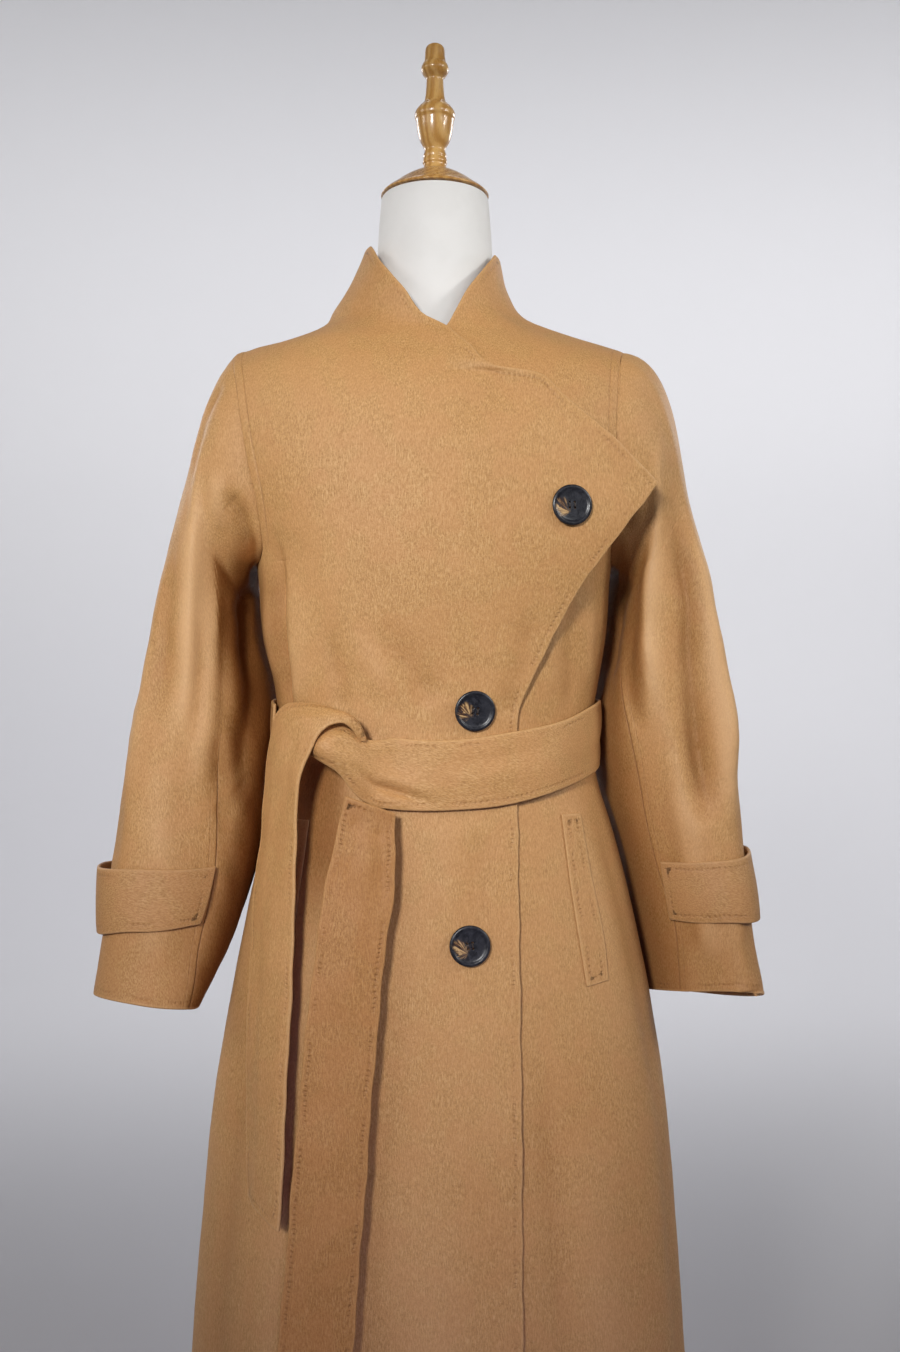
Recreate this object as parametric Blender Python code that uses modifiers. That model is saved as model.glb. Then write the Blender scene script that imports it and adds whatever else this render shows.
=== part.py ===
"""Wool wrap coat on a limbless dress form.

Metres, +Z up. The origin is on the floor under the form's pole, the coat's
front faces -Y and the wearer's left is +X.

Every cloth piece is a wall of double-faced wool. The body of the coat is a
stack of level rings; a panel is the patch of it between two edges. Angles
round the body start at the centre front, and are positive to the wearer's
left: 90 is the left side, 180 the centre back.
"""

import math

import bmesh
import bpy
import numpy as np
from mathutils import Matrix, Vector

# ----------------------------------------------------------------- sizes
CLOTH = 0.0030          # thickness of the double-faced wool
GAP = 0.0003            # gap kept between two pieces at a seam
LAYER = 0.0008          # gap kept between two layers that lie on each other
HEM_Z = 0.260           # hem above the floor
UNDERARM_Z = 1.165      # lowest point of the armhole
SHOULDER_Z = 1.369      # shoulder point, where the seam meets the sleeve
NECK_POINT_Z = 1.399    # shoulder seam's inner end
BACK_NECK_Z = 1.386     # neck seam at the centre back
COLLAR_TOP_Z = 1.467    # top edge of the stand collar
LEFT_TIP_Z = 1.4600     # top of the left front's own collar edge
BELT_WIDTH = 0.0624
BELT_SIDE_Z = 1.007     # middle of the belt at the sides
BELT_FRONT_Z = 0.972    # and at the centre front
BELT_BACK_Z = 1.012
BELT_STAND = 0.0022     # how far the belt stands off the coat
BUTTON_D = 0.036
BUTTON_T = 0.0042
POLE_R = 0.016
BASE_R = 0.175
BASE_T = 0.022

# level rings of the coat's outer face: half widths to the wearer's right and
# left, half width of the over-lapping front on the left side, depth of the
# front and of the back, and how square the front and the back are (2 is an
# ellipse). Above the underarm the rings run on past the armhole, where the
# panels are cut off.
RING_COLUMNS = ("z", "right", "left", "lap", "front", "back", "sq_f", "sq_b")
RINGS = (
    (0.260, 0.2355, 0.2460, 0.2500, 0.1650, 0.1750, 2.50, 2.40),
    (0.400, 0.2290, 0.2400, 0.2440, 0.1530, 0.1630, 2.50, 2.40),
    (0.550, 0.2195, 0.2305, 0.2345, 0.1420, 0.1500, 2.50, 2.40),
    (0.650, 0.2103, 0.2215, 0.2250, 0.1350, 0.1410, 2.50, 2.40),
    (0.750, 0.1955, 0.2070, 0.2100, 0.1280, 0.1320, 2.45, 2.35),
    (0.840, 0.1785, 0.1895, 0.1915, 0.1215, 0.1220, 2.40, 2.30),
    (0.910, 0.1650, 0.1720, 0.1735, 0.1160, 0.1110, 2.35, 2.25),
    (0.970, 0.1525, 0.1545, 0.1555, 0.1110, 0.0985, 2.30, 2.20),
    (1.010, 0.1500, 0.1510, 0.1520, 0.1090, 0.0940, 2.30, 2.20),
    (1.050, 0.1540, 0.1565, 0.1600, 0.1110, 0.0960, 2.30, 2.20),
    (1.100, 0.1660, 0.1650, 0.1950, 0.1160, 0.1020, 2.25, 2.20),
    (1.165, 0.1710, 0.1695, 0.2500, 0.1230, 0.1090, 2.25, 2.20),
    (1.200, 0.1870, 0.1830, 0.2800, 0.1245, 0.1130, 2.20, 2.20),
    (1.260, 0.2200, 0.2160, 0.3000, 0.1215, 0.1160, 2.10, 2.10),
    (1.310, 0.2360, 0.2340, 0.2900, 0.1130, 0.1120, 2.00, 2.00),
    (1.342, 0.2300, 0.2320, 0.2620, 0.1020, 0.1020, 1.95, 1.95),
    (1.358, 0.2120, 0.2120, 0.2320, 0.0935, 0.0940, 1.90, 1.90),
    (1.3690, 0.1890, 0.1850, 0.2060, 0.0875, 0.0885, 1.85, 1.85),
    (1.3740, 0.1690, 0.1725, 0.1880, 0.0840, 0.0855, 1.80, 1.80),
    (1.3795, 0.1500, 0.1520, 0.1640, 0.0815, 0.0830, 1.80, 1.80),
    (1.3855, 0.1308, 0.1310, 0.1410, 0.0795, 0.0800, 1.80, 1.80),
    (1.3920, 0.1140, 0.1090, 0.1220, 0.0780, 0.0780, 1.85, 1.85),
    (1.3990, 0.1042, 0.0925, 0.1030, 0.0765, 0.0760, 1.90, 1.90),
    (1.4085, 0.0995, 0.0810, 0.0900, 0.0750, 0.0740, 2.00, 2.00),
    (1.4210, 0.0910, 0.0738, 0.0800, 0.0725, 0.0710, 2.00, 2.00),
    (1.4370, 0.0808, 0.0670, 0.0720, 0.0700, 0.0680, 2.00, 2.00),
    (1.4530, 0.0725, 0.0635, 0.0680, 0.0670, 0.0660, 2.00, 2.00),
    (1.4670, 0.0665, 0.0605, 0.0645, 0.0640, 0.0650, 2.00, 2.00),
)

# the armhole: turn round it (0 at the shoulder point, 180 at the underarm),
# and how far from the middle of the coat its front and back edges run
ARMHOLE_COLUMNS = ("turn", "front_right", "front_left", "back")
ARMHOLE = (
    (0, 0.1890, 0.1850, 0.1870),
    (30, 0.1878, 0.1733, 0.1820),
    (56, 0.1808, 0.1682, 0.1750),
    (75, 0.1755, 0.1664, 0.1700),
    (95, 0.1688, 0.1654, 0.1665),
    (120, 0.1603, 0.1650, 0.1620),
    (145, 0.1575, 0.1655, 0.1600),
    (165, 0.1630, 0.1665, 0.1640),
    (180, 0.1710, 0.1695, 0.1700),
)

# free edge of the right front, which laps over the left: height and how far
# to the wearer's left it runs
LAP_EDGE_COLUMNS = ("z", "x")
LAP_EDGE = (
    (0.260, 0.0772),
    (0.660, 0.0767),
    (0.865, 0.0748),
    (0.960, 0.0741),
    (1.0200, 0.0742),
    (1.0470, 0.0813),
    (1.0800, 0.0973),
    (1.1350, 0.1265),
    (1.1640, 0.1459),
    (1.1960, 0.1720),
    (1.2140, 0.1885),
    (1.2337, 0.1988),
    (1.2514, 0.1795),
    (1.2805, 0.1471),
    (1.3107, 0.1118),
    (1.3242, 0.0978),
    (1.3294, 0.0836),
    (1.3315, 0.0641),
    (1.3334, 0.0526),
    (1.3525, 0.0323),
    (1.3741, 0.0100),
    (1.3872, -0.0097),
    (1.4136, -0.0267),
    (1.4330, -0.0402),
    (1.4484, -0.0502),
    (1.4599, -0.0566),
    (1.4670, -0.0598),
)
# rows the right front needs of its own: the lapel's corner and its notch
LAP_ROWS = (1.2337, 1.3242, 1.3294, 1.3334)

# free edge of the left front, which runs on under the right one
UNDER_EDGE_COLUMNS = ("z", "x")
UNDER_EDGE = (
    (0.260, -0.0600),
    (0.700, -0.0600),
    (1.000, -0.0600),
    (1.280, -0.0600),
    (1.340, -0.0390),
    (1.364, -0.0120),
    (1.3793, 0.0110),
    (1.3917, 0.0182),
    (1.4040, 0.0247),
    (1.4166, 0.0311),
    (1.4303, 0.0396),
    (1.4458, 0.0492),
    (1.4600, 0.0570),
    (1.4670, 0.0590),
)

# sleeves: level of each ring at its outer and inner end, where those ends
# are, half depth of its front and back, squareness, and the turn at which the
# front and the back seam cross it (0 outside, 90 front, 180 next to the body)
SLEEVE_COLUMNS = ("z_out", "x_out", "y_out", "z_in", "x_in", "y_in",
                  "front", "back", "sq", "seam_f", "seam_b", "rise")
SLEEVE_RIGHT = (
    (1.2280, 0.2430, -0.004, 1.1330, 0.1835, 0.014, 0.064, 0.064, 2.2, 108, 112, 0.0),
    (1.1500, 0.2620, -0.004, 1.0850, 0.1735, 0.022, 0.066, 0.064, 2.5, 110, 112, 0.0),
    (1.0850, 0.2735, -0.006, 1.0400, 0.1650, 0.024, 0.067, 0.062, 2.6, 112, 112, 0.0),
    (1.0180, 0.2845, -0.012, 1.0000, 0.1620, 0.018, 0.066, 0.061, 2.5, 113, 112, 0.0),
    (0.9500, 0.2955, -0.020, 0.9450, 0.1640, 0.010, 0.064, 0.060, 2.4, 116, 113, 0.0),
    (0.8850, 0.3038, -0.030, 0.8830, 0.1715, -0.004, 0.062, 0.058, 2.3, 122, 115, 0.002),
    (0.8200, 0.3085, -0.040, 0.8150, 0.1905, -0.025, 0.058, 0.055, 2.2, 127, 118, 0.005),
    (0.7640, 0.3140, -0.050, 0.7560, 0.2150, -0.066, 0.052, 0.050, 2.2, 150, 120, 0.008),
)
SLEEVE_LEFT = (
    (1.2285, 0.2436, -0.004, 1.1330, 0.1825, 0.014, 0.064, 0.064, 2.2, 146, 112, 0.0),
    (1.1500, 0.2610, -0.004, 1.0850, 0.1730, 0.020, 0.066, 0.064, 2.4, 146, 112, 0.0),
    (1.0850, 0.2724, -0.006, 1.0400, 0.1660, 0.020, 0.067, 0.062, 2.4, 138, 112, 0.0),
    (1.0180, 0.2830, -0.010, 1.0000, 0.1640, 0.020, 0.066, 0.061, 2.4, 128, 112, 0.0),
    (0.9500, 0.2883, -0.018, 0.9450, 0.1695, 0.026, 0.064, 0.060, 2.3, 123, 113, 0.0),
    (0.8850, 0.2923, -0.028, 0.8830, 0.1835, 0.030, 0.062, 0.058, 2.3, 122, 115, 0.003),
    (0.8200, 0.2970, -0.040, 0.8130, 0.1965, 0.032, 0.058, 0.055, 2.2, 114, 118, 0.007),
    (0.7627, 0.3045, -0.050, 0.7500, 0.2060, 0.030, 0.053, 0.050, 2.2, 118, 120, 0.012),
)
# turns round the armhole at which the panels and the sleeves share points
ARM_TURNS = (0, 18, 38, 60, 84, 108, 132, 152, 168, 180)
# how far the sleeve turns out of the body's surface at the armhole seam
SLEEVE_LIFT_COLUMNS = ("turn", "lift_right", "lift_left", "reach_right", "reach_left")
SLEEVE_LIFT = (
    (0, -34, 13, 0.038, 0.050),
    (40, -6, 14, 0.036, 0.044),
    (90, 40, 38, 0.030, 0.030),
    (130, 66, 66, 0.020, 0.020),
    (160, 88, 88, 0.012, 0.012),
    (180, 96, 96, 0.009, 0.009),
)
# cuff straps: turn round the sleeve, levels of the two long edges, and how far
# the strap stands off the sleeve
STRAP_COLUMNS = ("turn", "low", "top", "stand_low", "stand_top")
STRAP_RIGHT = (
    (-110, 0.8250, 0.8820, 0.0012, 0.0012),
    (-60, 0.8230, 0.8820, 0.0020, 0.0040),
    (-10, 0.8215, 0.8825, 0.0030, 0.0085),
    (20, 0.8215, 0.8830, 0.0030, 0.0080),
    (60, 0.8250, 0.8835, 0.0015, 0.0030),
    (125, 0.8330, 0.8850, 0.0012, 0.0012),
)
STRAP_LEFT = (
    (-110, 0.8360, 0.8930, 0.0012, 0.0012),
    (-60, 0.8340, 0.8960, 0.0030, 0.0020),
    (-10, 0.8330, 0.8975, 0.0050, 0.0025),
    (20, 0.8325, 0.8955, 0.0045, 0.0020),
    (60, 0.8300, 0.8890, 0.0020, 0.0015),
    (125, 0.8295, 0.8850, 0.0012, 0.0012),
)

# pocket welts: height, and the x of the edge near the front and near the side
WELT_COLUMNS = ("z", "x_in", "x_out")
WELT_LEFT = (
    (0.7845, 0.1358, 0.1567),
    (0.8250, 0.1292, 0.1520),
    (0.8800, 0.1210, 0.1412),
    (0.9350, 0.1142, 0.1318),
)
WELT_RIGHT = (
    (0.7845, 0.1300, 0.1520),
    (0.8250, 0.1240, 0.1470),
    (0.8800, 0.1165, 0.1370),
    (0.9300, 0.1100, 0.1270),
)
WELT_T = 0.0018

# buttons: x and height of each middle
BUTTON_COLUMNS = ("x", "z")
BUTTONS = (
    (0.1206, 1.2101),
    (0.0360, 1.0295),
    (0.0317, 0.8239),
)

# hanging ends of the belt: height, x and y of the edge to the wearer's right
# and of the edge to the wearer's left
RIBBON_COLUMNS = ("z_a", "x_a", "y_a", "z_b", "x_b", "y_b")
BELT_END_RIGHT = (
    (0.5980, -0.1680, -0.1100, 0.5840, -0.1332, -0.1520),
    (0.6480, -0.1695, -0.1060, 0.6480, -0.1297, -0.1480),
    (0.7340, -0.1708, -0.0980, 0.7340, -0.1270, -0.1420),
    (0.7940, -0.1697, -0.0880, 0.7940, -0.1235, -0.1360),
    (0.8560, -0.1676, -0.0780, 0.8600, -0.1230, -0.1310),
    (0.9311, -0.1591, -0.0740, 0.9311, -0.1202, -0.1310),
    (0.9620, -0.1545, -0.0740, 0.9600, -0.1185, -0.1315),
    (0.9960, -0.1495, -0.0760, 0.9820, -0.1126, -0.1320),
    (1.0240, -0.1435, -0.0820, 0.9985, -0.1045, -0.1325),
    (1.0358, -0.1273, -0.0970, 1.0110, -0.0970, -0.1330),
    (1.0343, -0.1025, -0.1130, 1.0175, -0.0880, -0.1320),
    (1.0285, -0.0850, -0.1200, 1.0190, -0.0790, -0.1310),
    (1.0190, -0.0680, -0.1260, 1.0110, -0.0680, -0.1290),
)
BELT_END_LEFT = (
    (0.3650, -0.1390, -0.1680, 0.3500, -0.0750, -0.1720),
    (0.4500, -0.1345, -0.1640, 0.4500, -0.0700, -0.1670),
    (0.6000, -0.1228, -0.1550, 0.6000, -0.0590, -0.1580),
    (0.7500, -0.1100, -0.1450, 0.7500, -0.0480, -0.1480),
    (0.8300, -0.1010, -0.1400, 0.8300, -0.0400, -0.1430),
    (0.8800, -0.0935, -0.1365, 0.8850, -0.0330, -0.1395),
    (0.9280, -0.0830, -0.1345, 0.9220, -0.0325, -0.1355),
    (0.9560, -0.0770, -0.1335, 0.9400, -0.0330, -0.1300),
)
BELT_KNOT = (
    (0.9930, -0.1075, -0.1190, 0.9850, -0.1075, -0.1275),
    (0.9985, -0.1000, -0.1205, 0.9800, -0.1000, -0.1290),
    (1.0015, -0.0900, -0.1215, 0.9730, -0.0900, -0.1300),
    (1.0020, -0.0760, -0.1205, 0.9620, -0.0760, -0.1290),
    (1.0025, -0.0620, -0.1180, 0.9500, -0.0640, -0.1240),
    (1.0030, -0.0455, -0.1145, 0.9430, -0.0475, -0.1190),
)

# the form's torso: height, half width, front and back depth
FORM_COLUMNS = ("z", "half", "front", "back")
FORM = (
    (0.800, 0.1480, 0.0960, 0.0980),
    (0.850, 0.1500, 0.0960, 0.0990),
    (0.910, 0.1430, 0.0930, 0.0930),
    (0.970, 0.1320, 0.0900, 0.0840),
    (1.010, 0.1290, 0.0890, 0.0800),
    (1.050, 0.1310, 0.0910, 0.0820),
    (1.110, 0.1400, 0.0990, 0.0880),
    (1.170, 0.1450, 0.1060, 0.0950),
    (1.220, 0.1490, 0.1060, 0.0980),
    (1.270, 0.1540, 0.1000, 0.0970),
    (1.310, 0.1580, 0.0900, 0.0920),
    (1.335, 0.1540, 0.0800, 0.0840),
    (1.350, 0.1420, 0.0720, 0.0770),
    (1.362, 0.1220, 0.0660, 0.0710),
    (1.374, 0.0970, 0.0615, 0.0650),
    (1.388, 0.0750, 0.0585, 0.0600),
    (1.405, 0.0610, 0.0565, 0.0570),
    (1.430, 0.0570, 0.0550, 0.0550),
    (1.470, 0.0555, 0.0545, 0.0545),
    (1.500, 0.0535, 0.0530, 0.0530),
    (1.5225, 0.0515, 0.0515, 0.0515),
)

# turned wood: height above the neck's top, and radius
CAP_TURNING = (
    (0.0003, 0.0000), (0.0003, 0.0510), (0.0012, 0.0522), (0.0040, 0.0498),
    (0.0090, 0.0430), (0.0150, 0.0350), (0.0205, 0.0262), (0.0245, 0.0182),
    (0.0262, 0.0140), (0.0262, 0.0000),
)
FINIAL_TURNING = (
    (0.0265, 0.0000), (0.0265, 0.0132), (0.0280, 0.0118), (0.0300, 0.0110),
    (0.0318, 0.0109), (0.0340, 0.0119), (0.0370, 0.0116), (0.0385, 0.0111),
    (0.0405, 0.0114), (0.0430, 0.0107), (0.0458, 0.0099), (0.0480, 0.0105),
    (0.0505, 0.0118), (0.0555, 0.0145), (0.0612, 0.0162), (0.0680, 0.0175),
    (0.0755, 0.0184), (0.0772, 0.0193), (0.0800, 0.0197), (0.0825, 0.0192),
    (0.0868, 0.0166), (0.0905, 0.0128), (0.0932, 0.0106), (0.0990, 0.0093),
    (0.1080, 0.0085), (0.1148, 0.0082), (0.1170, 0.0093), (0.1200, 0.0118),
    (0.1245, 0.0135), (0.1285, 0.0125), (0.1315, 0.0108), (0.1365, 0.0098),
    (0.1430, 0.0094), (0.1465, 0.0082), (0.1485, 0.0055), (0.1494, 0.0000),
)
NECK_TOP_Z = 1.5235

# ---------------------------------------------------------- interpolation


def slopes(x, y):
    """Slopes of a smooth curve through the rows that never overshoots them."""
    h = np.diff(x)
    d = np.diff(y) / h
    m = np.zeros(len(x))
    for i in range(1, len(x) - 1):
        if d[i - 1] * d[i] > 0:
            w1, w2 = 2 * h[i] + h[i - 1], h[i] + 2 * h[i - 1]
            m[i] = (w1 + w2) / (w1 / d[i - 1] + w2 / d[i])
    m[0], m[-1] = d[0], d[-1]
    return m


def read(table, column, at, key=0):
    """Value of a table's column at a given value of its first column."""
    t = np.asarray(table, float)
    order = np.argsort(t[:, key])
    x, y = t[order, key], t[order, column]
    m = slopes(x, y)
    at = np.clip(np.asarray(at, float), x[0], x[-1])
    i = np.clip(np.searchsorted(x, at, side="right") - 1, 0, len(x) - 2)
    h = x[i + 1] - x[i]
    s = (at - x[i]) / h
    return ((2 * s**3 - 3 * s**2 + 1) * y[i] + (s**3 - 2 * s**2 + s) * h * m[i]
            + (-2 * s**3 + 3 * s**2) * y[i + 1] + (s**3 - s**2) * h * m[i + 1])


def ease(s):
    s = np.clip(s, 0.0, 1.0)
    return s * s * (3 - 2 * s)


# ------------------------------------------------------ surface of the body


def ring_point(t, z, lap=False):
    """Point of the coat's outer face at angle t (radians) and height z."""
    t, z = np.broadcast_arrays(np.asarray(t, float), np.asarray(z, float))
    s, c = np.sin(t), np.cos(t)
    left = read(RINGS, 3 if lap else 2, z)
    a = np.where(s < 0, read(RINGS, 1, z), left)
    b = np.where(c > 0, read(RINGS, 4, z), read(RINGS, 5, z))
    n = np.where(c > 0, read(RINGS, 6, z), read(RINGS, 7, z))
    k = (np.abs(s) ** n + np.abs(c) ** n) ** (-1.0 / n)
    return np.stack([a * s * k, -b * c * k, z], axis=-1)


def ring_normal(t, z, lap=False):
    e, f = 1e-3, 5e-4
    t, z = np.broadcast_arrays(np.asarray(t, float), np.asarray(z, float))
    u = ring_point(t + e, z, lap) - ring_point(t - e, z, lap)
    zl = np.maximum(z - f, RINGS[0][0])
    zh = np.minimum(z + f, RINGS[-1][0])
    v = ring_point(t, zh, lap) - ring_point(t, zl, lap)
    n = np.cross(u, v)
    return n / np.linalg.norm(n, axis=-1, keepdims=True)


def skin(t, z, out, lap=False):
    """Point of the body's surface, moved out along its normal."""
    out = np.asarray(out, float)
    return ring_point(t, z, lap) + ring_normal(t, z, lap) * out[..., None]


def angle_at(x, z, front=True, lap=False):
    """Angle at which the ring at height z is x from the middle."""
    x, z = float(x), float(z)
    s = 1.0 if x >= 0 else -1.0
    a = read(RINGS, 1 if s < 0 else (3 if lap else 2), z)
    n = read(RINGS, 6 if front else 7, z)
    r = min(abs(x) / a, 1.0)
    c = (1.0 - r**n) ** (1.0 / n)
    t = math.atan2(r, c)
    return s * (t if front else math.pi - t)


def arm_turn(z):
    """Turn round the armhole at height z."""
    mid, half = (SHOULDER_Z + UNDERARM_Z) / 2, (SHOULDER_Z - UNDERARM_Z) / 2
    return math.degrees(math.acos(max(-1.0, min(1.0, (z - mid) / half))))


def arm_z(turn):
    mid, half = (SHOULDER_Z + UNDERARM_Z) / 2, (SHOULDER_Z - UNDERARM_Z) / 2
    return mid + half * math.cos(math.radians(turn))


def side_angle(z, side, front=True):
    """Where a panel ends at the side: side seam, armhole or shoulder seam."""
    if z <= UNDERARM_Z + 1e-9 or z >= SHOULDER_Z - 1e-9:
        return side * math.pi / 2
    column = (1 if side < 0 else 2) if front else 3
    x = float(read(ARMHOLE, column, arm_turn(z)))
    return angle_at(side * x, z, front)


def angular(metres, t, z, lap=False):
    """Angle that spans a given length along the ring."""
    e = 1e-3
    d = np.linalg.norm(ring_point(t + e, z, lap) - ring_point(t - e, z, lap))
    return metres / (d / (2 * e))


BODY_ROWS = (0.260, 0.330, 0.410, 0.500, 0.600, 0.700, 0.790, 0.860, 0.915,
             0.960, 1.000, 1.040, 1.085, 1.125)
SEAM_ROWS = (1.3740, 1.3795, 1.3855, 1.3920, 1.3990)
COLLAR_ROWS = (1.4085, 1.4210, 1.4370, 1.4530, 1.4670)


def body_heights():
    """Heights of the rows that all the body's panels share, hem to neck."""
    arm = [arm_z(a) for a in reversed(ARM_TURNS)]
    return list(BODY_ROWS) + arm + list(SEAM_ROWS)


# ------------------------------------------------------------ mesh building

COLLECTION = "wool_wrap_coat_on_form"


def start():
    for o in list(bpy.data.objects):
        bpy.data.objects.remove(o)
    for name in (COLLECTION, "cutters"):
        c = bpy.data.collections.new(name)
        bpy.context.scene.collection.children.link(c)


def material(name, colour, roughness, metallic=0.0):
    m = bpy.data.materials.new(name)
    m.use_nodes = True
    b = m.node_tree.nodes["Principled BSDF"]
    b.inputs["Base Color"].default_value = (*colour, 1.0)
    b.inputs["Roughness"].default_value = roughness
    b.inputs["Metallic"].default_value = metallic
    m.diffuse_color = (*colour, 1.0)
    return m


WOOL = (0.56, 0.35, 0.17)


def add(name, mesh, mat, collection=COLLECTION):
    o = bpy.data.objects.new(name, mesh)
    bpy.data.collections[collection].objects.link(o)
    if mat is not None:
        mesh.materials.append(mat)
    return o


def grid_wall(name, outer, inner, mat, smooth=True):
    """Closed wall between two grids of points, rows by columns."""
    nv, nu = outer.shape[:2]
    bm = bmesh.new()
    o = [[bm.verts.new(p) for p in row] for row in outer]
    i = [[bm.verts.new(p) for p in row] for row in inner]
    for r in range(nv - 1):
        for c in range(nu - 1):
            bm.faces.new((o[r][c], o[r][c + 1], o[r + 1][c + 1], o[r + 1][c]))
            bm.faces.new((i[r][c], i[r + 1][c], i[r + 1][c + 1], i[r][c + 1]))
    for c in range(nu - 1):
        bm.faces.new((o[0][c + 1], o[0][c], i[0][c], i[0][c + 1]))
        bm.faces.new((o[-1][c], o[-1][c + 1], i[-1][c + 1], i[-1][c]))
    for r in range(nv - 1):
        bm.faces.new((o[r][0], o[r + 1][0], i[r + 1][0], i[r][0]))
        bm.faces.new((o[r + 1][-1], o[r][-1], i[r][-1], i[r + 1][-1]))
    bmesh.ops.recalc_face_normals(bm, faces=bm.faces)
    bmesh.ops.triangulate(bm, faces=bm.faces, quad_method="SHORT_EDGE")
    mesh = bpy.data.meshes.new(name)
    bm.to_mesh(mesh)
    bm.free()
    if smooth:
        mesh.shade_smooth()
        mesh.set_sharp_from_angle(angle=math.radians(50))
    return add(name, mesh, mat)


def grid_normals(g):
    """Normals of a grid of points, rows by columns."""
    du = np.gradient(g, axis=1)
    dv = np.gradient(g, axis=0)
    n = np.cross(du, dv)
    length = np.linalg.norm(n, axis=-1, keepdims=True)
    return n / np.maximum(length, 1e-12)


def panel(name, heights, left_edge, right_edge, columns, out, mat, lap=False,
          height_at=None):
    """Patch of the body between two edges, given as angles at each height.

    out(t, z) is how far the outer face stands off the ring. Both edges are
    drawn in by half a seam gap, which the edge functions say with their sign.
    """
    to, ti, zz = [], [], []
    for j, z in enumerate(heights):
        t0, t1 = left_edge(z), right_edge(z)
        to.append(np.linspace(t0, t1, columns))
        zz.append(np.full(columns, z))
    t = np.array(to)
    z = np.array(zz)
    if height_at is not None:
        z = height_at(t, z)
    d = out(t, z)
    outer = skin(t, z, d, lap)
    inner = skin(t, z, d - CLOTH, lap)
    return grid_wall(name, outer, inner, mat)


def flat_out(t, z):
    return np.zeros_like(t)


def lap_out(t, z):
    """The right front rides over the left: a layer out at the middle, and
    back on the common surface at its own side."""
    deg = np.degrees(t)
    return (CLOTH + LAYER) * ease((deg + 62.0) / 34.0)


# ------------------------------------------------------------- body panels


def front_side_gap(side):
    """Side edge of a front panel, drawn in from the seam."""

    def edge(z):
        t = side_angle(z, side, True)
        return t - side * angular(GAP / 2, t, z)

    return edge


def back_side_gap(side):
    def edge(z):
        t = side_angle(z, side, False)
        return t + side * angular(GAP / 2, t, z)

    return edge


def lap_edge(z):
    return angle_at(float(read(LAP_EDGE, 1, z)), z, True, True)


def under_edge(z):
    return angle_at(float(read(UNDER_EDGE, 1, z)), z, True)


def front_right(mat):
    heights = [z for z in body_heights()] + list(COLLAR_ROWS)
    heights = sorted(heights + list(LAP_ROWS))
    return panel("front_right", heights, front_side_gap(-1), lap_edge, 13,
                 lap_out, mat, lap=True)


def front_left(mat):
    heights = [z for z in body_heights()] + list(COLLAR_ROWS[:3]) + [1.4500, LEFT_TIP_Z]
    return panel("front_left", heights, under_edge, front_side_gap(1), 11,
                 flat_out, mat)


def neck_seam_z(t):
    """Height of the back neck seam: it dips towards the centre back."""
    c = np.maximum(0.0, -np.cos(t))
    return NECK_POINT_Z + (BACK_NECK_Z - NECK_POINT_Z) * ease(c)


def coat_back(mat):
    heights = body_heights()

    def height_at(t, z):
        f = np.clip((z - SHOULDER_Z) / (NECK_POINT_Z - SHOULDER_Z), 0, 1)
        top = SHOULDER_Z + (neck_seam_z(t) - GAP / 2 - SHOULDER_Z) * f
        return np.where(z > SHOULDER_Z, top, z)

    def left(z):
        return back_side_gap(1)(z)

    def right(z):
        return back_side_gap(-1)(z) + 2 * math.pi

    return panel("coat_back", heights, left, right, 17, flat_out, mat,
                 height_at=height_at)


def collar_back(mat):
    rows = [NECK_POINT_Z] + list(COLLAR_ROWS)

    def height_at(t, z):
        f = (z - NECK_POINT_Z) / (COLLAR_TOP_Z - NECK_POINT_Z)
        low = neck_seam_z(t) + GAP / 2
        return low + (COLLAR_TOP_Z - low) * f

    def left(z):
        return math.pi / 2 + angular(GAP / 2, math.pi / 2, z)

    def right(z):
        return 1.5 * math.pi - angular(GAP / 2, math.pi / 2, z)

    return panel("collar_back", rows, left, right, 17, flat_out, mat,
                 height_at=height_at)


# ----------------------------------------------------------------- sleeves


def sleeve_ring(table, side, row, turn):
    """Point of a sleeve's outer face: row is a fraction down its table."""
    t = np.radians(turn)
    keys = np.arange(len(table), dtype=float)[:, None]
    rows = np.hstack([keys, np.asarray(table, float)])
    (z_out, x_out, y_out, z_in, x_in, y_in, front, back, sq) = (
        read(rows, i + 1, row) for i in range(9))
    rise = read(rows, 12, row)
    c, s = np.cos(t), np.sin(t)
    k = (np.abs(s) ** sq + np.abs(c) ** sq) ** (-1.0 / sq)
    out_p = np.array([side * x_out, y_out, z_out])
    in_p = np.array([side * x_in, y_in, z_in])
    mid, half = (out_p + in_p) / 2, (out_p - in_p) / 2
    depth = front if s >= 0 else back
    return mid + half * c * k + np.array([0.0, -depth * s * k, rise * s * k])


def arm_edge(side, turn):
    """Armhole seam at a turn: outer point, body normal, way out of the panel."""
    front = turn >= 0
    z = arm_z(abs(turn))
    t = side_angle(z, side, front)
    if abs(turn) < 1e-6 or abs(abs(turn) - 180) < 1e-6:
        t = side * math.pi / 2
    p = ring_point(t, z)
    n = ring_normal(t, z)
    return p, n


def arm_loop(side, turns):
    """The armhole's edge all round, with the way that leads out of the panels."""
    pts, nrm = [], []
    for a in turns:
        p, n = arm_edge(side, a)
        pts.append(p)
        nrm.append(n)
    pts, nrm = np.array(pts), np.array(nrm)
    along = np.roll(pts, -1, axis=0) - np.roll(pts, 1, axis=0)
    away = np.cross(along, nrm)
    away /= np.linalg.norm(away, axis=1, keepdims=True)
    centre = pts.mean(axis=0)
    # the way out of the panels points towards the middle of the hole
    flip = np.sign(np.einsum("ij,ij->i", away, centre - pts))
    away *= np.where(flip == 0, 1, flip)[:, None]
    return pts, nrm, away


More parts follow.
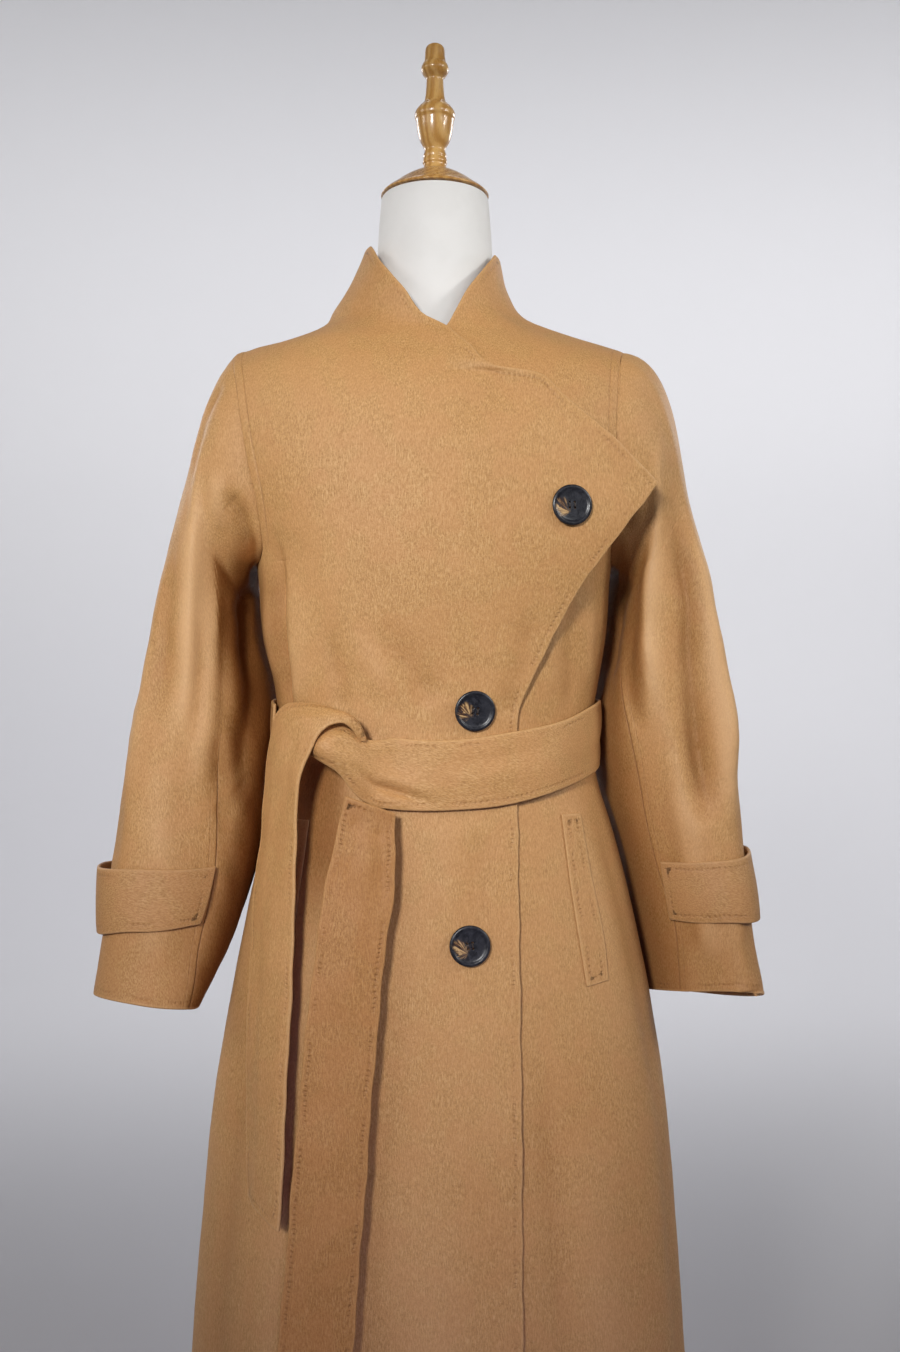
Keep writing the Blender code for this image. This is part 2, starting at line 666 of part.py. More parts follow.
def remap_turn(turn, shared, seam):
    """Slides the shared turns so that the seam's own one lands on the seam."""
    a = abs(turn)
    s = 1.0 if turn >= 0 else -1.0
    if a <= shared:
        return s * a * seam / shared
    return s * (seam + (a - shared) * (180.0 - seam) / (180.0 - shared))


CAP_STEPS = (0.0, 0.18, 0.42, 0.70)
RING_STEPS = (0.0, 0.55, 1.0, 2.0, 3.0, 4.0, 5.0, 6.0, 7.0)


def sleeve_grid(table, side, shared_f):
    """Outer and inner points of a whole sleeve, rows by turns round it."""
    turns = ([-a for a in reversed(ARM_TURNS[1:-1])] + list(ARM_TURNS))
    shared_b = 108
    pts, nrm, away = arm_loop(side, turns)
    keys = np.arange(len(table), dtype=float)[:, None]
    rows = np.hstack([keys, np.asarray(table, float)])

    def ring_row(r):
        sf, sb = float(read(rows, 10, r)), float(read(rows, 11, r))
        return np.array([
            sleeve_ring(table, side, r, remap_turn(a, shared_f, sf) if a >= 0
                        else remap_turn(a, shared_b, sb)) for a in turns])

    first, second = ring_row(0.0), ring_row(0.35)
    heading = second - first
    heading /= np.linalg.norm(heading, axis=1, keepdims=True)
    k = 1 if side < 0 else 2
    lift = np.radians(np.array([float(read(SLEEVE_LIFT, k, abs(a))) for a in turns]))
    reach = np.array([float(read(SLEEVE_LIFT, k + 2, abs(a))) for a in turns])
    begin = pts + away * GAP
    leave = away * np.cos(lift)[:, None] + nrm * np.sin(lift)[:, None]
    b1 = begin + leave * reach[:, None]
    b2 = first - heading * (reach * 1.2)[:, None]
    outer = []
    for s in CAP_STEPS:
        outer.append((1 - s) ** 3 * begin + 3 * (1 - s) ** 2 * s * b1
                     + 3 * (1 - s) * s**2 * b2 + s**3 * first)
    for r in RING_STEPS:
        outer.append(ring_row(r))
    outer = np.array(outer)
    # normals, closing the ring round
    du = np.roll(outer, -1, axis=1) - np.roll(outer, 1, axis=1)
    dv = np.gradient(outer, axis=0)
    n = np.cross(du, dv)
    n /= np.linalg.norm(n, axis=-1, keepdims=True)
    middle = outer.mean(axis=1, keepdims=True)
    if np.mean(np.einsum("ijk,ijk->ij", n, outer - middle)) < 0:
        n = -n
    turned = np.maximum(lift, 0.0)
    n[0] = nrm * np.cos(turned)[:, None] - away * np.sin(turned)[:, None]
    inner = outer - n * CLOTH
    return outer, inner, turns


def sleeve(which, side, table, shared_f, mats):
    """Upper and under sleeve, parted at the front and the back seam."""
    outer, inner, turns = sleeve_grid(table, side, shared_f)
    f, b = turns.index(shared_f), turns.index(-108)
    count = len(turns)
    upper = list(range(b, f + 1))
    under = list(range(f, count)) + list(range(0, b + 1))

    def cut(columns):
        o, i = outer[:, columns].copy(), inner[:, columns].copy()
        for g in (o, i):
            a = g[:, 1] - g[:, 0]
            g[:, 0] += a / np.linalg.norm(a, axis=1, keepdims=True) * GAP / 2
            a = g[:, -2] - g[:, -1]
            g[:, -1] += a / np.linalg.norm(a, axis=1, keepdims=True) * GAP / 2
        return o, i

    grid_wall("sleeve_upper_" + which, *cut(upper), mats[0])
    grid_wall("sleeve_under_" + which, *cut(under), mats[1])


def strap(name, side, table, edges, mat):
    """Cuff strap: runs from the front seam round the outside to the back one,
    close to the sleeve in front and standing off it outside."""
    keys = np.arange(len(table), dtype=float)[:, None]
    rows = np.hstack([keys, np.asarray(table, float)])
    fine = np.linspace(4.0, 7.0, 61)
    level = np.array([float(read(rows, 1, r)) for r in fine])
    middle = float(np.interp(0.855, level[::-1], fine[::-1]))
    turns = np.linspace(3 - float(read(rows, 11, middle)),
                        float(read(rows, 10, middle)) - 3, 15)
    grid = []
    for f in (0.0, 0.5, 1.0):
        row = []
        for a in turns:
            low, top, s0, s1 = (float(read(edges, i, a)) for i in (1, 2, 3, 4))
            r = float(np.interp(low + (top - low) * f, level[::-1], fine[::-1]))
            p = sleeve_ring(table, side, r, a)
            q = sleeve_ring(table, side, r, a + 1.0)
            e = q - p
            n = np.array([e[1], -e[0], 0.0]) * -side
            n /= np.linalg.norm(n)
            centre = sleeve_ring(table, side, r, 0) + sleeve_ring(table, side, r, 180)
            if np.dot(n, p - centre / 2) < 0:
                n = -n
            row.append(p + n * (s0 + (s1 - s0) * f))
        grid.append(row)
    low = np.array(grid)
    n = grid_normals(low)
    mid = low.mean(axis=(0, 1))
    if np.mean(np.einsum("ijk,ijk->ij", n, low - mid)) < 0:
        n = -n
    return grid_wall(name, low + n * CLOTH, low, mat)


# -------------------------------------------------------- belt and trimming


def belt_z(t):
    """Height of the belt's middle at angle t."""
    c = np.cos(t)
    front = BELT_SIDE_Z + (BELT_FRONT_Z - BELT_SIDE_Z) * np.maximum(c, 0) ** 2
    back = BELT_SIDE_Z + (BELT_BACK_Z - BELT_SIDE_Z) * ease(np.maximum(-c, 0))
    return np.where(c > 0, front, back)


def belt_out(t):
    """How far the belt's inner face stands off the ring: it clears the right
    front's extra layer across the front."""
    deg = np.degrees(t)
    over = ease((deg + 74.0) / 30.0) * (1 - ease((deg - 36.0) / 26.0))
    return BELT_STAND + (CLOTH + LAYER + 0.0004) * over


def belt_band(mat):
    """Band that runs from under the knot round the wearer's left and the back
    to behind the right end of the belt."""
    t = np.radians(np.concatenate([np.linspace(-16, 44, 8), np.linspace(51, 90, 6),
                                   np.linspace(101, 259, 15), np.linspace(270, 290, 3)]))
    rows = []
    for f in (-1.0, -0.35, 0.35, 1.0):
        z = belt_z(t) + f * BELT_WIDTH / 2
        rows.append(skin(t, z, belt_out(np.where(t > math.pi, t - 2 * math.pi, t))))
    g = np.array(rows)
    n = ring_normal(np.tile(t, (4, 1)), g[..., 2])
    flat = n.copy()
    flat[..., 2] = 0
    flat /= np.linalg.norm(flat, axis=-1, keepdims=True)
    return grid_wall("belt_band", g + flat * CLOTH, g, mat)


def ribbon(name, table, mat, across=2, bow=0.0):
    """Flat strip through rows that give its two edges."""
    rows = np.asarray(table, float)
    a = rows[:, [1, 2, 0]]
    b = rows[:, [4, 5, 3]]
    g = np.stack([a + (b - a) * (i / across) for i in range(across + 1)], axis=1)
    n = grid_normals(g)
    if np.mean(n[..., 1]) > 0:
        n = -n
    if bow:
        shape = np.array([4 * (i / across) * (1 - i / across) for i in range(across + 1)])
        g = g + n * (bow * shape)[None, :, None]
    return grid_wall(name, g + n * CLOTH / 2, g - n * CLOTH / 2, mat)


def welt(name, table, side, mat):
    """Pocket welt: a narrow strip laid on the front panel."""
    rows = []
    lap = side < 0
    for z in np.linspace(table[0][0], table[-1][0], 5):
        x0 = side * float(read(table, 1, z))
        x1 = side * float(read(table, 2, z))
        t0, t1 = angle_at(x0, z), angle_at(x1, z)
        rows.append([(t, z) for t in np.linspace(t0, t1, 3)])
    g = np.array(rows)
    t, z = g[..., 0], g[..., 1]
    base = lap_out(t, z) if lap else flat_out(t, z)
    low = skin(t, z, base + 0.0006)
    high = skin(t, z, base + 0.0006 + WELT_T)
    return grid_wall(name, high, low, mat)


def turned(name, profile, steps, mat, smooth_angle=40):
    """Turned solid: a profile of (height, radius) rows swept about +Z."""
    mesh = bpy.data.meshes.new(name)
    pts = [(r, 0.0, h) for h, r in reversed(profile)]
    mesh.from_pydata(pts, [(i, i + 1) for i in range(len(pts) - 1)], [])
    o = add(name, mesh, mat)
    s = o.modifiers.new("turn", "SCREW")
    s.axis = "Z"
    s.angle = 2 * math.pi
    s.steps = steps
    s.render_steps = steps
    s.use_merge_vertices = True
    s.merge_threshold = 0.00001
    s.use_smooth_shade = True
    return o


def baked(o):
    """The object's evaluated mesh, in place of its modifiers."""
    bpy.context.view_layer.update()
    deps = bpy.context.evaluated_depsgraph_get()
    mesh = bpy.data.meshes.new_from_object(o.evaluated_get(deps))
    o.modifiers.clear()
    old = o.data
    o.data = mesh
    bpy.data.meshes.remove(old)
    return o


def button(name, x, z, mat):
    """Round horn button with a raised rim and four holes."""
    r, h = BUTTON_D / 2, BUTTON_T
    profile = ((0.0, 0.0), (0.0, r * 0.62), (h * 0.30, r * 0.93), (h * 0.60, r),
               (h * 0.90, r * 0.96), (h, r * 0.88), (h * 0.72, r * 0.74),
               (h * 0.66, 0.0))
    o = baked(turned(name, profile, 20, mat))
    hole_r, pitch = 0.00105, 0.0024
    for i, (sx, sy) in enumerate(((1, 1), (-1, 1), (-1, -1), (1, -1))):
        bm = bmesh.new()
        bmesh.ops.create_cone(bm, cap_ends=True, segments=6, radius1=hole_r,
                              radius2=hole_r, depth=h * 4)
        mesh = bpy.data.meshes.new(f"{name}_hole_{i}")
        bm.to_mesh(mesh)
        bm.free()
        c = add(f"{name}_hole_{i}", mesh, None, "cutters")
        c.location = (sx * pitch, sy * pitch, h / 2)
        c.hide_render = True
        c.display_type = "WIRE"
        b = o.modifiers.new("hole", "BOOLEAN")
        b.operation = "DIFFERENCE"
        b.solver = "EXACT"
        b.object = c
    baked(o)
    for c in list(bpy.data.collections["cutters"].objects):
        bpy.data.objects.remove(c)
    t = angle_at(x, z, True, True)
    here = np.array(t), np.array(z)
    p = skin(*here, lap_out(*here), True)
    n = ring_normal(*here, True)
    # the flat button stands on the highest cloth under its rim
    turns = np.radians(np.arange(0, 360, 30))
    zr = z + np.cos(turns) * BUTTON_D / 2
    tr = np.array([angle_at(x + math.sin(a) * BUTTON_D / 2, h, True, True)
                   for a, h in zip(turns, zr)])
    rim = skin(tr, zr, lap_out(tr, zr), True)
    p = p + n * (max(0.0, float(np.max((rim - p) @ n))) + LAYER)
    n = Vector(n)
    turn = n.to_track_quat("Z", "Y")
    o.rotation_mode = "QUATERNION"
    o.rotation_quaternion = turn
    o.location = Vector(p)
    return o


# --------------------------------------------------------------- dress form


def form_torso(mat):
    """Smooth limbless torso: a closed loft of level rings."""
    seg = 28
    bm = bmesh.new()
    loops = []
    for z, half, front, back in FORM:
        loop = []
        for i in range(seg):
            t = 2 * math.pi * i / seg
            depth = front if math.cos(t) > 0 else back
            loop.append(bm.verts.new((half * math.sin(t), -depth * math.cos(t), z)))
        loops.append(loop)
    for a, b in zip(loops, loops[1:]):
        for i in range(seg):
            j = (i + 1) % seg
            bm.faces.new((a[i], a[j], b[j], b[i]))
    bm.faces.new(list(reversed(loops[0])))
    bm.faces.new(loops[-1])
    bmesh.ops.recalc_face_normals(bm, faces=bm.faces)
    mesh = bpy.data.meshes.new("form_torso")
    bm.to_mesh(mesh)
    bm.free()
    mesh.shade_smooth()
    mesh.set_sharp_from_angle(angle=math.radians(50))
    return add("form_torso", mesh, mat)


def build():
    start()

    def wool(piece):
        return material("wool_" + piece, WOOL, 0.92)

    front_right(wool("front_right"))
    front_left(wool("front_left"))
    coat_back(wool("coat_back"))
    collar_back(wool("collar_back"))
    sleeve("right", -1, SLEEVE_RIGHT, 108, (wool("sleeve_a"), wool("sleeve_b")))
    sleeve("left", 1, SLEEVE_LEFT, 132, (wool("sleeve_c"), wool("sleeve_d")))
    strap("cuff_strap_right", -1, SLEEVE_RIGHT, STRAP_RIGHT, wool("strap_a"))
    strap("cuff_strap_left", 1, SLEEVE_LEFT, STRAP_LEFT, wool("strap_b"))
    belt_band(wool("belt_a"))
    ribbon("belt_end_right", BELT_END_RIGHT, wool("belt_b"), 3)
    ribbon("belt_end_left", BELT_END_LEFT, wool("belt_c"), 3)
    ribbon("belt_knot", BELT_KNOT, wool("belt_d"), 2)
    welt("pocket_welt_left", WELT_LEFT, 1, wool("welt_a"))
    welt("pocket_welt_right", WELT_RIGHT, -1, wool("welt_b"))
    for i, (x, z) in enumerate(BUTTONS):
        button(f"button_{i + 1}", x, z, material(f"horn_{i + 1}", (0.02, 0.022, 0.03), 0.3))

    form_torso(material("form_cover", (0.72, 0.71, 0.69), 0.8))
    cap = turned("neck_cap", CAP_TURNING, 28, material("cap_wood", (0.60, 0.33, 0.09), 0.35))
    cap.location = (0, 0, NECK_TOP_Z - 0.0003)
    knob = turned("finial", FINIAL_TURNING, 20, material("finial_wood", (0.60, 0.33, 0.09), 0.35))
    knob.location = (0, 0, NECK_TOP_Z - 0.0003)
    pole_top, pole_low = FORM[0][0] - GAP, BASE_T + GAP
    pole = turned("pole", ((pole_low, 0.0), (pole_low, POLE_R * 1.8),
                           (pole_low + 0.006, POLE_R * 1.8), (pole_low + 0.010, POLE_R),
                           (pole_top - 0.030, POLE_R), (pole_top - 0.026, POLE_R * 1.5),
                           (pole_top, POLE_R * 1.5), (pole_top, 0.0)), 16,
                  material("pole_metal", (0.75, 0.75, 0.75), 0.3, 1.0))
    base = turned("base", ((0.0, 0.0), (0.0, BASE_R - 0.002), (0.003, BASE_R),
                           (BASE_T * 0.6, BASE_R), (BASE_T - 0.003, BASE_R - 0.006),
                           (BASE_T, BASE_R - 0.014), (BASE_T, 0.0)), 32,
                  material("base_wood", (0.60, 0.33, 0.09), 0.35))


build()
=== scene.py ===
"""Looks of the wool wrap coat on its limbless dress form.

Metres, +Z up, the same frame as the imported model: the origin is on the floor
under the form's pole, the coat's front faces -Y and the wearer's left is +X.
Angles round the body start at the centre front and are positive to the
wearer's left: 90 is the left side, 180 the centre back.
"""
import math

import bmesh
import bpy
import numpy as np
from mathutils import Matrix, Vector


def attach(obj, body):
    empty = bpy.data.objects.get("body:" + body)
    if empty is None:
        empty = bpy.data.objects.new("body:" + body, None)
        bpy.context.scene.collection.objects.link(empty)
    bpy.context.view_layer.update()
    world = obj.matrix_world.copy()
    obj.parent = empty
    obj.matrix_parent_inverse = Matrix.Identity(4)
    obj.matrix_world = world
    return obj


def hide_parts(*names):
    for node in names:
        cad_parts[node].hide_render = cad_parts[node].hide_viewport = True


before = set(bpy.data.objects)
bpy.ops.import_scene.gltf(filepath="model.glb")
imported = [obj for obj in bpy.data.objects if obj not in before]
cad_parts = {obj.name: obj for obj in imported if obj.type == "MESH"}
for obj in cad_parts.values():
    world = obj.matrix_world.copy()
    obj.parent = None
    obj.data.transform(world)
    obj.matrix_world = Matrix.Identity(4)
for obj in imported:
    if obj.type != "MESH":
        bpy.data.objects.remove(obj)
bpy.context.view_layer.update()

# ----------------------------------------------------------------- sizes
CLOTH = 0.0030          # thickness of the double-faced wool
GAP = 0.0003            # gap kept between two pieces at a seam
LAYER = 0.0008          # gap kept between two layers that lie on each other
HEM_Z = 0.260           # hem above the floor
UNDERARM_Z = 1.165      # lowest point of the armhole
SHOULDER_Z = 1.369      # shoulder point, where the seam meets the sleeve
NECK_POINT_Z = 1.399    # shoulder seam's inner end
BACK_NECK_Z = 1.386     # neck seam at the centre back
COLLAR_TOP_Z = 1.467    # top edge of the stand collar
LEFT_TIP_Z = 1.4600     # top of the left front's own collar edge
BELT_WIDTH = 0.0624
BELT_SIDE_Z = 1.007     # middle of the belt at the sides
BELT_FRONT_Z = 0.972    # and at the centre front
BELT_BACK_Z = 1.012
BELT_STAND = 0.0022     # how far the belt stands off the coat
BUTTON_D = 0.036
BUTTON_T = 0.0042
POLE_R = 0.016
BASE_R = 0.175
BASE_T = 0.022

# level rings of the coat's outer face: half widths to the wearer's right and
# left, half width of the over-lapping front on the left side, depth of the
# front and of the back, and how square the front and the back are (2 is an
# ellipse). Above the underarm the rings run on past the armhole, where the
# panels are cut off.
RING_COLUMNS = ("z", "right", "left", "lap", "front", "back", "sq_f", "sq_b")
RINGS = (
    (0.260, 0.2355, 0.2460, 0.2500, 0.1650, 0.1750, 2.50, 2.40),
    (0.400, 0.2290, 0.2400, 0.2440, 0.1530, 0.1630, 2.50, 2.40),
    (0.550, 0.2195, 0.2305, 0.2345, 0.1420, 0.1500, 2.50, 2.40),
    (0.650, 0.2103, 0.2215, 0.2250, 0.1350, 0.1410, 2.50, 2.40),
    (0.750, 0.1955, 0.2070, 0.2100, 0.1280, 0.1320, 2.45, 2.35),
    (0.840, 0.1785, 0.1895, 0.1915, 0.1215, 0.1220, 2.40, 2.30),
    (0.910, 0.1650, 0.1720, 0.1735, 0.1160, 0.1110, 2.35, 2.25),
    (0.970, 0.1525, 0.1545, 0.1555, 0.1110, 0.0985, 2.30, 2.20),
    (1.010, 0.1500, 0.1510, 0.1520, 0.1090, 0.0940, 2.30, 2.20),
    (1.050, 0.1540, 0.1565, 0.1600, 0.1110, 0.0960, 2.30, 2.20),
    (1.100, 0.1660, 0.1650, 0.1950, 0.1160, 0.1020, 2.25, 2.20),
    (1.165, 0.1710, 0.1695, 0.2500, 0.1230, 0.1090, 2.25, 2.20),
    (1.200, 0.1870, 0.1830, 0.2800, 0.1245, 0.1130, 2.20, 2.20),
    (1.260, 0.2200, 0.2160, 0.3000, 0.1215, 0.1160, 2.10, 2.10),
    (1.310, 0.2360, 0.2340, 0.2900, 0.1130, 0.1120, 2.00, 2.00),
    (1.342, 0.2300, 0.2320, 0.2620, 0.1020, 0.1020, 1.95, 1.95),
    (1.358, 0.2120, 0.2120, 0.2320, 0.0935, 0.0940, 1.90, 1.90),
    (1.3690, 0.1890, 0.1850, 0.2060, 0.0875, 0.0885, 1.85, 1.85),
    (1.3740, 0.1690, 0.1725, 0.1880, 0.0840, 0.0855, 1.80, 1.80),
    (1.3795, 0.1500, 0.1520, 0.1640, 0.0815, 0.0830, 1.80, 1.80),
    (1.3855, 0.1308, 0.1310, 0.1410, 0.0795, 0.0800, 1.80, 1.80),
    (1.3920, 0.1140, 0.1090, 0.1220, 0.0780, 0.0780, 1.85, 1.85),
    (1.3990, 0.1042, 0.0925, 0.1030, 0.0765, 0.0760, 1.90, 1.90),
    (1.4085, 0.0995, 0.0810, 0.0900, 0.0750, 0.0740, 2.00, 2.00),
    (1.4210, 0.0910, 0.0738, 0.0800, 0.0725, 0.0710, 2.00, 2.00),
    (1.4370, 0.0808, 0.0670, 0.0720, 0.0700, 0.0680, 2.00, 2.00),
    (1.4530, 0.0725, 0.0635, 0.0680, 0.0670, 0.0660, 2.00, 2.00),
    (1.4670, 0.0665, 0.0605, 0.0645, 0.0640, 0.0650, 2.00, 2.00),
)

# the armhole: turn round it (0 at the shoulder point, 180 at the underarm),
# and how far from the middle of the coat its front and back edges run
ARMHOLE_COLUMNS = ("turn", "front_right", "front_left", "back")
ARMHOLE = (
    (0, 0.1890, 0.1850, 0.1870),
    (30, 0.1878, 0.1733, 0.1820),
    (56, 0.1808, 0.1682, 0.1750),
    (75, 0.1755, 0.1664, 0.1700),
    (95, 0.1688, 0.1654, 0.1665),
    (120, 0.1603, 0.1650, 0.1620),
    (145, 0.1575, 0.1655, 0.1600),
    (165, 0.1630, 0.1665, 0.1640),
    (180, 0.1710, 0.1695, 0.1700),
)

# free edge of the right front, which laps over the left: height and how far
# to the wearer's left it runs
LAP_EDGE_COLUMNS = ("z", "x")
LAP_EDGE = (
    (0.260, 0.0772),
    (0.660, 0.0767),
    (0.865, 0.0748),
    (0.960, 0.0741),
    (1.0200, 0.0742),
    (1.0470, 0.0813),
    (1.0800, 0.0973),
    (1.1350, 0.1265),
    (1.1640, 0.1459),
    (1.1960, 0.1720),
    (1.2140, 0.1885),
    (1.2337, 0.1988),
    (1.2514, 0.1795),
    (1.2805, 0.1471),
    (1.3107, 0.1118),
    (1.3242, 0.0978),
    (1.3294, 0.0836),
    (1.3315, 0.0641),
    (1.3334, 0.0526),
    (1.3525, 0.0323),
    (1.3741, 0.0100),
    (1.3872, -0.0097),
    (1.4136, -0.0267),
    (1.4330, -0.0402),
    (1.4484, -0.0502),
    (1.4599, -0.0566),
    (1.4670, -0.0598),
)
# rows the right front needs of its own: the lapel's corner and its notch
LAP_ROWS = (1.2337, 1.3242, 1.3294, 1.3334)

# free edge of the left front, which runs on under the right one
UNDER_EDGE_COLUMNS = ("z", "x")
UNDER_EDGE = (
    (0.260, -0.0600),
    (0.700, -0.0600),
    (1.000, -0.0600),
    (1.280, -0.0600),
    (1.340, -0.0390),
    (1.364, -0.0120),
    (1.3793, 0.0110),
    (1.3917, 0.0182),
    (1.4040, 0.0247),
    (1.4166, 0.0311),
    (1.4303, 0.0396),
    (1.4458, 0.0492),
    (1.4600, 0.0570),
    (1.4670, 0.0590),
)

# sleeves: level of each ring at its outer and inner end, where those ends
# are, half depth of its front and back, squareness, and the turn at which the
# front and the back seam cross it (0 outside, 90 front, 180 next to the body)
SLEEVE_COLUMNS = ("z_out", "x_out", "y_out", "z_in", "x_in", "y_in",
                  "front", "back", "sq", "seam_f", "seam_b", "rise")
SLEEVE_RIGHT = (
    (1.2280, 0.2430, -0.004, 1.1330, 0.1835, 0.014, 0.064, 0.064, 2.2, 108, 112, 0.0),
    (1.1500, 0.2620, -0.004, 1.0850, 0.1735, 0.022, 0.066, 0.064, 2.5, 110, 112, 0.0),
    (1.0850, 0.2735, -0.006, 1.0400, 0.1650, 0.024, 0.067, 0.062, 2.6, 112, 112, 0.0),
    (1.0180, 0.2845, -0.012, 1.0000, 0.1620, 0.018, 0.066, 0.061, 2.5, 113, 112, 0.0),
    (0.9500, 0.2955, -0.020, 0.9450, 0.1640, 0.010, 0.064, 0.060, 2.4, 116, 113, 0.0),
    (0.8850, 0.3038, -0.030, 0.8830, 0.1715, -0.004, 0.062, 0.058, 2.3, 122, 115, 0.002),
    (0.8200, 0.3085, -0.040, 0.8150, 0.1905, -0.025, 0.058, 0.055, 2.2, 127, 118, 0.005),
    (0.7640, 0.3140, -0.050, 0.7560, 0.2150, -0.066, 0.052, 0.050, 2.2, 150, 120, 0.008),
)
SLEEVE_LEFT = (
    (1.2285, 0.2436, -0.004, 1.1330, 0.1825, 0.014, 0.064, 0.064, 2.2, 146, 112, 0.0),
    (1.1500, 0.2610, -0.004, 1.0850, 0.1730, 0.020, 0.066, 0.064, 2.4, 146, 112, 0.0),
    (1.0850, 0.2724, -0.006, 1.0400, 0.1660, 0.020, 0.067, 0.062, 2.4, 138, 112, 0.0),
    (1.0180, 0.2830, -0.010, 1.0000, 0.1640, 0.020, 0.066, 0.061, 2.4, 128, 112, 0.0),
    (0.9500, 0.2883, -0.018, 0.9450, 0.1695, 0.026, 0.064, 0.060, 2.3, 123, 113, 0.0),
    (0.8850, 0.2923, -0.028, 0.8830, 0.1835, 0.030, 0.062, 0.058, 2.3, 122, 115, 0.003),
    (0.8200, 0.2970, -0.040, 0.8130, 0.1965, 0.032, 0.058, 0.055, 2.2, 114, 118, 0.007),
    (0.7627, 0.3045, -0.050, 0.7500, 0.2060, 0.030, 0.053, 0.050, 2.2, 118, 120, 0.012),
)
# turns round the armhole at which the panels and the sleeves share points
ARM_TURNS = (0, 18, 38, 60, 84, 108, 132, 152, 168, 180)
# how far the sleeve turns out of the body's surface at the armhole seam
SLEEVE_LIFT_COLUMNS = ("turn", "lift_right", "lift_left", "reach_right", "reach_left")
SLEEVE_LIFT = (
    (0, -34, 13, 0.038, 0.050),
    (40, -6, 14, 0.036, 0.044),
    (90, 40, 38, 0.030, 0.030),
    (130, 66, 66, 0.020, 0.020),
    (160, 88, 88, 0.012, 0.012),
    (180, 96, 96, 0.009, 0.009),
)
# cuff straps: turn round the sleeve, levels of the two long edges, and how far
# the strap stands off the sleeve
STRAP_COLUMNS = ("turn", "low", "top", "stand_low", "stand_top")
STRAP_RIGHT = (
    (-110, 0.8250, 0.8820, 0.0012, 0.0012),
    (-60, 0.8230, 0.8820, 0.0020, 0.0040),
    (-10, 0.8215, 0.8825, 0.0030, 0.0085),
    (20, 0.8215, 0.8830, 0.0030, 0.0080),
    (60, 0.8250, 0.8835, 0.0015, 0.0030),
    (125, 0.8330, 0.8850, 0.0012, 0.0012),
)
STRAP_LEFT = (
    (-110, 0.8360, 0.8930, 0.0012, 0.0012),
    (-60, 0.8340, 0.8960, 0.0030, 0.0020),
    (-10, 0.8330, 0.8975, 0.0050, 0.0025),
    (20, 0.8325, 0.8955, 0.0045, 0.0020),
    (60, 0.8300, 0.8890, 0.0020, 0.0015),
    (125, 0.8295, 0.8850, 0.0012, 0.0012),
)

# pocket welts: height, and the x of the edge near the front and near the side
WELT_COLUMNS = ("z", "x_in", "x_out")
WELT_LEFT = (
    (0.7845, 0.1358, 0.1567),
    (0.8250, 0.1292, 0.1520),
    (0.8800, 0.1210, 0.1412),
    (0.9350, 0.1142, 0.1318),
)
WELT_RIGHT = (
    (0.7845, 0.1300, 0.1520),
    (0.8250, 0.1240, 0.1470),
    (0.8800, 0.1165, 0.1370),
    (0.9300, 0.1100, 0.1270),
)
WELT_T = 0.0018

# buttons: x and height of each middle
BUTTON_COLUMNS = ("x", "z")
BUTTONS = (
    (0.1206, 1.2101),
    (0.0360, 1.0295),
    (0.0317, 0.8239),
)

# hanging ends of the belt: height, x and y of the edge to the wearer's right
# and of the edge to the wearer's left
RIBBON_COLUMNS = ("z_a", "x_a", "y_a", "z_b", "x_b", "y_b")
BELT_END_RIGHT = (
    (0.5980, -0.1680, -0.1100, 0.5840, -0.1332, -0.1520),
    (0.6480, -0.1695, -0.1060, 0.6480, -0.1297, -0.1480),
    (0.7340, -0.1708, -0.0980, 0.7340, -0.1270, -0.1420),
    (0.7940, -0.1697, -0.0880, 0.7940, -0.1235, -0.1360),
    (0.8560, -0.1676, -0.0780, 0.8600, -0.1230, -0.1310),
    (0.9311, -0.1591, -0.0740, 0.9311, -0.1202, -0.1310),
    (0.9620, -0.1545, -0.0740, 0.9600, -0.1185, -0.1315),
    (0.9960, -0.1495, -0.0760, 0.9820, -0.1126, -0.1320),
    (1.0240, -0.1435, -0.0820, 0.9985, -0.1045, -0.1325),
    (1.0358, -0.1273, -0.0970, 1.0110, -0.0970, -0.1330),
    (1.0343, -0.1025, -0.1130, 1.0175, -0.0880, -0.1320),
    (1.0285, -0.0850, -0.1200, 1.0190, -0.0790, -0.1310),
    (1.0190, -0.0680, -0.1260, 1.0110, -0.0680, -0.1290),
)
BELT_END_LEFT = (
    (0.3650, -0.1390, -0.1680, 0.3500, -0.0750, -0.1720),
    (0.4500, -0.1345, -0.1640, 0.4500, -0.0700, -0.1670),
    (0.6000, -0.1228, -0.1550, 0.6000, -0.0590, -0.1580),
    (0.7500, -0.1100, -0.1450, 0.7500, -0.0480, -0.1480),
    (0.8300, -0.1010, -0.1400, 0.8300, -0.0400, -0.1430),
    (0.8800, -0.0935, -0.1365, 0.8850, -0.0330, -0.1395),
    (0.9280, -0.0830, -0.1345, 0.9220, -0.0325, -0.1355),
    (0.9560, -0.0770, -0.1335, 0.9400, -0.0330, -0.1300),
)
BELT_KNOT = (
    (0.9930, -0.1075, -0.1190, 0.9850, -0.1075, -0.1275),
    (0.9985, -0.1000, -0.1205, 0.9800, -0.1000, -0.1290),
    (1.0015, -0.0900, -0.1215, 0.9730, -0.0900, -0.1300),
    (1.0020, -0.0760, -0.1205, 0.9620, -0.0760, -0.1290),
    (1.0025, -0.0620, -0.1180, 0.9500, -0.0640, -0.1240),
    (1.0030, -0.0455, -0.1145, 0.9430, -0.0475, -0.1190),
)

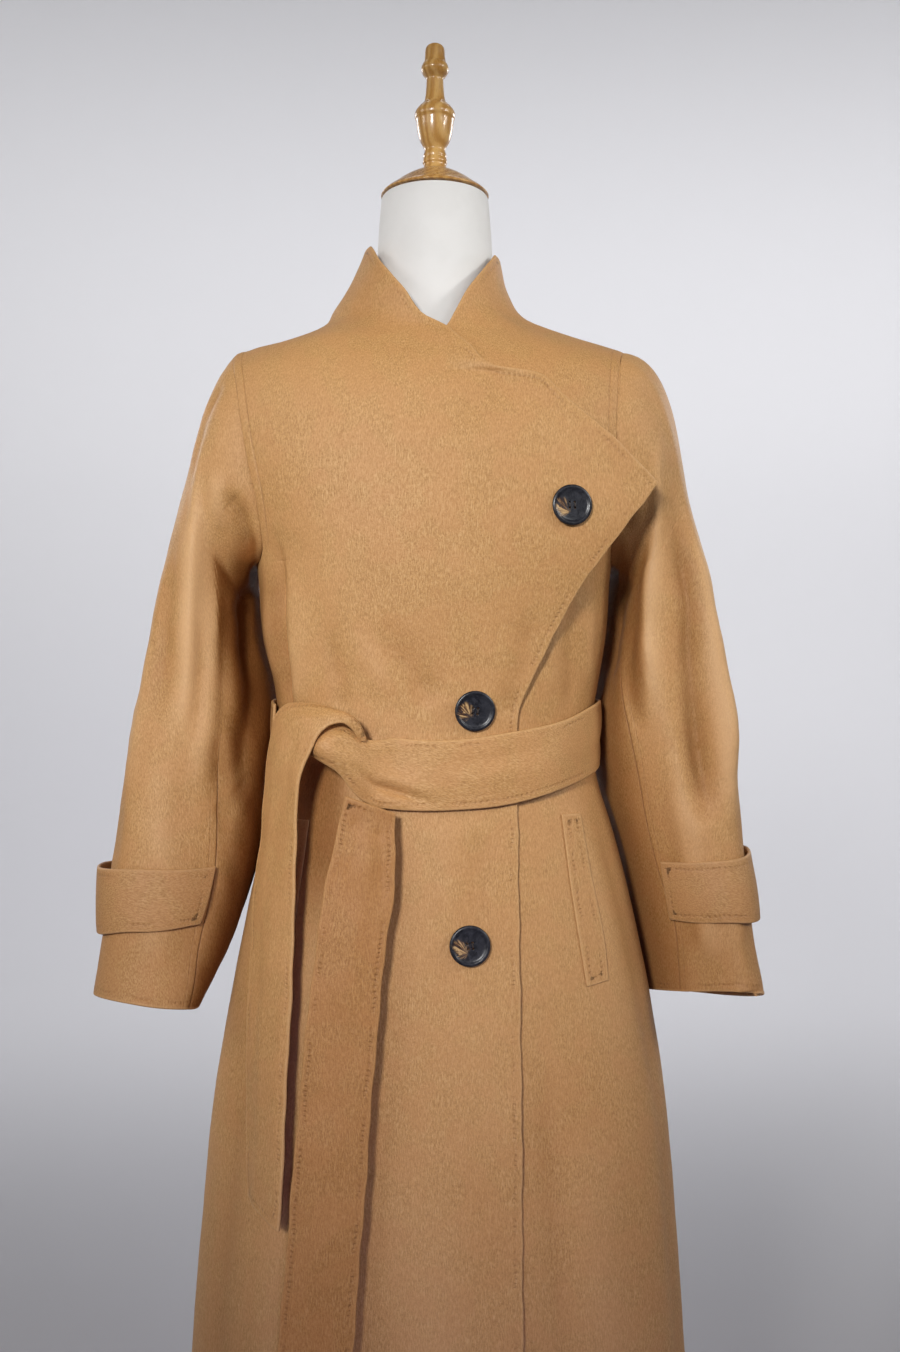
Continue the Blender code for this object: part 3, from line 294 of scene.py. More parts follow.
# the form's torso: height, half width, front and back depth
FORM_COLUMNS = ("z", "half", "front", "back")
FORM = (
    (0.800, 0.1480, 0.0960, 0.0980),
    (0.850, 0.1500, 0.0960, 0.0990),
    (0.910, 0.1430, 0.0930, 0.0930),
    (0.970, 0.1320, 0.0900, 0.0840),
    (1.010, 0.1290, 0.0890, 0.0800),
    (1.050, 0.1310, 0.0910, 0.0820),
    (1.110, 0.1400, 0.0990, 0.0880),
    (1.170, 0.1450, 0.1060, 0.0950),
    (1.220, 0.1490, 0.1060, 0.0980),
    (1.270, 0.1540, 0.1000, 0.0970),
    (1.310, 0.1580, 0.0900, 0.0920),
    (1.335, 0.1540, 0.0800, 0.0840),
    (1.350, 0.1420, 0.0720, 0.0770),
    (1.362, 0.1220, 0.0660, 0.0710),
    (1.374, 0.0970, 0.0615, 0.0650),
    (1.388, 0.0750, 0.0585, 0.0600),
    (1.405, 0.0610, 0.0565, 0.0570),
    (1.430, 0.0570, 0.0550, 0.0550),
    (1.470, 0.0555, 0.0545, 0.0545),
    (1.500, 0.0535, 0.0530, 0.0530),
    (1.5225, 0.0515, 0.0515, 0.0515),
)

# turned wood: height above the neck's top, and radius
CAP_TURNING = (
    (0.0003, 0.0000), (0.0003, 0.0510), (0.0012, 0.0522), (0.0040, 0.0498),
    (0.0090, 0.0430), (0.0150, 0.0350), (0.0205, 0.0262), (0.0245, 0.0182),
    (0.0262, 0.0140), (0.0262, 0.0000),
)
FINIAL_TURNING = (
    (0.0265, 0.0000), (0.0265, 0.0132), (0.0280, 0.0118), (0.0300, 0.0110),
    (0.0318, 0.0109), (0.0340, 0.0119), (0.0370, 0.0116), (0.0385, 0.0111),
    (0.0405, 0.0114), (0.0430, 0.0107), (0.0458, 0.0099), (0.0480, 0.0105),
    (0.0505, 0.0118), (0.0555, 0.0145), (0.0612, 0.0162), (0.0680, 0.0175),
    (0.0755, 0.0184), (0.0772, 0.0193), (0.0800, 0.0197), (0.0825, 0.0192),
    (0.0868, 0.0166), (0.0905, 0.0128), (0.0932, 0.0106), (0.0990, 0.0093),
    (0.1080, 0.0085), (0.1148, 0.0082), (0.1170, 0.0093), (0.1200, 0.0118),
    (0.1245, 0.0135), (0.1285, 0.0125), (0.1315, 0.0108), (0.1365, 0.0098),
    (0.1430, 0.0094), (0.1465, 0.0082), (0.1485, 0.0055), (0.1494, 0.0000),
)
NECK_TOP_Z = 1.5235

# ---------------------------------------------------------- interpolation


def slopes(x, y):
    """Slopes of a smooth curve through the rows that never overshoots them."""
    h = np.diff(x)
    d = np.diff(y) / h
    m = np.zeros(len(x))
    for i in range(1, len(x) - 1):
        if d[i - 1] * d[i] > 0:
            w1, w2 = 2 * h[i] + h[i - 1], h[i] + 2 * h[i - 1]
            m[i] = (w1 + w2) / (w1 / d[i - 1] + w2 / d[i])
    m[0], m[-1] = d[0], d[-1]
    return m


def read(table, column, at, key=0):
    """Value of a table's column at a given value of its first column."""
    t = np.asarray(table, float)
    order = np.argsort(t[:, key])
    x, y = t[order, key], t[order, column]
    m = slopes(x, y)
    at = np.clip(np.asarray(at, float), x[0], x[-1])
    i = np.clip(np.searchsorted(x, at, side="right") - 1, 0, len(x) - 2)
    h = x[i + 1] - x[i]
    s = (at - x[i]) / h
    return ((2 * s**3 - 3 * s**2 + 1) * y[i] + (s**3 - 2 * s**2 + s) * h * m[i]
            + (-2 * s**3 + 3 * s**2) * y[i + 1] + (s**3 - s**2) * h * m[i + 1])


def ease(s):
    s = np.clip(s, 0.0, 1.0)
    return s * s * (3 - 2 * s)


# ------------------------------------------------------ surface of the body


def ring_point(t, z, lap=False):
    """Point of the coat's outer face at angle t (radians) and height z."""
    t, z = np.broadcast_arrays(np.asarray(t, float), np.asarray(z, float))
    s, c = np.sin(t), np.cos(t)
    left = read(RINGS, 3 if lap else 2, z)
    a = np.where(s < 0, read(RINGS, 1, z), left)
    b = np.where(c > 0, read(RINGS, 4, z), read(RINGS, 5, z))
    n = np.where(c > 0, read(RINGS, 6, z), read(RINGS, 7, z))
    k = (np.abs(s) ** n + np.abs(c) ** n) ** (-1.0 / n)
    return np.stack([a * s * k, -b * c * k, z], axis=-1)


def ring_normal(t, z, lap=False):
    e, f = 1e-3, 5e-4
    t, z = np.broadcast_arrays(np.asarray(t, float), np.asarray(z, float))
    u = ring_point(t + e, z, lap) - ring_point(t - e, z, lap)
    zl = np.maximum(z - f, RINGS[0][0])
    zh = np.minimum(z + f, RINGS[-1][0])
    v = ring_point(t, zh, lap) - ring_point(t, zl, lap)
    n = np.cross(u, v)
    return n / np.linalg.norm(n, axis=-1, keepdims=True)


def skin(t, z, out, lap=False):
    """Point of the body's surface, moved out along its normal."""
    out = np.asarray(out, float)
    return ring_point(t, z, lap) + ring_normal(t, z, lap) * out[..., None]


def angle_at(x, z, front=True, lap=False):
    """Angle at which the ring at height z is x from the middle."""
    x, z = float(x), float(z)
    s = 1.0 if x >= 0 else -1.0
    a = read(RINGS, 1 if s < 0 else (3 if lap else 2), z)
    n = read(RINGS, 6 if front else 7, z)
    r = min(abs(x) / a, 1.0)
    c = (1.0 - r**n) ** (1.0 / n)
    t = math.atan2(r, c)
    return s * (t if front else math.pi - t)


def arm_turn(z):
    """Turn round the armhole at height z."""
    mid, half = (SHOULDER_Z + UNDERARM_Z) / 2, (SHOULDER_Z - UNDERARM_Z) / 2
    return math.degrees(math.acos(max(-1.0, min(1.0, (z - mid) / half))))


def arm_z(turn):
    mid, half = (SHOULDER_Z + UNDERARM_Z) / 2, (SHOULDER_Z - UNDERARM_Z) / 2
    return mid + half * math.cos(math.radians(turn))


def side_angle(z, side, front=True):
    """Where a panel ends at the side: side seam, armhole or shoulder seam."""
    if z <= UNDERARM_Z + 1e-9 or z >= SHOULDER_Z - 1e-9:
        return side * math.pi / 2
    column = (1 if side < 0 else 2) if front else 3
    x = float(read(ARMHOLE, column, arm_turn(z)))
    return angle_at(side * x, z, front)


def angular(metres, t, z, lap=False):
    """Angle that spans a given length along the ring."""
    e = 1e-3
    d = np.linalg.norm(ring_point(t + e, z, lap) - ring_point(t - e, z, lap))
    return metres / (d / (2 * e))


BODY_ROWS = (0.260, 0.330, 0.410, 0.500, 0.600, 0.700, 0.790, 0.860, 0.915,
             0.960, 1.000, 1.040, 1.085, 1.125)
SEAM_ROWS = (1.3740, 1.3795, 1.3855, 1.3920, 1.3990)
COLLAR_ROWS = (1.4085, 1.4210, 1.4370, 1.4530, 1.4670)


def body_heights():
    """Heights of the rows that all the body's panels share, hem to neck."""
    arm = [arm_z(a) for a in reversed(ARM_TURNS)]
    return list(BODY_ROWS) + arm + list(SEAM_ROWS)


# ------------------------------------------------------------- fine surfaces


def angles_at(x, z, front=True, lap=False):
    """Angles at which the rings at heights z are x from the middle."""
    x, z = np.broadcast_arrays(np.asarray(x, float), np.asarray(z, float))
    s = np.where(x >= 0, 1.0, -1.0)
    a = np.where(s < 0, read(RINGS, 1, z), read(RINGS, 3 if lap else 2, z))
    n = read(RINGS, 6 if front else 7, z)
    r = np.minimum(np.abs(x) / a, 1.0)
    c = np.maximum(1.0 - r**n, 0.0) ** (1.0 / n)
    t = np.arctan2(r, c)
    return s * (t if front else math.pi - t)


def smooth_curve(points, count):
    """Points on a smooth curve through a few knots, and how far along each is."""
    p = np.asarray(points, float)
    d = np.concatenate([[0], np.cumsum(np.linalg.norm(np.diff(p, axis=0), axis=1))])
    s = np.linspace(0, d[-1], count)
    out = np.empty((count, p.shape[1]))
    for k in range(p.shape[1]):
        out[:, k] = read(np.stack([d, p[:, k]], axis=1), 1, s)
    return out, s / d[-1]


def nearest(points, line, closed=False, block=4000):
    """Distance from each point to a line of points, and how far along it that
    is in metres, measured to the line's segments."""
    a = np.asarray(line, float)
    if closed:
        a = np.vstack([a, a[:1]])
    seg = a[1:] - a[:-1]
    size = np.maximum(np.einsum("ij,ij->i", seg, seg), 1e-14)
    start = np.concatenate([[0], np.cumsum(np.sqrt(size))])[:-1]
    shape = points.shape[:-1]
    p = points.reshape(-1, 3)
    dist = np.empty(len(p))
    along = np.empty(len(p))
    for i in range(0, len(p), block):
        q = p[i:i + block, None, :] - a[None, :-1]
        u = np.clip(np.einsum("ijk,jk->ij", q, seg) / size, 0, 1)
        r = q - u[..., None] * seg
        d2 = np.einsum("ijk,ijk->ij", r, r)
        k = np.argmin(d2, axis=1)
        rows = np.arange(len(k))
        dist[i:i + block] = np.sqrt(d2[rows, k])
        along[i:i + block] = start[k] + u[rows, k] * np.sqrt(size[k])
    return dist.reshape(shape), along.reshape(shape)


def wave(p, seed, size, stretch=(1.0, 1.0, 1.0)):
    """Soft unevenness from -1 to 1, the same each time: a few sines that run
    in different directions."""
    rng = np.random.default_rng(seed)
    total = np.zeros(p.shape[:-1])
    for _ in range(7):
        way = rng.normal(size=3) / np.asarray(stretch)
        way = way / np.linalg.norm(way) * (0.6 + 0.8 * rng.random())
        total += np.sin(p @ (way * 2 * math.pi / size) + rng.random() * 6.283)
    return total / 4.2


# a wall's edge: how far its points lie from the rim, in metres
RIM_STEPS = (0.0, 0.0003, 0.0008, 0.0016, 0.0028, 0.0045)


def spread(length, step, first="free", last="free", cluster=()):
    """Places from 0 to length: close together near a rim, then about a step
    apart. cluster names more places that need close rows."""
    marks = [0.0, length]
    for k, kind in ((0, first), (1, last)):
        steps = RIM_STEPS if kind == "free" else RIM_STEPS[:4]
        for r in steps:
            marks.append(r if k == 0 else length - r)
    for c in cluster:
        marks += [c, c - 0.0012, c + 0.0012, c - 0.003, c + 0.003]
    inner_lo, inner_hi = RIM_STEPS[-1], length - RIM_STEPS[-1]
    count = max(2, int(round((inner_hi - inner_lo) / step)))
    marks += list(np.linspace(inner_lo, inner_hi, count + 1))
    marks = sorted(m for m in marks if -1e-9 <= m <= length + 1e-9)
    out = [marks[0]]
    for m in marks[1:]:
        if m - out[-1] > 0.00018:
            out.append(m)
    out[-1] = length
    return np.array(out)


def rounding(distance, half, depth):
    """How far the wall's face is drawn in near a rim."""
    e = np.clip(distance / max(depth, 1e-9), 0.0, 1.0)
    return depth * (1.0 - np.sqrt(np.maximum(0.0, 1.0 - (1.0 - e) ** 2)))


def normals_of(g, wrap=False):
    if wrap:
        du = np.roll(g, -1, axis=1) - np.roll(g, 1, axis=1)
    else:
        du = np.gradient(g, axis=1)
    dv = np.gradient(g, axis=0)
    n = np.cross(du, dv)
    size = np.linalg.norm(n, axis=-1, keepdims=True)
    return n / np.maximum(size, 1e-12)


def make_mesh(name, points, faces, mat, floats=None):
    mesh = bpy.data.meshes.new(name)
    mesh.from_pydata(points.tolist(), [], faces.tolist() if hasattr(faces, "tolist") else faces)
    mesh.polygons.foreach_set("use_smooth", np.ones(len(mesh.polygons), dtype=bool))
    for key, values in (floats or {}).items():
        a = mesh.attributes.new(key, "FLOAT", "POINT")
        a.data.foreach_set("value", np.asarray(values, dtype=np.float32).ravel())
    mesh.update()
    mesh.set_sharp_from_angle(angle=math.radians(58.0))
    o = bpy.data.objects.new(name, mesh)
    bpy.context.scene.collection.objects.link(o)
    if mat is not None:
        mesh.materials.append(mat)
    return o


def wall(name, outer, inner, mat, floats=None, wrap=False):
    """Closed wall between two grids of points. Its faces look away from it."""
    nv, nu = outer.shape[:2]
    idx = np.arange(nv * nu).reshape(nv, nu)
    if wrap:
        idx = np.hstack([idx, idx[:, :1]])
    a, b, c, d = idx[:-1, :-1], idx[:-1, 1:], idx[1:, 1:], idx[1:, :-1]
    m = nv * nu
    front = np.stack([a, b, c, d], axis=-1).reshape(-1, 4)
    back = np.stack([a, d, c, b], axis=-1).reshape(-1, 4) + m
    parts = [front, back]
    lo, hi = idx[0], idx[-1]
    parts.append(np.stack([lo[1:], lo[:-1], lo[:-1] + m, lo[1:] + m], axis=-1))
    parts.append(np.stack([hi[:-1], hi[1:], hi[1:] + m, hi[:-1] + m], axis=-1))
    if not wrap:
        le, ri = idx[:, 0], idx[:, -1]
        parts.append(np.stack([le[:-1], le[1:], le[1:] + m, le[:-1] + m], axis=-1))
        parts.append(np.stack([ri[1:], ri[:-1], ri[:-1] + m, ri[1:] + m], axis=-1))
    faces = np.vstack(parts)
    pts = np.vstack([outer.reshape(-1, 3), inner.reshape(-1, 3)])
    # outward: the outer grid's faces look from inner to outer
    o0 = outer.reshape(-1, 3)
    f = front[len(front) // 2]
    nrm = np.cross(o0[f[1]] - o0[f[0]], o0[f[3]] - o0[f[0]])
    if np.dot(nrm, o0[f[0]] - inner.reshape(-1, 3)[f[0]]) < 0:
        faces = faces[:, ::-1]
    both = {k: np.concatenate([np.ravel(v), np.ravel(v)]) for k, v in (floats or {}).items()}
    return make_mesh(name, pts, faces, mat, both)


def finish_cloth(name, mid, nrm, mat, free=(), seams=(), half=CLOTH / 2, floats=None,
                 wrap=False, free_depth=None, seam_depth=0.0007, seam_on=None):
    """Wall of cloth about its middle surface. free and seams are lines of
    points along its raw edges and its sewn ones; the first are rounded right
    over, the second dip a little, and both are stored for the material."""
    far = np.full(mid.shape[:2], 0.25)
    edge, along = far.copy(), np.zeros(mid.shape[:2])
    seam = far.copy()
    run = 0.0
    for line in free:
        d, a = nearest(mid, line)
        along = np.where(d < edge, a + run, along)
        edge = np.minimum(edge, d)
        run += 3.0
    for line in seams:
        seam = np.minimum(seam, nearest(mid, line)[0])
    depth = half * 0.94 if free_depth is None else free_depth
    drop = rounding(edge, half, depth)
    shown = np.ones(mid.shape[:2]) if seam_on is None else seam_on
    drop = np.maximum(drop, rounding(seam, half, seam_depth) * shown)
    outer = mid + nrm * (half - drop)[..., None]
    inner = mid - nrm * (half - np.minimum(drop, half * 0.94))[..., None]
    data = {"edge": edge, "along": along, "seam": seam, "seam_on": shown,
            "welt": far, "welt_on": np.zeros(mid.shape[:2])}
    data.update(floats or {})
    return wall(name, outer, inner, mat, data, wrap)


# -------------------------------------------------------------- panel edges


def front_side_gap(side):
    """Side edge of a front panel, drawn in from the seam."""

    def edge(z):
        t = side_angle(z, side, True)
        return t - side * angular(GAP / 2, t, z)

    return edge


def back_side_gap(side):
    def edge(z):
        t = side_angle(z, side, False)
        return t + side * angular(GAP / 2, t, z)

    return edge


def neck_seam_z(t):
    """Height of the back neck seam: it dips towards the centre back."""
    c = np.maximum(0.0, -np.cos(t))
    return NECK_POINT_Z + (BACK_NECK_Z - NECK_POINT_Z) * ease(c)


def flat_out(t, z):
    return np.zeros_like(t)


def lap_out(t, z):
    """The right front rides over the left: a layer out at the middle, and
    back on the common surface at its own side."""
    return (CLOTH + LAYER) * ease((np.degrees(t) + 62.0) / 34.0)


def belt_z(t):
    """Height of the belt's middle at angle t."""
    c = np.cos(t)
    front = BELT_SIDE_Z + (BELT_FRONT_Z - BELT_SIDE_Z) * np.maximum(c, 0) ** 2
    back = BELT_SIDE_Z + (BELT_BACK_Z - BELT_SIDE_Z) * ease(np.maximum(-c, 0))
    return np.where(c > 0, front, back)


def belt_out(t):
    """How far the belt's inner face stands off the ring: it clears the right
    front's extra layer across the front."""
    deg = np.degrees(t)
    over = ease((deg + 74.0) / 30.0) * (1 - ease((deg - 36.0) / 26.0))
    return BELT_STAND + (CLOTH + LAYER + 0.0004) * over


# ------------------------------------------------------- folds of the body
# Each fold is a line of knots (angle in degrees, height), then how wide its
# flank is on the left and on the right of someone who faces it, its depth
# (over 0 a ridge, under 0 a trough), and the part of its length over which it
# dies away at the top and at the bottom. Every line runs downwards.
FOLD_COLUMNS = ("knots", "left", "right", "depth", "fade_top", "fade_low")
BODICE_FOLDS = (
    (((-49.5, 1.200), (-50.7, 1.1787), (-52.2, 1.1382), (-53.4, 1.0929), (-56.5, 1.045), (-59.0, 1.015)),
     0.0125, 0.0046, -0.0092, 0.45, 0.08),
    (((-45.0, 1.170), (-46.8, 1.1382), (-48.0, 1.0929), (-51.0, 1.045), (-53.0, 1.018)),
     0.0055, 0.0120, 0.0034, 0.45, 0.10),
    (((-62.0, 1.170), (-63.4, 1.130), (-66.0, 1.085), (-70.0, 1.045)),
     0.0120, 0.0100, 0.0030, 0.45, 0.25),
    (((-42.0, 1.150), (-43.0, 1.100), (-46.0, 1.040)), 0.0090, 0.0140, 0.0014, 0.45, 0.20),
    (((-18.0, 1.110), (-15.4, 1.1007), (-10.5, 1.0786), (-3.8, 1.0494), (0.5, 1.028)),
     0.0100, 0.0140, -0.0030, 0.45, 0.20),
    (((-24.0, 1.105), (-20.0, 1.075), (-14.0, 1.040)), 0.0110, 0.0110, 0.0018, 0.45, 0.20),
    (((-33.0, 1.125), (-32.5, 1.0877), (-31.5, 1.054), (-31.0, 1.025)), 0.0090, 0.0120, -0.0027, 0.50, 0.15),
    (((30.0, 1.130), (29.0, 1.090), (26.5, 1.055), (24.5, 1.020)), 0.0120, 0.0090, -0.0030, 0.40, 0.10),
    (((46.1, 1.160), (46.1, 1.1306), (46.9, 1.0927), (49.8, 1.0445), (51.0, 1.02)), 0.0080, 0.0080, -0.0020, 0.40, 0.15),
    (((56.0, 1.150), (58.0, 1.100), (62.0, 1.045)), 0.0090, 0.0090, 0.0020, 0.40, 0.20),
    (((39.0, 1.120), (39.5, 1.080), (40.0, 1.040)), 0.0080, 0.0080, 0.0014, 0.40, 0.20),
    (((17.5, 1.3287), (11.6, 1.3043), (6.2, 1.2764)), 0.0120, 0.0160, -0.0014, 0.30, 0.50),
    (((22.7, 1.3057), (29.3, 1.2699), (36.5, 1.2420)), 0.0140, 0.0120, 0.0012, 0.40, 0.30),
    (((-62.0, 1.300), (-58.0, 1.250), (-56.0, 1.200)), 0.0160, 0.0180, 0.0016, 0.40, 0.40),
    (((-70.0, 1.250), (-68.0, 1.215), (-69.0, 1.180)), 0.0100, 0.0100, -0.0022, 0.40, 0.30),
    # collar: it leans away from the neck below its edge
    (((-40.0, 1.430), (-36.0, 1.400), (-33.0, 1.372)), 0.0130, 0.0180, -0.0012, 0.40, 0.40),
    (((52.0, 1.425), (47.0, 1.395), (42.0, 1.365)), 0.0120, 0.0160, -0.0014, 0.35, 0.40),
)
BODY_BACK_FOLDS = (
    (((176.0, 1.220), (178.0, 1.140), (179.0, 1.060), (180.0, 1.030)), 0.0120, 0.0160, -0.0030, 0.60, 0.10),
    (((150.0, 1.180), (154.0, 1.110), (158.0, 1.040)), 0.0140, 0.0110, -0.0034, 0.55, 0.10),
    (((204.0, 1.170), (200.0, 1.100), (197.0, 1.040)), 0.0100, 0.0150, -0.0032, 0.55, 0.10),
    (((132.0, 1.160), (136.0, 1.100), (140.0, 1.040)), 0.0120, 0.0130, 0.0026, 0.50, 0.15),
    (((228.0, 1.165), (223.0, 1.100), (219.0, 1.040)), 0.0130, 0.0120, 0.0028, 0.50, 0.15),
    (((166.0, 1.140), (168.0, 1.090), (169.0, 1.040)), 0.0090, 0.0110, 0.0022, 0.50, 0.15),
    (((189.0, 1.150), (189.0, 1.095), (188.0, 1.040)), 0.0110, 0.0090, 0.0020, 0.50, 0.15),
    (((112.0, 1.150), (112.0, 1.100), (111.0, 1.040)), 0.0100, 0.0120, -0.0030, 0.50, 0.12),
    (((247.0, 1.150), (248.0, 1.100), (249.0, 1.040)), 0.0120, 0.0100, -0.0030, 0.50, 0.12),
    (((140.0, 1.300), (146.0, 1.250), (150.0, 1.205)), 0.0180, 0.0160, 0.0018, 0.40, 0.50),
    (((222.0, 1.300), (215.0, 1.245), (211.0, 1.200)), 0.0160, 0.0190, 0.0017, 0.40, 0.50),
    (((118.0, 1.230), (120.0, 1.190), (118.0, 1.150)), 0.0110, 0.0110, -0.0026, 0.40, 0.30),
    (((242.0, 1.235), (240.0, 1.190), (242.0, 1.150)), 0.0110, 0.0110, -0.0026, 0.40, 0.30),
)
SKIRT_FOLDS = (
    # in front, what shows below the belt
    (((14.1, 0.930), (13.6, 0.9063), (13.0, 0.8802), (12.0, 0.8542), (11.0, 0.810)), 0.0130, 0.0150, -0.0016, 0.20, 0.55),
    (((5.0, 0.935), (4.0, 0.890), (3.0, 0.820)), 0.0110, 0.0130, 0.0010, 0.20, 0.60),
    (((-9.0, 0.9300), (-9.5, 0.870), (-9.8, 0.7766), (-11.5, 0.691), (-14.0, 0.5641), (-16.0, 0.40), (-17.0, 0.262)),
     0.0160, 0.0110, -0.0024, 0.15, 0.02),
    (((23.8, 0.780), (24.3, 0.7324), (24.8, 0.6468), (25.8, 0.5533), (26.5, 0.420), (27.0, 0.262)),
     0.0070, 0.0120, -0.0028, 0.30, 0.02),
    (((34.0, 0.700), (35.5, 0.600), (37.0, 0.450), (38.0, 0.262)), 0.0200, 0.0260, 0.0024, 0.40, 0.02),
    (((0.0, 0.780), (0.0, 0.620), (-1.0, 0.440), (-2.0, 0.262)), 0.0380, 0.0380, 0.0026, 0.45, 0.02),
    (((49.0, 0.960), (50.0, 0.900), (51.0, 0.820), (52.0, 0.700)), 0.0140, 0.0120, 0.0012, 0.15, 0.60),
    (((60.0, 0.960), (62.0, 0.900), (63.0, 0.800), (64.0, 0.600), (64.0, 0.400), (64.0, 0.262)), 0.0130, 0.0170, -0.0026, 0.12, 0.02),
    (((-32.0, 0.920), (-33.0, 0.800), (-35.0, 0.600), (-37.0, 0.262)), 0.0180, 0.0160, 0.0024, 0.20, 0.02),
    (((-47.0, 0.960), (-50.0, 0.850), (-53.0, 0.650), (-55.0, 0.450), (-56.0, 0.262)), 0.0150, 0.0170, -0.0030, 0.15, 0.02),
    (((-66.0, 0.960), (-68.0, 0.860), (-70.0, 0.660), (-71.0, 0.262)), 0.0160, 0.0150, 0.0026, 0.15, 0.02),
    # a faint slanting drag line towards the side
    (((27.0, 0.6450), (35.4, 0.6330), (48.4, 0.6150)), 0.0080, 0.0080, 0.0008, 0.35, 0.45),
    (((29.0, 0.6050), (37.0, 0.5900), (46.0, 0.5720)), 0.0070, 0.0090, 0.0006, 0.35, 0.45),
    # round the sides and the back, where the skirt flares
    (((101.0, 0.970), (102.0, 0.850), (103.0, 0.600), (103.0, 0.262)), 0.0150, 0.0170, -0.0034, 0.15, 0.02),
    (((118.0, 0.970), (118.0, 0.840), (117.0, 0.600), (116.0, 0.262)), 0.0200, 0.0180, 0.0046, 0.20, 0.02),
    (((135.0, 0.970), (134.0, 0.860), (132.0, 0.640), (131.0, 0.262)), 0.0170, 0.0190, -0.0044, 0.15, 0.02),
    (((151.0, 0.970), (150.0, 0.820), (149.0, 0.560), (148.0, 0.262)), 0.0200, 0.0230, 0.0048, 0.20, 0.02),
    (((168.0, 0.970), (167.0, 0.830), (166.0, 0.600), (166.0, 0.262)), 0.0180, 0.0190, -0.0040, 0.15, 0.02),
    (((184.0, 0.965), (185.0, 0.800), (186.0, 0.560), (187.0, 0.262)), 0.0220, 0.0200, 0.0050, 0.25, 0.02),
    (((203.0, 0.970), (204.0, 0.850), (206.0, 0.620), (207.0, 0.262)), 0.0190, 0.0160, -0.0046, 0.15, 0.02),
    (((221.0, 0.970), (223.0, 0.830), (226.0, 0.580), (228.0, 0.262)), 0.0190, 0.0210, 0.0050, 0.20, 0.02),
    (((240.0, 0.970), (242.0, 0.860), (244.0, 0.640), (245.0, 0.262)), 0.0170, 0.0180, -0.0040, 0.15, 0.02),
    (((257.0, 0.970), (258.0, 0.850), (260.0, 0.620), (260.0, 0.262)), 0.0180, 0.0170, 0.0036, 0.15, 0.02),
)


def fold_field(p, table):
    total = np.zeros(p.shape[:-1])
    for i, (knots, left, right, depth, top, low) in enumerate(table):
        flat, _ = smooth_curve([(math.radians(a) * 0.15, z) for a, z in knots], 90)
        line = ring_point(flat[:, 0] / 0.15, flat[:, 1])
        total += crease_line(p, line, left, right, depth, (top, low), i)
    return total


def crease_line(p, line, left, right, depth, fade, seed=0, nrm=None):
    """A soft ridge or trough along a line of points on the surface p."""
    s = np.linspace(0, 1, len(line))
    tangent = np.gradient(line, axis=0)
    tangent /= np.maximum(np.linalg.norm(tangent, axis=1, keepdims=True), 1e-9)
    flat = p.reshape(-1, 3)
    reach = 2.6 * max(left, right)
    lo, hi = line.min(axis=0) - reach, line.max(axis=0) + reach
    near = np.nonzero(np.all((flat > lo) & (flat < hi), axis=1))[0]
    out = np.zeros(len(flat))
    for i in range(0, len(near), 6000):
        rows = near[i:i + 6000]
        q = flat[rows]
        d2 = ((q[:, None, :] - line[None]) ** 2).sum(axis=2)
        k = np.argmin(d2, axis=1)
        off = q - line[k]
        off = off - tangent[k] * np.einsum("ij,ij->i", off, tangent[k])[:, None]
        d = np.sqrt(d2[np.arange(len(k)), k])
        if nrm is None:
            face = q * np.array([1.0, 1.0, 0.0])
            face /= np.maximum(np.linalg.norm(face, axis=1, keepdims=True), 1e-9)
        else:
            face = nrm.reshape(-1, 3)[rows]
        side = np.einsum("ij,ij->i", np.cross(tangent[k], face), off)
        w = np.where(side > 0, left, right)
        run = s[k]
        up = ease(run / fade[0]) if fade[0] > 0 else 1.0
        down = ease((1 - run) / fade[1]) if fade[1] > 0 else 1.0
        beat = 1.0 + 0.16 * np.sin(run * 9.0 + seed * 1.7) + 0.09 * np.sin(run * 23.0 + seed)
        out[rows] = depth * np.exp(-(d / w) ** 2) * up * down * beat
    return out.reshape(p.shape[:-1])


def body_drape(p):
    """How far the cloth of the body moves out from the plain form at p."""
    t = np.arctan2(p[..., 0], -p[..., 1])
    away = np.abs(p[..., 2] - belt_z(t))
    free = ease((away - 0.026) / 0.026)
    d = fold_field(p, BODICE_FOLDS) + fold_field(p, BODY_BACK_FOLDS) + fold_field(p, SKIRT_FOLDS)
    low = ease((0.95 - p[..., 2]) / 0.5)
    d = d + wave(p, 3, 0.16, (1, 1, 2.2)) * 0.0011 * (0.35 + low)
    d = d + wave(p, 4, 0.055, (1, 1, 1.6)) * 0.00035
    hem = ease((0.60 - p[..., 2]) / 0.34)
    d = d + hem * 0.0030 * np.sin(t * 7.0 + 0.8 * np.sin(t * 2.0 + 1.0))
    # the belt presses the cloth flat
    return np.where(d > 0, d * free, d * (0.35 + 0.65 * free))


ARM_WELT = 0.0085       # width of the felled seam at the armhole


def welt_rise(distance):
    """A felled seam: raised beside the seam line, with a line along its edge."""
    rise = 0.00055 * ease(distance / 0.0012) * (1 - ease((distance - ARM_WELT + 0.0010) / 0.0012))
    line = -0.00035 * np.exp(-((distance - ARM_WELT - 0.0002) / 0.0007) ** 2)
    return rise + line


def fractions(width, step, first, last):
    if first == "welt" or last == "welt":
        base = spread(width, step, "seam" if first == "welt" else first,
                      "seam" if last == "welt" else last)
        more = [0.0050, 0.0072, 0.0080, 0.0088, 0.0096, 0.0112]
        marks = list(base)
        if first == "welt":
            marks += more
        if last == "welt":
            marks += [width - m for m in more]
        marks = sorted(marks)
        out = [marks[0]]
        for m in marks[1:]:
            if m - out[-1] > 0.00030:
                out.append(m)
        out[-1] = width
        return np.array(out) / width
    return spread(width, step, first, last) / width


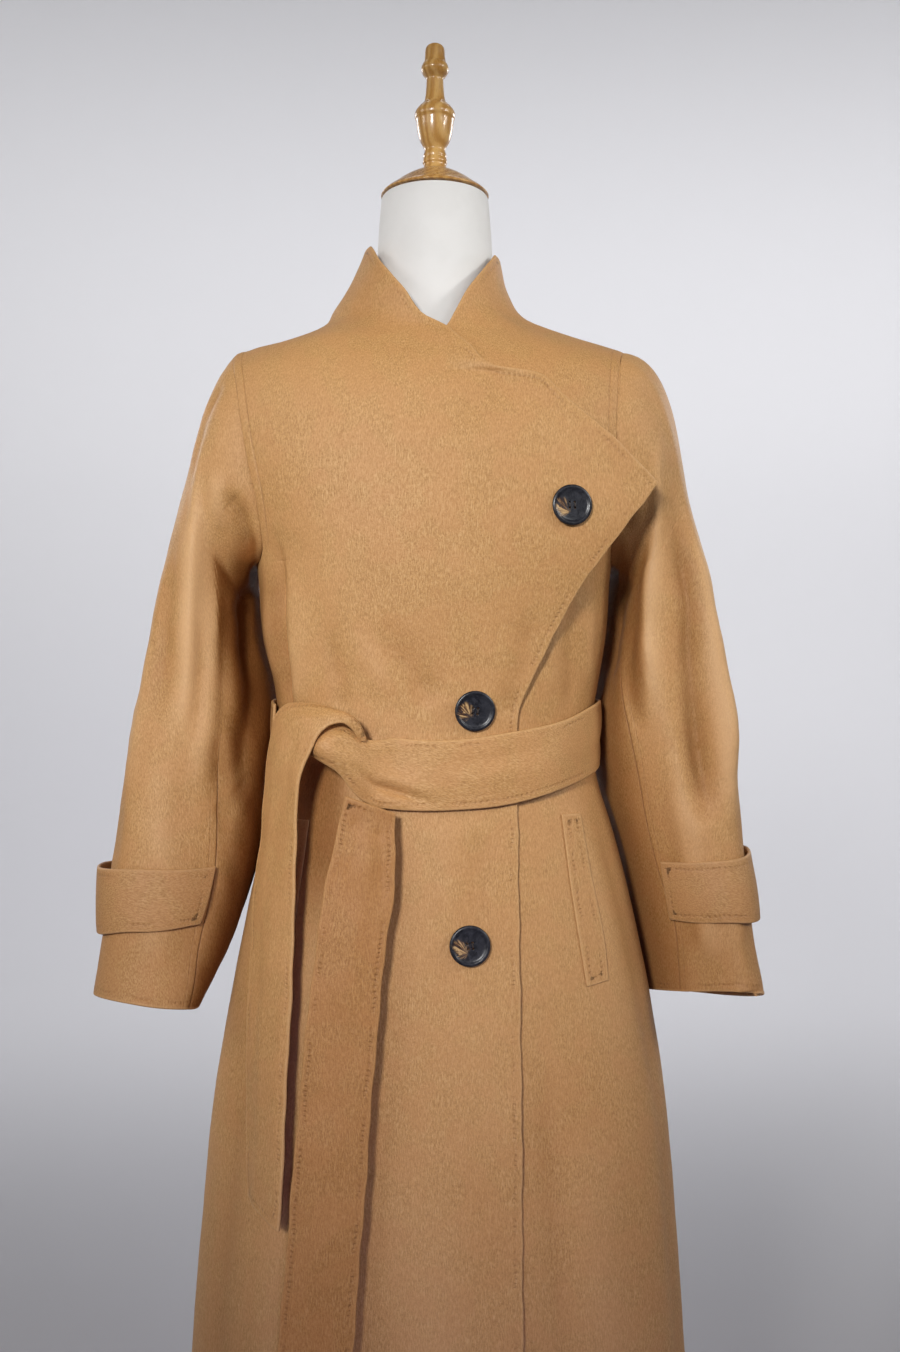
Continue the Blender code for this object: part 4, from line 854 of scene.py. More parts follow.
def underarm_rows(heights):
    """More rows where the armhole's curve runs almost level."""
    heights = np.asarray(heights, float)
    more = UNDERARM_Z + 0.0150 * (np.arange(17) / 16.0) ** 2
    keep = heights[(heights < UNDERARM_Z - 0.0010) | (heights > UNDERARM_Z + 0.0162)]
    return np.sort(np.concatenate([keep, more]))


def past_armhole(edge):
    """The side seam's own line, carried straight on past the armhole."""
    return lambda z: edge(min(z, UNDERARM_Z - 0.001))


def body_panel(name, heights, left, right, cols, out, mat, lap=False, height_at=None,
               free=(), seam=(), welt=None, extra=None, floats=None, plain=(None, None), reach=0.70):
    """Fine wall on the body between two edges. free and seam name the grid's
    sides: low, top, left, right. plain holds an edge's line without its
    armhole: only the columns within reach of that edge follow the armhole."""
    t0 = np.array([float(left(z)) for z in heights])
    t1 = np.array([float(right(z)) for z in heights])
    b0 = t0 if plain[0] is None else np.array([float(plain[0](z)) for z in heights])
    b1 = t1 if plain[1] is None else np.array([float(plain[1](z)) for z in heights])
    t = b0[:, None] + (b1 - b0)[:, None] * cols[None, :]
    t = t + (t0 - b0)[:, None] * np.clip(1 - cols / reach, 0, 1)[None, :] ** 2
    t = t + (t1 - b1)[:, None] * np.clip(1 - (1 - cols) / reach, 0, 1)[None, :] ** 2
    z = np.repeat(np.asarray(heights)[:, None], len(cols), axis=1)
    if height_at is not None:
        z = height_at(t, z)
    base = ring_point(t, z, lap)
    nrm = ring_normal(t, z, lap)
    drape = body_drape(base)
    d = out(t, z) - CLOTH / 2 + drape
    mid = base + nrm * d[..., None]
    if extra is not None:
        mid = extra(mid, nrm, t, z)
    # painted shade in the hollows of the folds and a painted highlight on their crests
    floats = dict(floats or {})
    floats["painted_shade"] = np.maximum(floats.get("painted_shade", 0.0), 0.26 * np.clip(-drape / 0.0060, 0.0, 1.0))
    floats["painted_highlight"] = 0.45 * np.clip(drape / 0.0050, 0.0, 1.0)
    lines = [] if welt is None else welt(mid)
    for pts in lines:
        dist, _ = nearest(mid, pts)
        on = ease((mid[..., 2] - pts[:, 2].min() - 0.004) / 0.022)
        mid = mid + nrm * (welt_rise(dist) * on)[..., None]
        floats = dict(floats or {})
        floats["welt"] = np.minimum(floats.get("welt", 0.25), dist)
        floats["welt_on"] = np.maximum(floats.get("welt_on", 0.0), np.where(dist < 0.03, on, 0.0))
    face = normals_of(mid)
    face *= np.sign(np.einsum("ijk,ijk->ij", face, nrm))[..., None]
    sides = {"low": mid[0], "top": mid[-1], "left": mid[:, 0], "right": mid[:, -1]}

    def line(key):
        if isinstance(key, tuple):
            side, test = key
            pts = sides[side]
            return pts[test(pts)]
        return sides[key]

    return finish_cloth(name, mid, face, mat, [line(k) for k in free],
                        [line(k) for k in seam], floats=floats)


# The lapel's lower edge, straight up to its point.
LAPEL_LOWER_COLUMNS = ("z", "x")
LAPEL_LOWER = (
    (1.1640, 0.1475),
    (1.1770, 0.1568),
    (1.1912, 0.1671),
    (1.2045, 0.1774),
    (1.2158, 0.1872),
    (1.2208, 0.1908),
    (1.2268, 0.1952),
    (1.2337, 0.2002),
)


def lap_edge_fine(z):
    """Edge of the right front, with a true corner at the lapel's point."""
    z = np.asarray(z, float)
    tip = LAP_ROWS[0]
    low = [r for r in LAP_EDGE if r[0] < LAPEL_LOWER[0][0]] + list(LAPEL_LOWER)
    high = [r for r in LAP_EDGE if r[0] >= tip]
    x = np.where(z <= tip, read(low, 1, z), read(high, 1, z))
    # the corner is a little blunt
    x = x - 0.0012 * np.exp(-((z - tip) / 0.0016) ** 2)
    return x + 0.00045 * np.sin(z * 91.0) + 0.00025 * np.sin(z * 233.0 + 1.0)


def under_edge_fine(z):
    return read(UNDER_EDGE, 1, z) + 0.0004 * np.sin(np.asarray(z) * 97.0)


def heights_between(low, high, step, first="free", last="free", cluster=()):
    return low + spread(high - low, step, first, last, [c - low for c in cluster])


def make_front_right(mat):
    heights = underarm_rows(heights_between(HEM_Z, COLLAR_TOP_Z, 0.0046, "free", "free",
                                            (LAP_ROWS[0], LAP_ROWS[2])))

    def left(z):
        return front_side_gap(-1)(z)

    def right(z):
        return float(angles_at(lap_edge_fine(z), z, True, True))

    def lift(mid, nrm, t, z):
        # the lapel's corner and its lower edge stand a little clear
        x = mid[..., 0]
        edge = lap_edge_fine(z)
        near = np.exp(-((edge - x) / 0.035) ** 2)
        corner = np.exp(-((z - LAP_ROWS[0]) / 0.055) ** 2)
        notch = np.exp(-((z - 1.345) / 0.035) ** 2)
        waist = np.exp(-((z - 1.065) / 0.045) ** 2)
        neck = ease((z - 1.385) / 0.05)
        slim = np.exp(-((edge - x) / 0.022) ** 2)
        slant = ease((z - 1.245) / 0.03) * (1 - ease((z - 1.40) / 0.06))
        d = 0.0026 * near * corner + 0.0012 * near * notch + 0.0028 * near * waist + 0.0022 * near * neck
        d = d + 0.0030 * slim * slant
        low = ease((0.93 - z) / 0.25)
        d = d + slim * low * (0.0016 + 0.0008 * np.sin(z * 41.0))
        # painted shade on the side panel under the arm
        shade["painted_shade"] = 0.42 * (ease((-np.degrees(t) - 49.0) / 9.0) * ease((1.172 - z) / 0.035)
                               * ease((z - 1.000) / 0.030))
        # and a painted shadow under the knot, between the two hanging ends
        shade["painted_shade"] = shade["painted_shade"] + 0.74 * (np.exp(-((x + 0.098) / 0.021) ** 4) * ease((0.996 - z) / 0.020)
                                              * ease((z - 0.800) / 0.110))
        return mid + nrm * d[..., None]

    shade = {}
    return body_panel("front_right_cloth", heights, left, right,
                      fractions(0.40, 0.0043, "welt", "free"), lap_out, mat, lap=True,
                      free=("low", "right", "top"), seam=("left",),
                      welt=lambda m: [m[:, 0][(m[:, 0, 2] > UNDERARM_Z) & (m[:, 0, 2] < SHOULDER_Z + 0.002)]],
                      extra=lift, floats=shade, plain=(past_armhole(left), None))


def make_front_left(mat):
    heights = underarm_rows(heights_between(HEM_Z, LEFT_TIP_Z, 0.0048, "free", "free"))

    def left(z):
        return float(angles_at(under_edge_fine(z), z, True))

    def lean(mid, nrm, t, z):
        x = mid[..., 0]
        near = np.exp(-((x - under_edge_fine(z)) / 0.03) ** 2)
        neck = ease((z - 1.375) / 0.05)
        return mid + nrm * (0.0012 * near * neck)[..., None]

    return body_panel("front_left_cloth", heights, left, front_side_gap(1),
                      fractions(0.30, 0.0045, "free", "welt"), flat_out, mat,
                      free=("low", "left", "top"), seam=("right",),
                      welt=lambda m: [m[:, -1][(m[:, -1, 2] > UNDERARM_Z) & (m[:, -1, 2] < SHOULDER_Z + 0.002)]],
                      extra=lean, plain=(None, past_armhole(front_side_gap(1))), reach=0.75)


def make_coat_back(mat):
    heights = underarm_rows(heights_between(HEM_Z, NECK_POINT_Z, 0.0050, "free", "seam"))

    def height_at(t, z):
        f = np.clip((z - SHOULDER_Z) / (NECK_POINT_Z - SHOULDER_Z), 0, 1)
        top = SHOULDER_Z + (neck_seam_z(t) - GAP / 2 - SHOULDER_Z) * f
        return np.where(z > SHOULDER_Z, top, z)

    def line(m):
        return [m[:, k][(m[:, k, 2] > UNDERARM_Z) & (m[:, k, 2] < SHOULDER_Z + 0.002)] for k in (0, -1)]

    def last(z):
        return back_side_gap(-1)(z) + 2 * math.pi

    return body_panel("coat_back_cloth", heights, back_side_gap(1), last,
                      fractions(0.50, 0.0049, "welt", "welt"), flat_out, mat,
                      height_at=height_at, free=("low",), seam=("left", "right", "top"),
                      welt=line, plain=(past_armhole(back_side_gap(1)), past_armhole(last)), reach=0.50)


def make_collar_back(mat):
    heights = heights_between(NECK_POINT_Z, COLLAR_TOP_Z, 0.0034, "seam", "free")

    def height_at(t, z):
        f = (z - NECK_POINT_Z) / (COLLAR_TOP_Z - NECK_POINT_Z)
        low = neck_seam_z(t) + GAP / 2
        return low + (COLLAR_TOP_Z - low) * f

    return body_panel("collar_back_cloth", heights,
                      lambda z: math.pi / 2 + angular(GAP / 2, math.pi / 2, z),
                      lambda z: 1.5 * math.pi - angular(GAP / 2, math.pi / 2, z),
                      fractions(0.22, 0.0036, "seam", "seam"), flat_out, mat,
                      height_at=height_at, free=("top",), seam=("left", "right", "low"))

# ----------------------------------------------------------------- sleeves


def sleeve_rings(table, side, row, turn):
    """Points of a sleeve's outer face for arrays of rows and turns."""
    row, turn = np.broadcast_arrays(np.asarray(row, float), np.asarray(turn, float))
    t = np.radians(turn)
    keys = np.arange(len(table), dtype=float)[:, None]
    rows = np.hstack([keys, np.asarray(table, float)])
    (z_out, x_out, y_out, z_in, x_in, y_in, front, back, sq) = (
        read(rows, i + 1, row) for i in range(9))
    rise = read(rows, 12, row)
    c, s = np.cos(t), np.sin(t)
    k = (np.abs(s) ** sq + np.abs(c) ** sq) ** (-1.0 / sq)
    mx, my, mz = side * (x_out + x_in) / 2, (y_out + y_in) / 2, (z_out + z_in) / 2
    hx, hy, hz = side * (x_out - x_in) / 2, (y_out - y_in) / 2, (z_out - z_in) / 2
    depth = np.where(s >= 0, front, back)
    return np.stack([mx + hx * c * k, my + hy * c * k - depth * s * k,
                     mz + hz * c * k + rise * s * k], axis=-1)


def remap_turns(turn, shared, seam):
    """Slides the shared turns so that the seam's own one lands on the seam."""
    a = np.abs(turn)
    s = np.where(turn >= 0, 1.0, -1.0)
    return s * np.where(a <= shared, a * seam / shared,
                        seam + (a - shared) * (180.0 - seam) / (180.0 - shared))


def sleeve_surface(table, side, shared_f, turns, steps, rows):
    """Outer face of a whole sleeve: the curve out of the armhole in steps, and
    then its rings. turns run once round it, without the first one again."""
    shared_b = 108
    pts, nrm = [], []
    for a in turns:
        front = a >= 0
        z = arm_z(abs(a))
        t = side_angle(z, side, front)
        if abs(a) < 1e-6 or abs(abs(a) - 180) < 1e-6:
            t = side * math.pi / 2
        pts.append(ring_point(t, z))
        nrm.append(ring_normal(t, z))
    pts, nrm = np.array(pts), np.array(nrm)
    along = np.roll(pts, -1, axis=0) - np.roll(pts, 1, axis=0)
    away = np.cross(along, nrm)
    away /= np.linalg.norm(away, axis=1, keepdims=True)
    flip = np.sign(np.einsum("ij,ij->i", away, pts.mean(axis=0) - pts))
    away *= np.where(flip == 0, 1, flip)[:, None]
    keys = np.arange(len(table), dtype=float)[:, None]
    full = np.hstack([keys, np.asarray(table, float)])

    def ring_row(r):
        sf, sb = float(read(full, 10, r)), float(read(full, 11, r))
        tt = np.where(turns >= 0, remap_turns(turns, shared_f, sf),
                      remap_turns(turns, shared_b, sb))
        return sleeve_rings(table, side, r, tt)

    first, second = ring_row(0.0), ring_row(0.35)
    heading = second - first
    heading /= np.linalg.norm(heading, axis=1, keepdims=True)
    k = 1 if side < 0 else 2
    lift = np.radians(read(SLEEVE_LIFT, k, np.abs(turns)))
    reach = read(SLEEVE_LIFT, k + 2, np.abs(turns))
    begin = pts + away * GAP * 0.6
    leave = away * np.cos(lift)[:, None] + nrm * np.sin(lift)[:, None]
    b1 = begin + leave * reach[:, None]
    b2 = first - heading * (reach * 1.2)[:, None]
    outer = []
    for s in steps:
        outer.append((1 - s) ** 3 * begin + 3 * (1 - s) ** 2 * s * b1
                     + 3 * (1 - s) * s**2 * b2 + s**3 * first)
    for r in rows:
        outer.append(ring_row(r))
    return np.array(outer), nrm, away, lift


def body_half(side, y, z):
    """Half width of the body's surface at the depth y and the height z."""
    ts = side * np.radians(np.linspace(50.0, 150.0, 41))
    p = ring_point(ts, z[..., None])
    k = np.clip((p[..., 1] < y[..., None]).sum(axis=-1), 1, len(ts) - 1)[..., None]
    y0 = np.take_along_axis(p[..., 1], k - 1, axis=-1)[..., 0]
    y1 = np.take_along_axis(p[..., 1], k, axis=-1)[..., 0]
    x0 = np.take_along_axis(p[..., 0], k - 1, axis=-1)[..., 0]
    x1 = np.take_along_axis(p[..., 0], k, axis=-1)[..., 0]
    w = np.clip((y - y0) / np.maximum(y1 - y0, 1e-9), 0.0, 1.0)
    return side * (x0 + (x1 - x0) * w)


# How far the sleeve's inner back is pressed towards the body: row, right, left.
PRESS_COLUMNS = ("row", "right", "left")
PRESS = (
    (-0.70, 0.000, 0.000),
    (-0.40, 0.006, 0.011),
    (0.00, 0.012, 0.018),
    (1.00, 0.012, 0.016),
    (2.00, 0.010, 0.012),
    (2.80, 0.007, 0.011),
    (3.60, 0.003, 0.009),
    (4.60, 0.000, 0.004),
    (5.40, 0.000, 0.000),
)


def pressed_in(outer, side, turns, level):
    """The sleeve with the soft bulge of its inner back, clear of the body."""
    around = (np.abs(np.where(turns < 0, turns + 360.0, turns) - 196.0) / 34.0)
    amount = read(PRESS, 1 if side < 0 else 2, level)[:, None] * np.exp(-around ** 2)[None, :]
    amount = np.where(level[:, None] > -0.70, amount, 0.0)
    x = outer[..., 0] * side
    room = np.maximum(x - body_half(side, outer[..., 1], outer[..., 2]) - 0.0062, 0.0)
    out = outer.copy()
    out[..., 0] = side * (x - np.minimum(amount, room * 0.92))
    return out


# Folds of the sleeves: knots are (turn, row), where a row under 0 is on the
# curve out of the armhole, -1 at its seam. Then the widths of the flank
# towards the front and of the one away from it, the depth, and the fades.
SLEEVE_FOLD_COLUMNS = ("knots", "left", "right", "depth", "fade_top", "fade_low")
FOLDS_RIGHT = (
    # the long soft ridge down its front, with a finer lit line on it
    (((40, -0.70), (58, -0.46), (74, -0.08), (80, 1.2), (80, 2.5), (82, 3.6)), 0.0170, 0.0150, 0.0058, 0.25, 0.35),
    (((36, -0.72), (50, -0.54), (58, -0.46), (74, -0.08), (78, 1.2), (78, 2.5), (80, 3.4)), 0.0060, 0.0060, 0.0032, 0.15, 0.40),
    (((98, -0.25), (106, 0.55), (98, 2.0), (96, 3.35), (94, 4.6)), 0.0100, 0.0090, 0.0042, 0.30, 0.40),
    # it rolls over the armpit and dives in beside the body
    (((104, -0.55), (112, -0.67), (122, -0.71), (136, -0.67), (154, -0.60)), 0.0070, 0.0090, -0.0072, 0.25, 0.30),
    (((84, -0.62), (100, -0.45), (114, -0.36)), 0.0090, 0.0090, 0.0030, 0.30, 0.30),
    (((158, -0.35), (154, 0.45), (146, 1.3), (142, 2.2), (132, 3.4), (128, 4.4)), 0.0180, 0.0160, -0.0090, 0.15, 0.35),
    (((40, -0.90), (48, -0.55), (56, -0.15)), 0.0080, 0.0080, -0.0030, 0.20, 0.45),
    (((40, 0.1), (50, 1.0), (55, 2.2), (54, 3.4)), 0.0140, 0.0130, -0.0058, 0.30, 0.40),
    (((90, 0.8), (90, 1.6), (89, 2.6), (90, 3.4)), 0.0060, 0.0060, -0.0028, 0.35, 0.35),
    (((104, 2.9), (110, 3.8), (118, 4.8)), 0.0110, 0.0130, -0.0030, 0.40, 0.35),
    (((66, 3.4), (70, 4.4), (74, 5.4), (76, 6.6)), 0.0150, 0.0150, 0.0024, 0.35, 0.20),
    (((30, 3.8), (26, 4.6), (30, 5.4)), 0.0140, 0.0120, -0.0024, 0.35, 0.30),
    (((10, 2.4), (16, 3.2), (30, 3.9)), 0.0120, 0.0130, 0.0022, 0.40, 0.40),
    # behind
    (((-60, -0.6), (-72, 0.2), (-84, 1.2), (-88, 2.4)), 0.0160, 0.0150, -0.0042, 0.30, 0.40),
    (((-34, -0.4), (-40, 0.5), (-48, 1.6)), 0.0140, 0.0160, 0.0030, 0.35, 0.40),
    (((-120, -0.3), (-118, 0.8), (-112, 1.9)), 0.0120, 0.0120, -0.0036, 0.25, 0.40),
    (((-96, 2.2), (-84, 2.9), (-66, 3.4), (-46, 3.6)), 0.0110, 0.0130, -0.0040, 0.35, 0.40),
    (((-102, 3.0), (-88, 3.6), (-70, 4.0)), 0.0120, 0.0110, 0.0028, 0.35, 0.40),
    (((-60, 4.2), (-64, 5.2), (-66, 6.4)), 0.0150, 0.0140, -0.0020, 0.35, 0.20),
)
FOLDS_LEFT = (
    # the ridge, its lit line, and the deep hollow beside it down to the strap
    (((66, -0.60), (88, -0.2), (102, 0.5), (104, 1.3), (104, 2.3), (100, 3.2)), 0.0120, 0.0130, 0.0060, 0.25, 0.40),
    (((40, -0.60), (60, -0.52), (76, -0.46), (92, -0.15), (100, 0.2), (100, 1.25), (104, 2.35)), 0.0060, 0.0060, 0.0034, 0.15, 0.40),
    (((34, -0.54), (50, -0.2), (58, 0.2), (60, 1.05), (65, 1.6), (73, 2.55), (76, 3.45), (78, 4.5)), 0.0130, 0.0105, -0.0122, 0.30, 0.20),
    (((24, 0.2), (30, 1.3), (36, 2.4), (40, 3.6), (44, 4.5)), 0.0150, 0.0140, 0.0050, 0.30, 0.30),
    (((158, -0.6), (158, 0.3), (154, 1.3), (150, 2.4)), 0.0140, 0.0130, -0.0070, 0.15, 0.45),
    (((112, 0.4), (120, 1.2), (124, 2.2), (120, 3.2)), 0.0080, 0.0080, -0.0024, 0.35, 0.40),
    (((98, 3.2), (100, 4.2), (98, 5.2), (96, 6.6)), 0.0130, 0.0130, 0.0030, 0.35, 0.15),
    (((40, 5.2), (42, 6.0), (42, 7.0)), 0.0120, 0.0120, -0.0030, 0.35, 0.02),
    (((60, 5.3), (62, 6.0), (64, 7.0)), 0.0090, 0.0120, 0.0024, 0.30, 0.02),
    (((40, -0.85), (48, -0.6), (54, -0.35)), 0.0110, 0.0110, -0.0014, 0.30, 0.40),
    (((104, -0.75), (118, -0.80), (136, -0.84)), 0.0080, 0.0080, -0.0040, 0.30, 0.30),
    # behind
    (((-56, -0.6), (-68, 0.2), (-80, 1.2), (-84, 2.4)), 0.0150, 0.0160, -0.0042, 0.30, 0.40),
    (((-30, -0.4), (-36, 0.5), (-44, 1.7)), 0.0150, 0.0150, 0.0030, 0.35, 0.40),
    (((-122, -0.3), (-120, 0.7), (-114, 1.8)), 0.0120, 0.0120, -0.0036, 0.25, 0.40),
    (((-98, 2.0), (-84, 2.7), (-64, 3.3), (-42, 3.5)), 0.0120, 0.0120, -0.0042, 0.35, 0.40),
    (((-104, 2.9), (-90, 3.5), (-68, 4.1)), 0.0110, 0.0120, 0.0028, 0.35, 0.40),
    (((-62, 4.3), (-66, 5.3), (-66, 6.5)), 0.0140, 0.0150, -0.0020, 0.35, 0.20),
)


# Where the front of a sleeve stands forward, straight towards the front: the
# same columns, with the depth over 0 towards the front.
FORWARD_RIGHT = (
    (((22, 0.4), (28, 1.4), (30, 2.6), (32, 3.8), (34, 4.8)), 0.0150, 0.0130, 0.0050, 0.35, 0.35),
)
FORWARD_LEFT = (
    (((22, -0.3), (30, 0.6), (34, 1.6), (38, 2.6), (42, 3.6), (44, 4.8)), 0.0170, 0.0120, 0.0130, 0.30, 0.25),
    (((96, 2.4), (92, 3.4), (90, 4.6), (90, 5.6)), 0.0150, 0.0150, 0.0040, 0.40, 0.35),
)


def make_sleeve(which, side, table, shared_f, folds, mats):
    """Upper and under sleeve, parted at the front and the back seam."""
    f, b = float(shared_f), -108.0
    upper_n, under_n = 58, 46
    upper = b + (f - b) * fractions(0.205, 0.0037, "seam", "seam")
    under = f + (360.0 + b - f) * fractions(0.165, 0.0037, "seam", "seam")
    ring = np.concatenate([upper, under[1:-1]])
    turns = np.where(ring > 180.0, ring - 360.0, ring)
    cap = 0.085
    steps = spread(cap, 0.0040, "seam", "free") / cap
    steps = steps[:-1]
    rows = 7.0 * spread(0.455, 0.0040, "seam", "free") / 0.455
    outer, nrm0, away, lift = sleeve_surface(table, side, shared_f, turns, steps, rows)
    outer = pressed_in(outer, side, turns, np.concatenate([steps - 1.0, rows]))
    face = normals_of(outer, wrap=True)
    middle = outer.mean(axis=1, keepdims=True)
    if np.mean(np.einsum("ijk,ijk->ij", face, outer - middle)) < 0:
        face = -face
    turned = np.maximum(lift, 0.0)
    face[0] = nrm0 * np.cos(turned)[:, None] - away * np.sin(turned)[:, None]
    face[1] = face[0] * 0.5 + face[1] * 0.5
    face /= np.linalg.norm(face, axis=-1, keepdims=True)

    # rows as numbers for the fold lines
    level = np.concatenate([steps - 1.0, rows])
    order = np.argsort(turns)

    def at(turn, row):
        """Point of the surface at a turn and a row."""
        j = np.interp(row, level, np.arange(len(level)))
        j0 = int(min(j, len(level) - 2))
        out = []
        for k in (j0, j0 + 1):
            out.append([np.interp(turn, turns[order], outer[k, order, c], period=360.0)
                        for c in range(3)])
        w = j - j0
        return np.array(out[0]) * (1 - w) + np.array(out[1]) * w

    move = np.zeros(outer.shape[:2])
    for i, (knots, fl, fr, depth, top, low) in enumerate(folds):
        flat, _ = smooth_curve([(a * 0.01, r) for a, r in knots], 70)
        line = np.array([at(a * 100.0, r) for a, r in flat])
        move += crease_line(outer, line, fl, fr, depth, (top, low), i + 2, face)
    seam_keep = ease(np.concatenate([steps * cap, np.full(len(rows), 1.0)]) / 0.016)
    move *= seam_keep[:, None]
    move = move + wave(outer, 11 if side < 0 else 12, 0.085, (1, 1, 1.8)) * 0.0008 * seam_keep[:, None]
    move = move + wave(outer, 21 if side < 0 else 22, 0.035, (1, 1, 1.5)) * 0.0003 * seam_keep[:, None]
    # the hem waves a little
    down = ease((level - 5.6) / 1.4)[:, None]
    move = move + 0.0012 * down * np.sin(np.radians(turns)[None, :] * 3.0 + 0.7)
    outer = outer + face * move[..., None]
    ahead = np.zeros(outer.shape[:2])
    for i, (knots, fl, fr, depth, top, low) in enumerate(FORWARD_RIGHT if side < 0 else FORWARD_LEFT):
        flat, _ = smooth_curve([(a * 0.01, r) for a, r in knots], 70)
        line = np.array([at(a * 100.0, r) for a, r in flat])
        ahead += crease_line(outer, line, fl, fr, depth, (top, low), i + 5, face)
    outer[..., 1] -= ahead * seam_keep[:, None] * np.clip(-face[..., 1] * 1.6 + 0.25, 0.0, 1.0)
    drop = 0.0012 * ease((level - 6.2) / 0.8)[:, None] * np.sin(np.radians(turns)[None, :] * 2.0 - 0.5 * side)
    outer[..., 2] += drop

    face = normals_of(outer, wrap=True)
    if np.mean(np.einsum("ijk,ijk->ij", face, outer - outer.mean(axis=1, keepdims=True))) < 0:
        face = -face
    face[0] = nrm0 * np.cos(turned)[:, None] - away * np.sin(turned)[:, None]
    mid = outer - face * CLOTH / 2

    # painted shade on the sleeve's inner side, where it turns in to the body
    whole = np.where(turns < 0, turns + 360.0, turns)[None, :]
    inward = np.maximum(ease((face[..., 0] * -side - 0.50) / 0.42) * ease((whole - 98.0) / 10.0),
                        ease((whole - 120.0) / 28.0))
    painted_shade = inward * (1.0 - ease((whole - 222.0) / 30.0)) * ease((level[:, None] + 0.98) / 0.22)
    if side > 0:
        painted_shade = painted_shade * 0.62
    # painted shade deepening down the forearm towards the cuff
    painted_shade = np.maximum(painted_shade, 0.26 * ease((level[:, None] - 4.2) / 1.8))
    # painted highlight on the crests of the folds, and painted shade in their hollows
    painted_shade = np.maximum(painted_shade, 0.42 * np.clip(-move / 0.010, 0.0, 1.0))
    painted_highlight = np.clip((move + 0.55 * ahead) / 0.0062, 0.0, 1.0) * (1.0 - inward)

    n_up = len(upper)
    columns = {"upper": list(range(n_up)), "under": list(range(n_up - 1, len(ring))) + [0]}
    made = []
    for key, mat in zip(("upper", "under"), mats):
        cols = columns[key]
        m, nn = mid[:, cols].copy(), face[:, cols].copy()
        apart = GAP * (0.15 + 0.35 * ease((level - (2.4 if side < 0 else 0.6)) / 1.4))[:, None]
        for lo_c, hi_c in ((0, 1), (-1, -2)):
            a = m[:, hi_c] - m[:, lo_c]
            m[:, lo_c] += a / np.linalg.norm(a, axis=1, keepdims=True) * apart
        # the felled seams stand up a little on the upper sleeve, lower down
        extra_floats = {"painted_shade": painted_shade[:, cols], "painted_highlight": painted_highlight[:, cols]}
        shown_from = 3.0 if side < 0 else 1.0
        low_on = ease((level - shown_from) / 1.4)[:, None]
        if key == "upper":
            welt = np.full(m.shape[:2], 0.25)
            for c in (0, -1):
                dist, _ = nearest(m, m[:, c].copy())
                m = m + nn * (welt_rise(dist * 1.25) * 0.8 * low_on)[..., None]
                welt = np.minimum(welt, dist * 1.25)
            extra_floats.update({"welt": welt, "welt_on": np.repeat(0.7 * low_on, len(cols), axis=1)})
        shown = np.repeat(ease((level - shown_from) / 1.2)[:, None], len(cols), axis=1)
        shown = np.where(np.arange(len(level))[:, None] < 4, np.maximum(0.40, shown), shown)
        made.append(finish_cloth(f"sleeve_{key}_{which}_cloth", m, nn, mat, [m[-1]],
                                 [m[0], m[:, 0], m[:, -1]], seam_depth=0.0008,
                                 floats=extra_floats, seam_on=shown))
    return made


# ------------------------------------------------------------- cuff straps


def make_strap(name, which, side, table, edges, mat):
    keys = np.arange(len(table), dtype=float)[:, None]
    rows = np.hstack([keys, np.asarray(table, float)])
    fine = np.linspace(4.0, 7.0, 121)
    level = read(rows, 1, fine)
    middle = float(np.interp(0.855, level[::-1], fine[::-1]))
    length, width = 0.205, 0.060
    u = spread(length, 0.0030, "free", "free") / length
    v = spread(width, 0.0028, "free", "free") / width
    a0 = 3 - float(read(rows, 11, middle))
    a1 = float(read(rows, 10, middle)) - 3
    turns = a0 + (a1 - a0) * u
    tt, ff = np.meshgrid(turns, v)
    low, top, s0, s1 = (read(edges, i, tt) for i in (1, 2, 3, 4))
    z = low + (top - low) * ff
    # both long edges wander a little
    z = z + 0.0007 * np.sin(tt * 0.11 + 1.0) * (1 - ff) + 0.0006 * np.sin(tt * 0.09 + 2.0) * ff
    r = np.interp(z, level[::-1], fine[::-1])
    p = sleeve_rings(table, side, r, tt)
    q = sleeve_rings(table, side, r, tt + 1.0)
    e = q - p
    n = np.stack([e[..., 1], -e[..., 0], np.zeros_like(e[..., 0])], axis=-1) * -side
    n /= np.linalg.norm(n, axis=-1, keepdims=True)
    centre = (sleeve_rings(table, side, r, np.zeros_like(tt)) + sleeve_rings(table, side, r, np.full_like(tt, 180.0))) / 2
    flip = np.sign(np.einsum("ijk,ijk->ij", n, p - centre))
    n *= flip[..., None]
    stand = s0 + (s1 - s0) * ff + 0.0012
    # it bellies out along its length and rolls over at its long edges
    stand = stand + 0.0010 * np.sin(np.pi * ff) - 0.0006 * np.exp(-(ff / 0.10) ** 2)
    stand = stand + wave(p, 31 if side < 0 else 32, 0.05) * 0.0005
    mid = p + n * (stand + CLOTH / 2)[..., None]
    return finish_cloth(name, mid, n, mat, [mid[0], mid[-1], mid[:, 0], mid[:, -1]], [])

# -------------------------------------------------------------------- belt
# The belt is one long strip. Rows give its two long edges: for the twist and
# the band the upper edge comes first, for the hanging ends the edge to the
# wearer's right.
KNOT_COLUMNS = ("z_a", "x_a", "y_a", "z_b", "x_b", "y_b")
TWIST = (
    (0.9996, -0.1090, -0.1215, 0.9905, -0.1085, -0.1235),
    (1.0080, -0.1010, -0.1225, 0.9860, -0.1000, -0.1275),
    (1.0150, -0.0915, -0.1225, 0.9806, -0.0905, -0.1290),
    (1.0165, -0.0820, -0.1220, 0.9742, -0.0820, -0.1285),
    (1.0135, -0.0735, -0.1215, 0.9632, -0.0738, -0.1270),
    (1.0075, -0.0665, -0.1205, 0.9545, -0.0668, -0.1250),
    (1.0040, -0.0590, -0.1185, 0.9490, -0.0598, -0.1220),
    (1.0030, -0.0500, -0.1170, 0.9448, -0.0505, -0.1195),
)
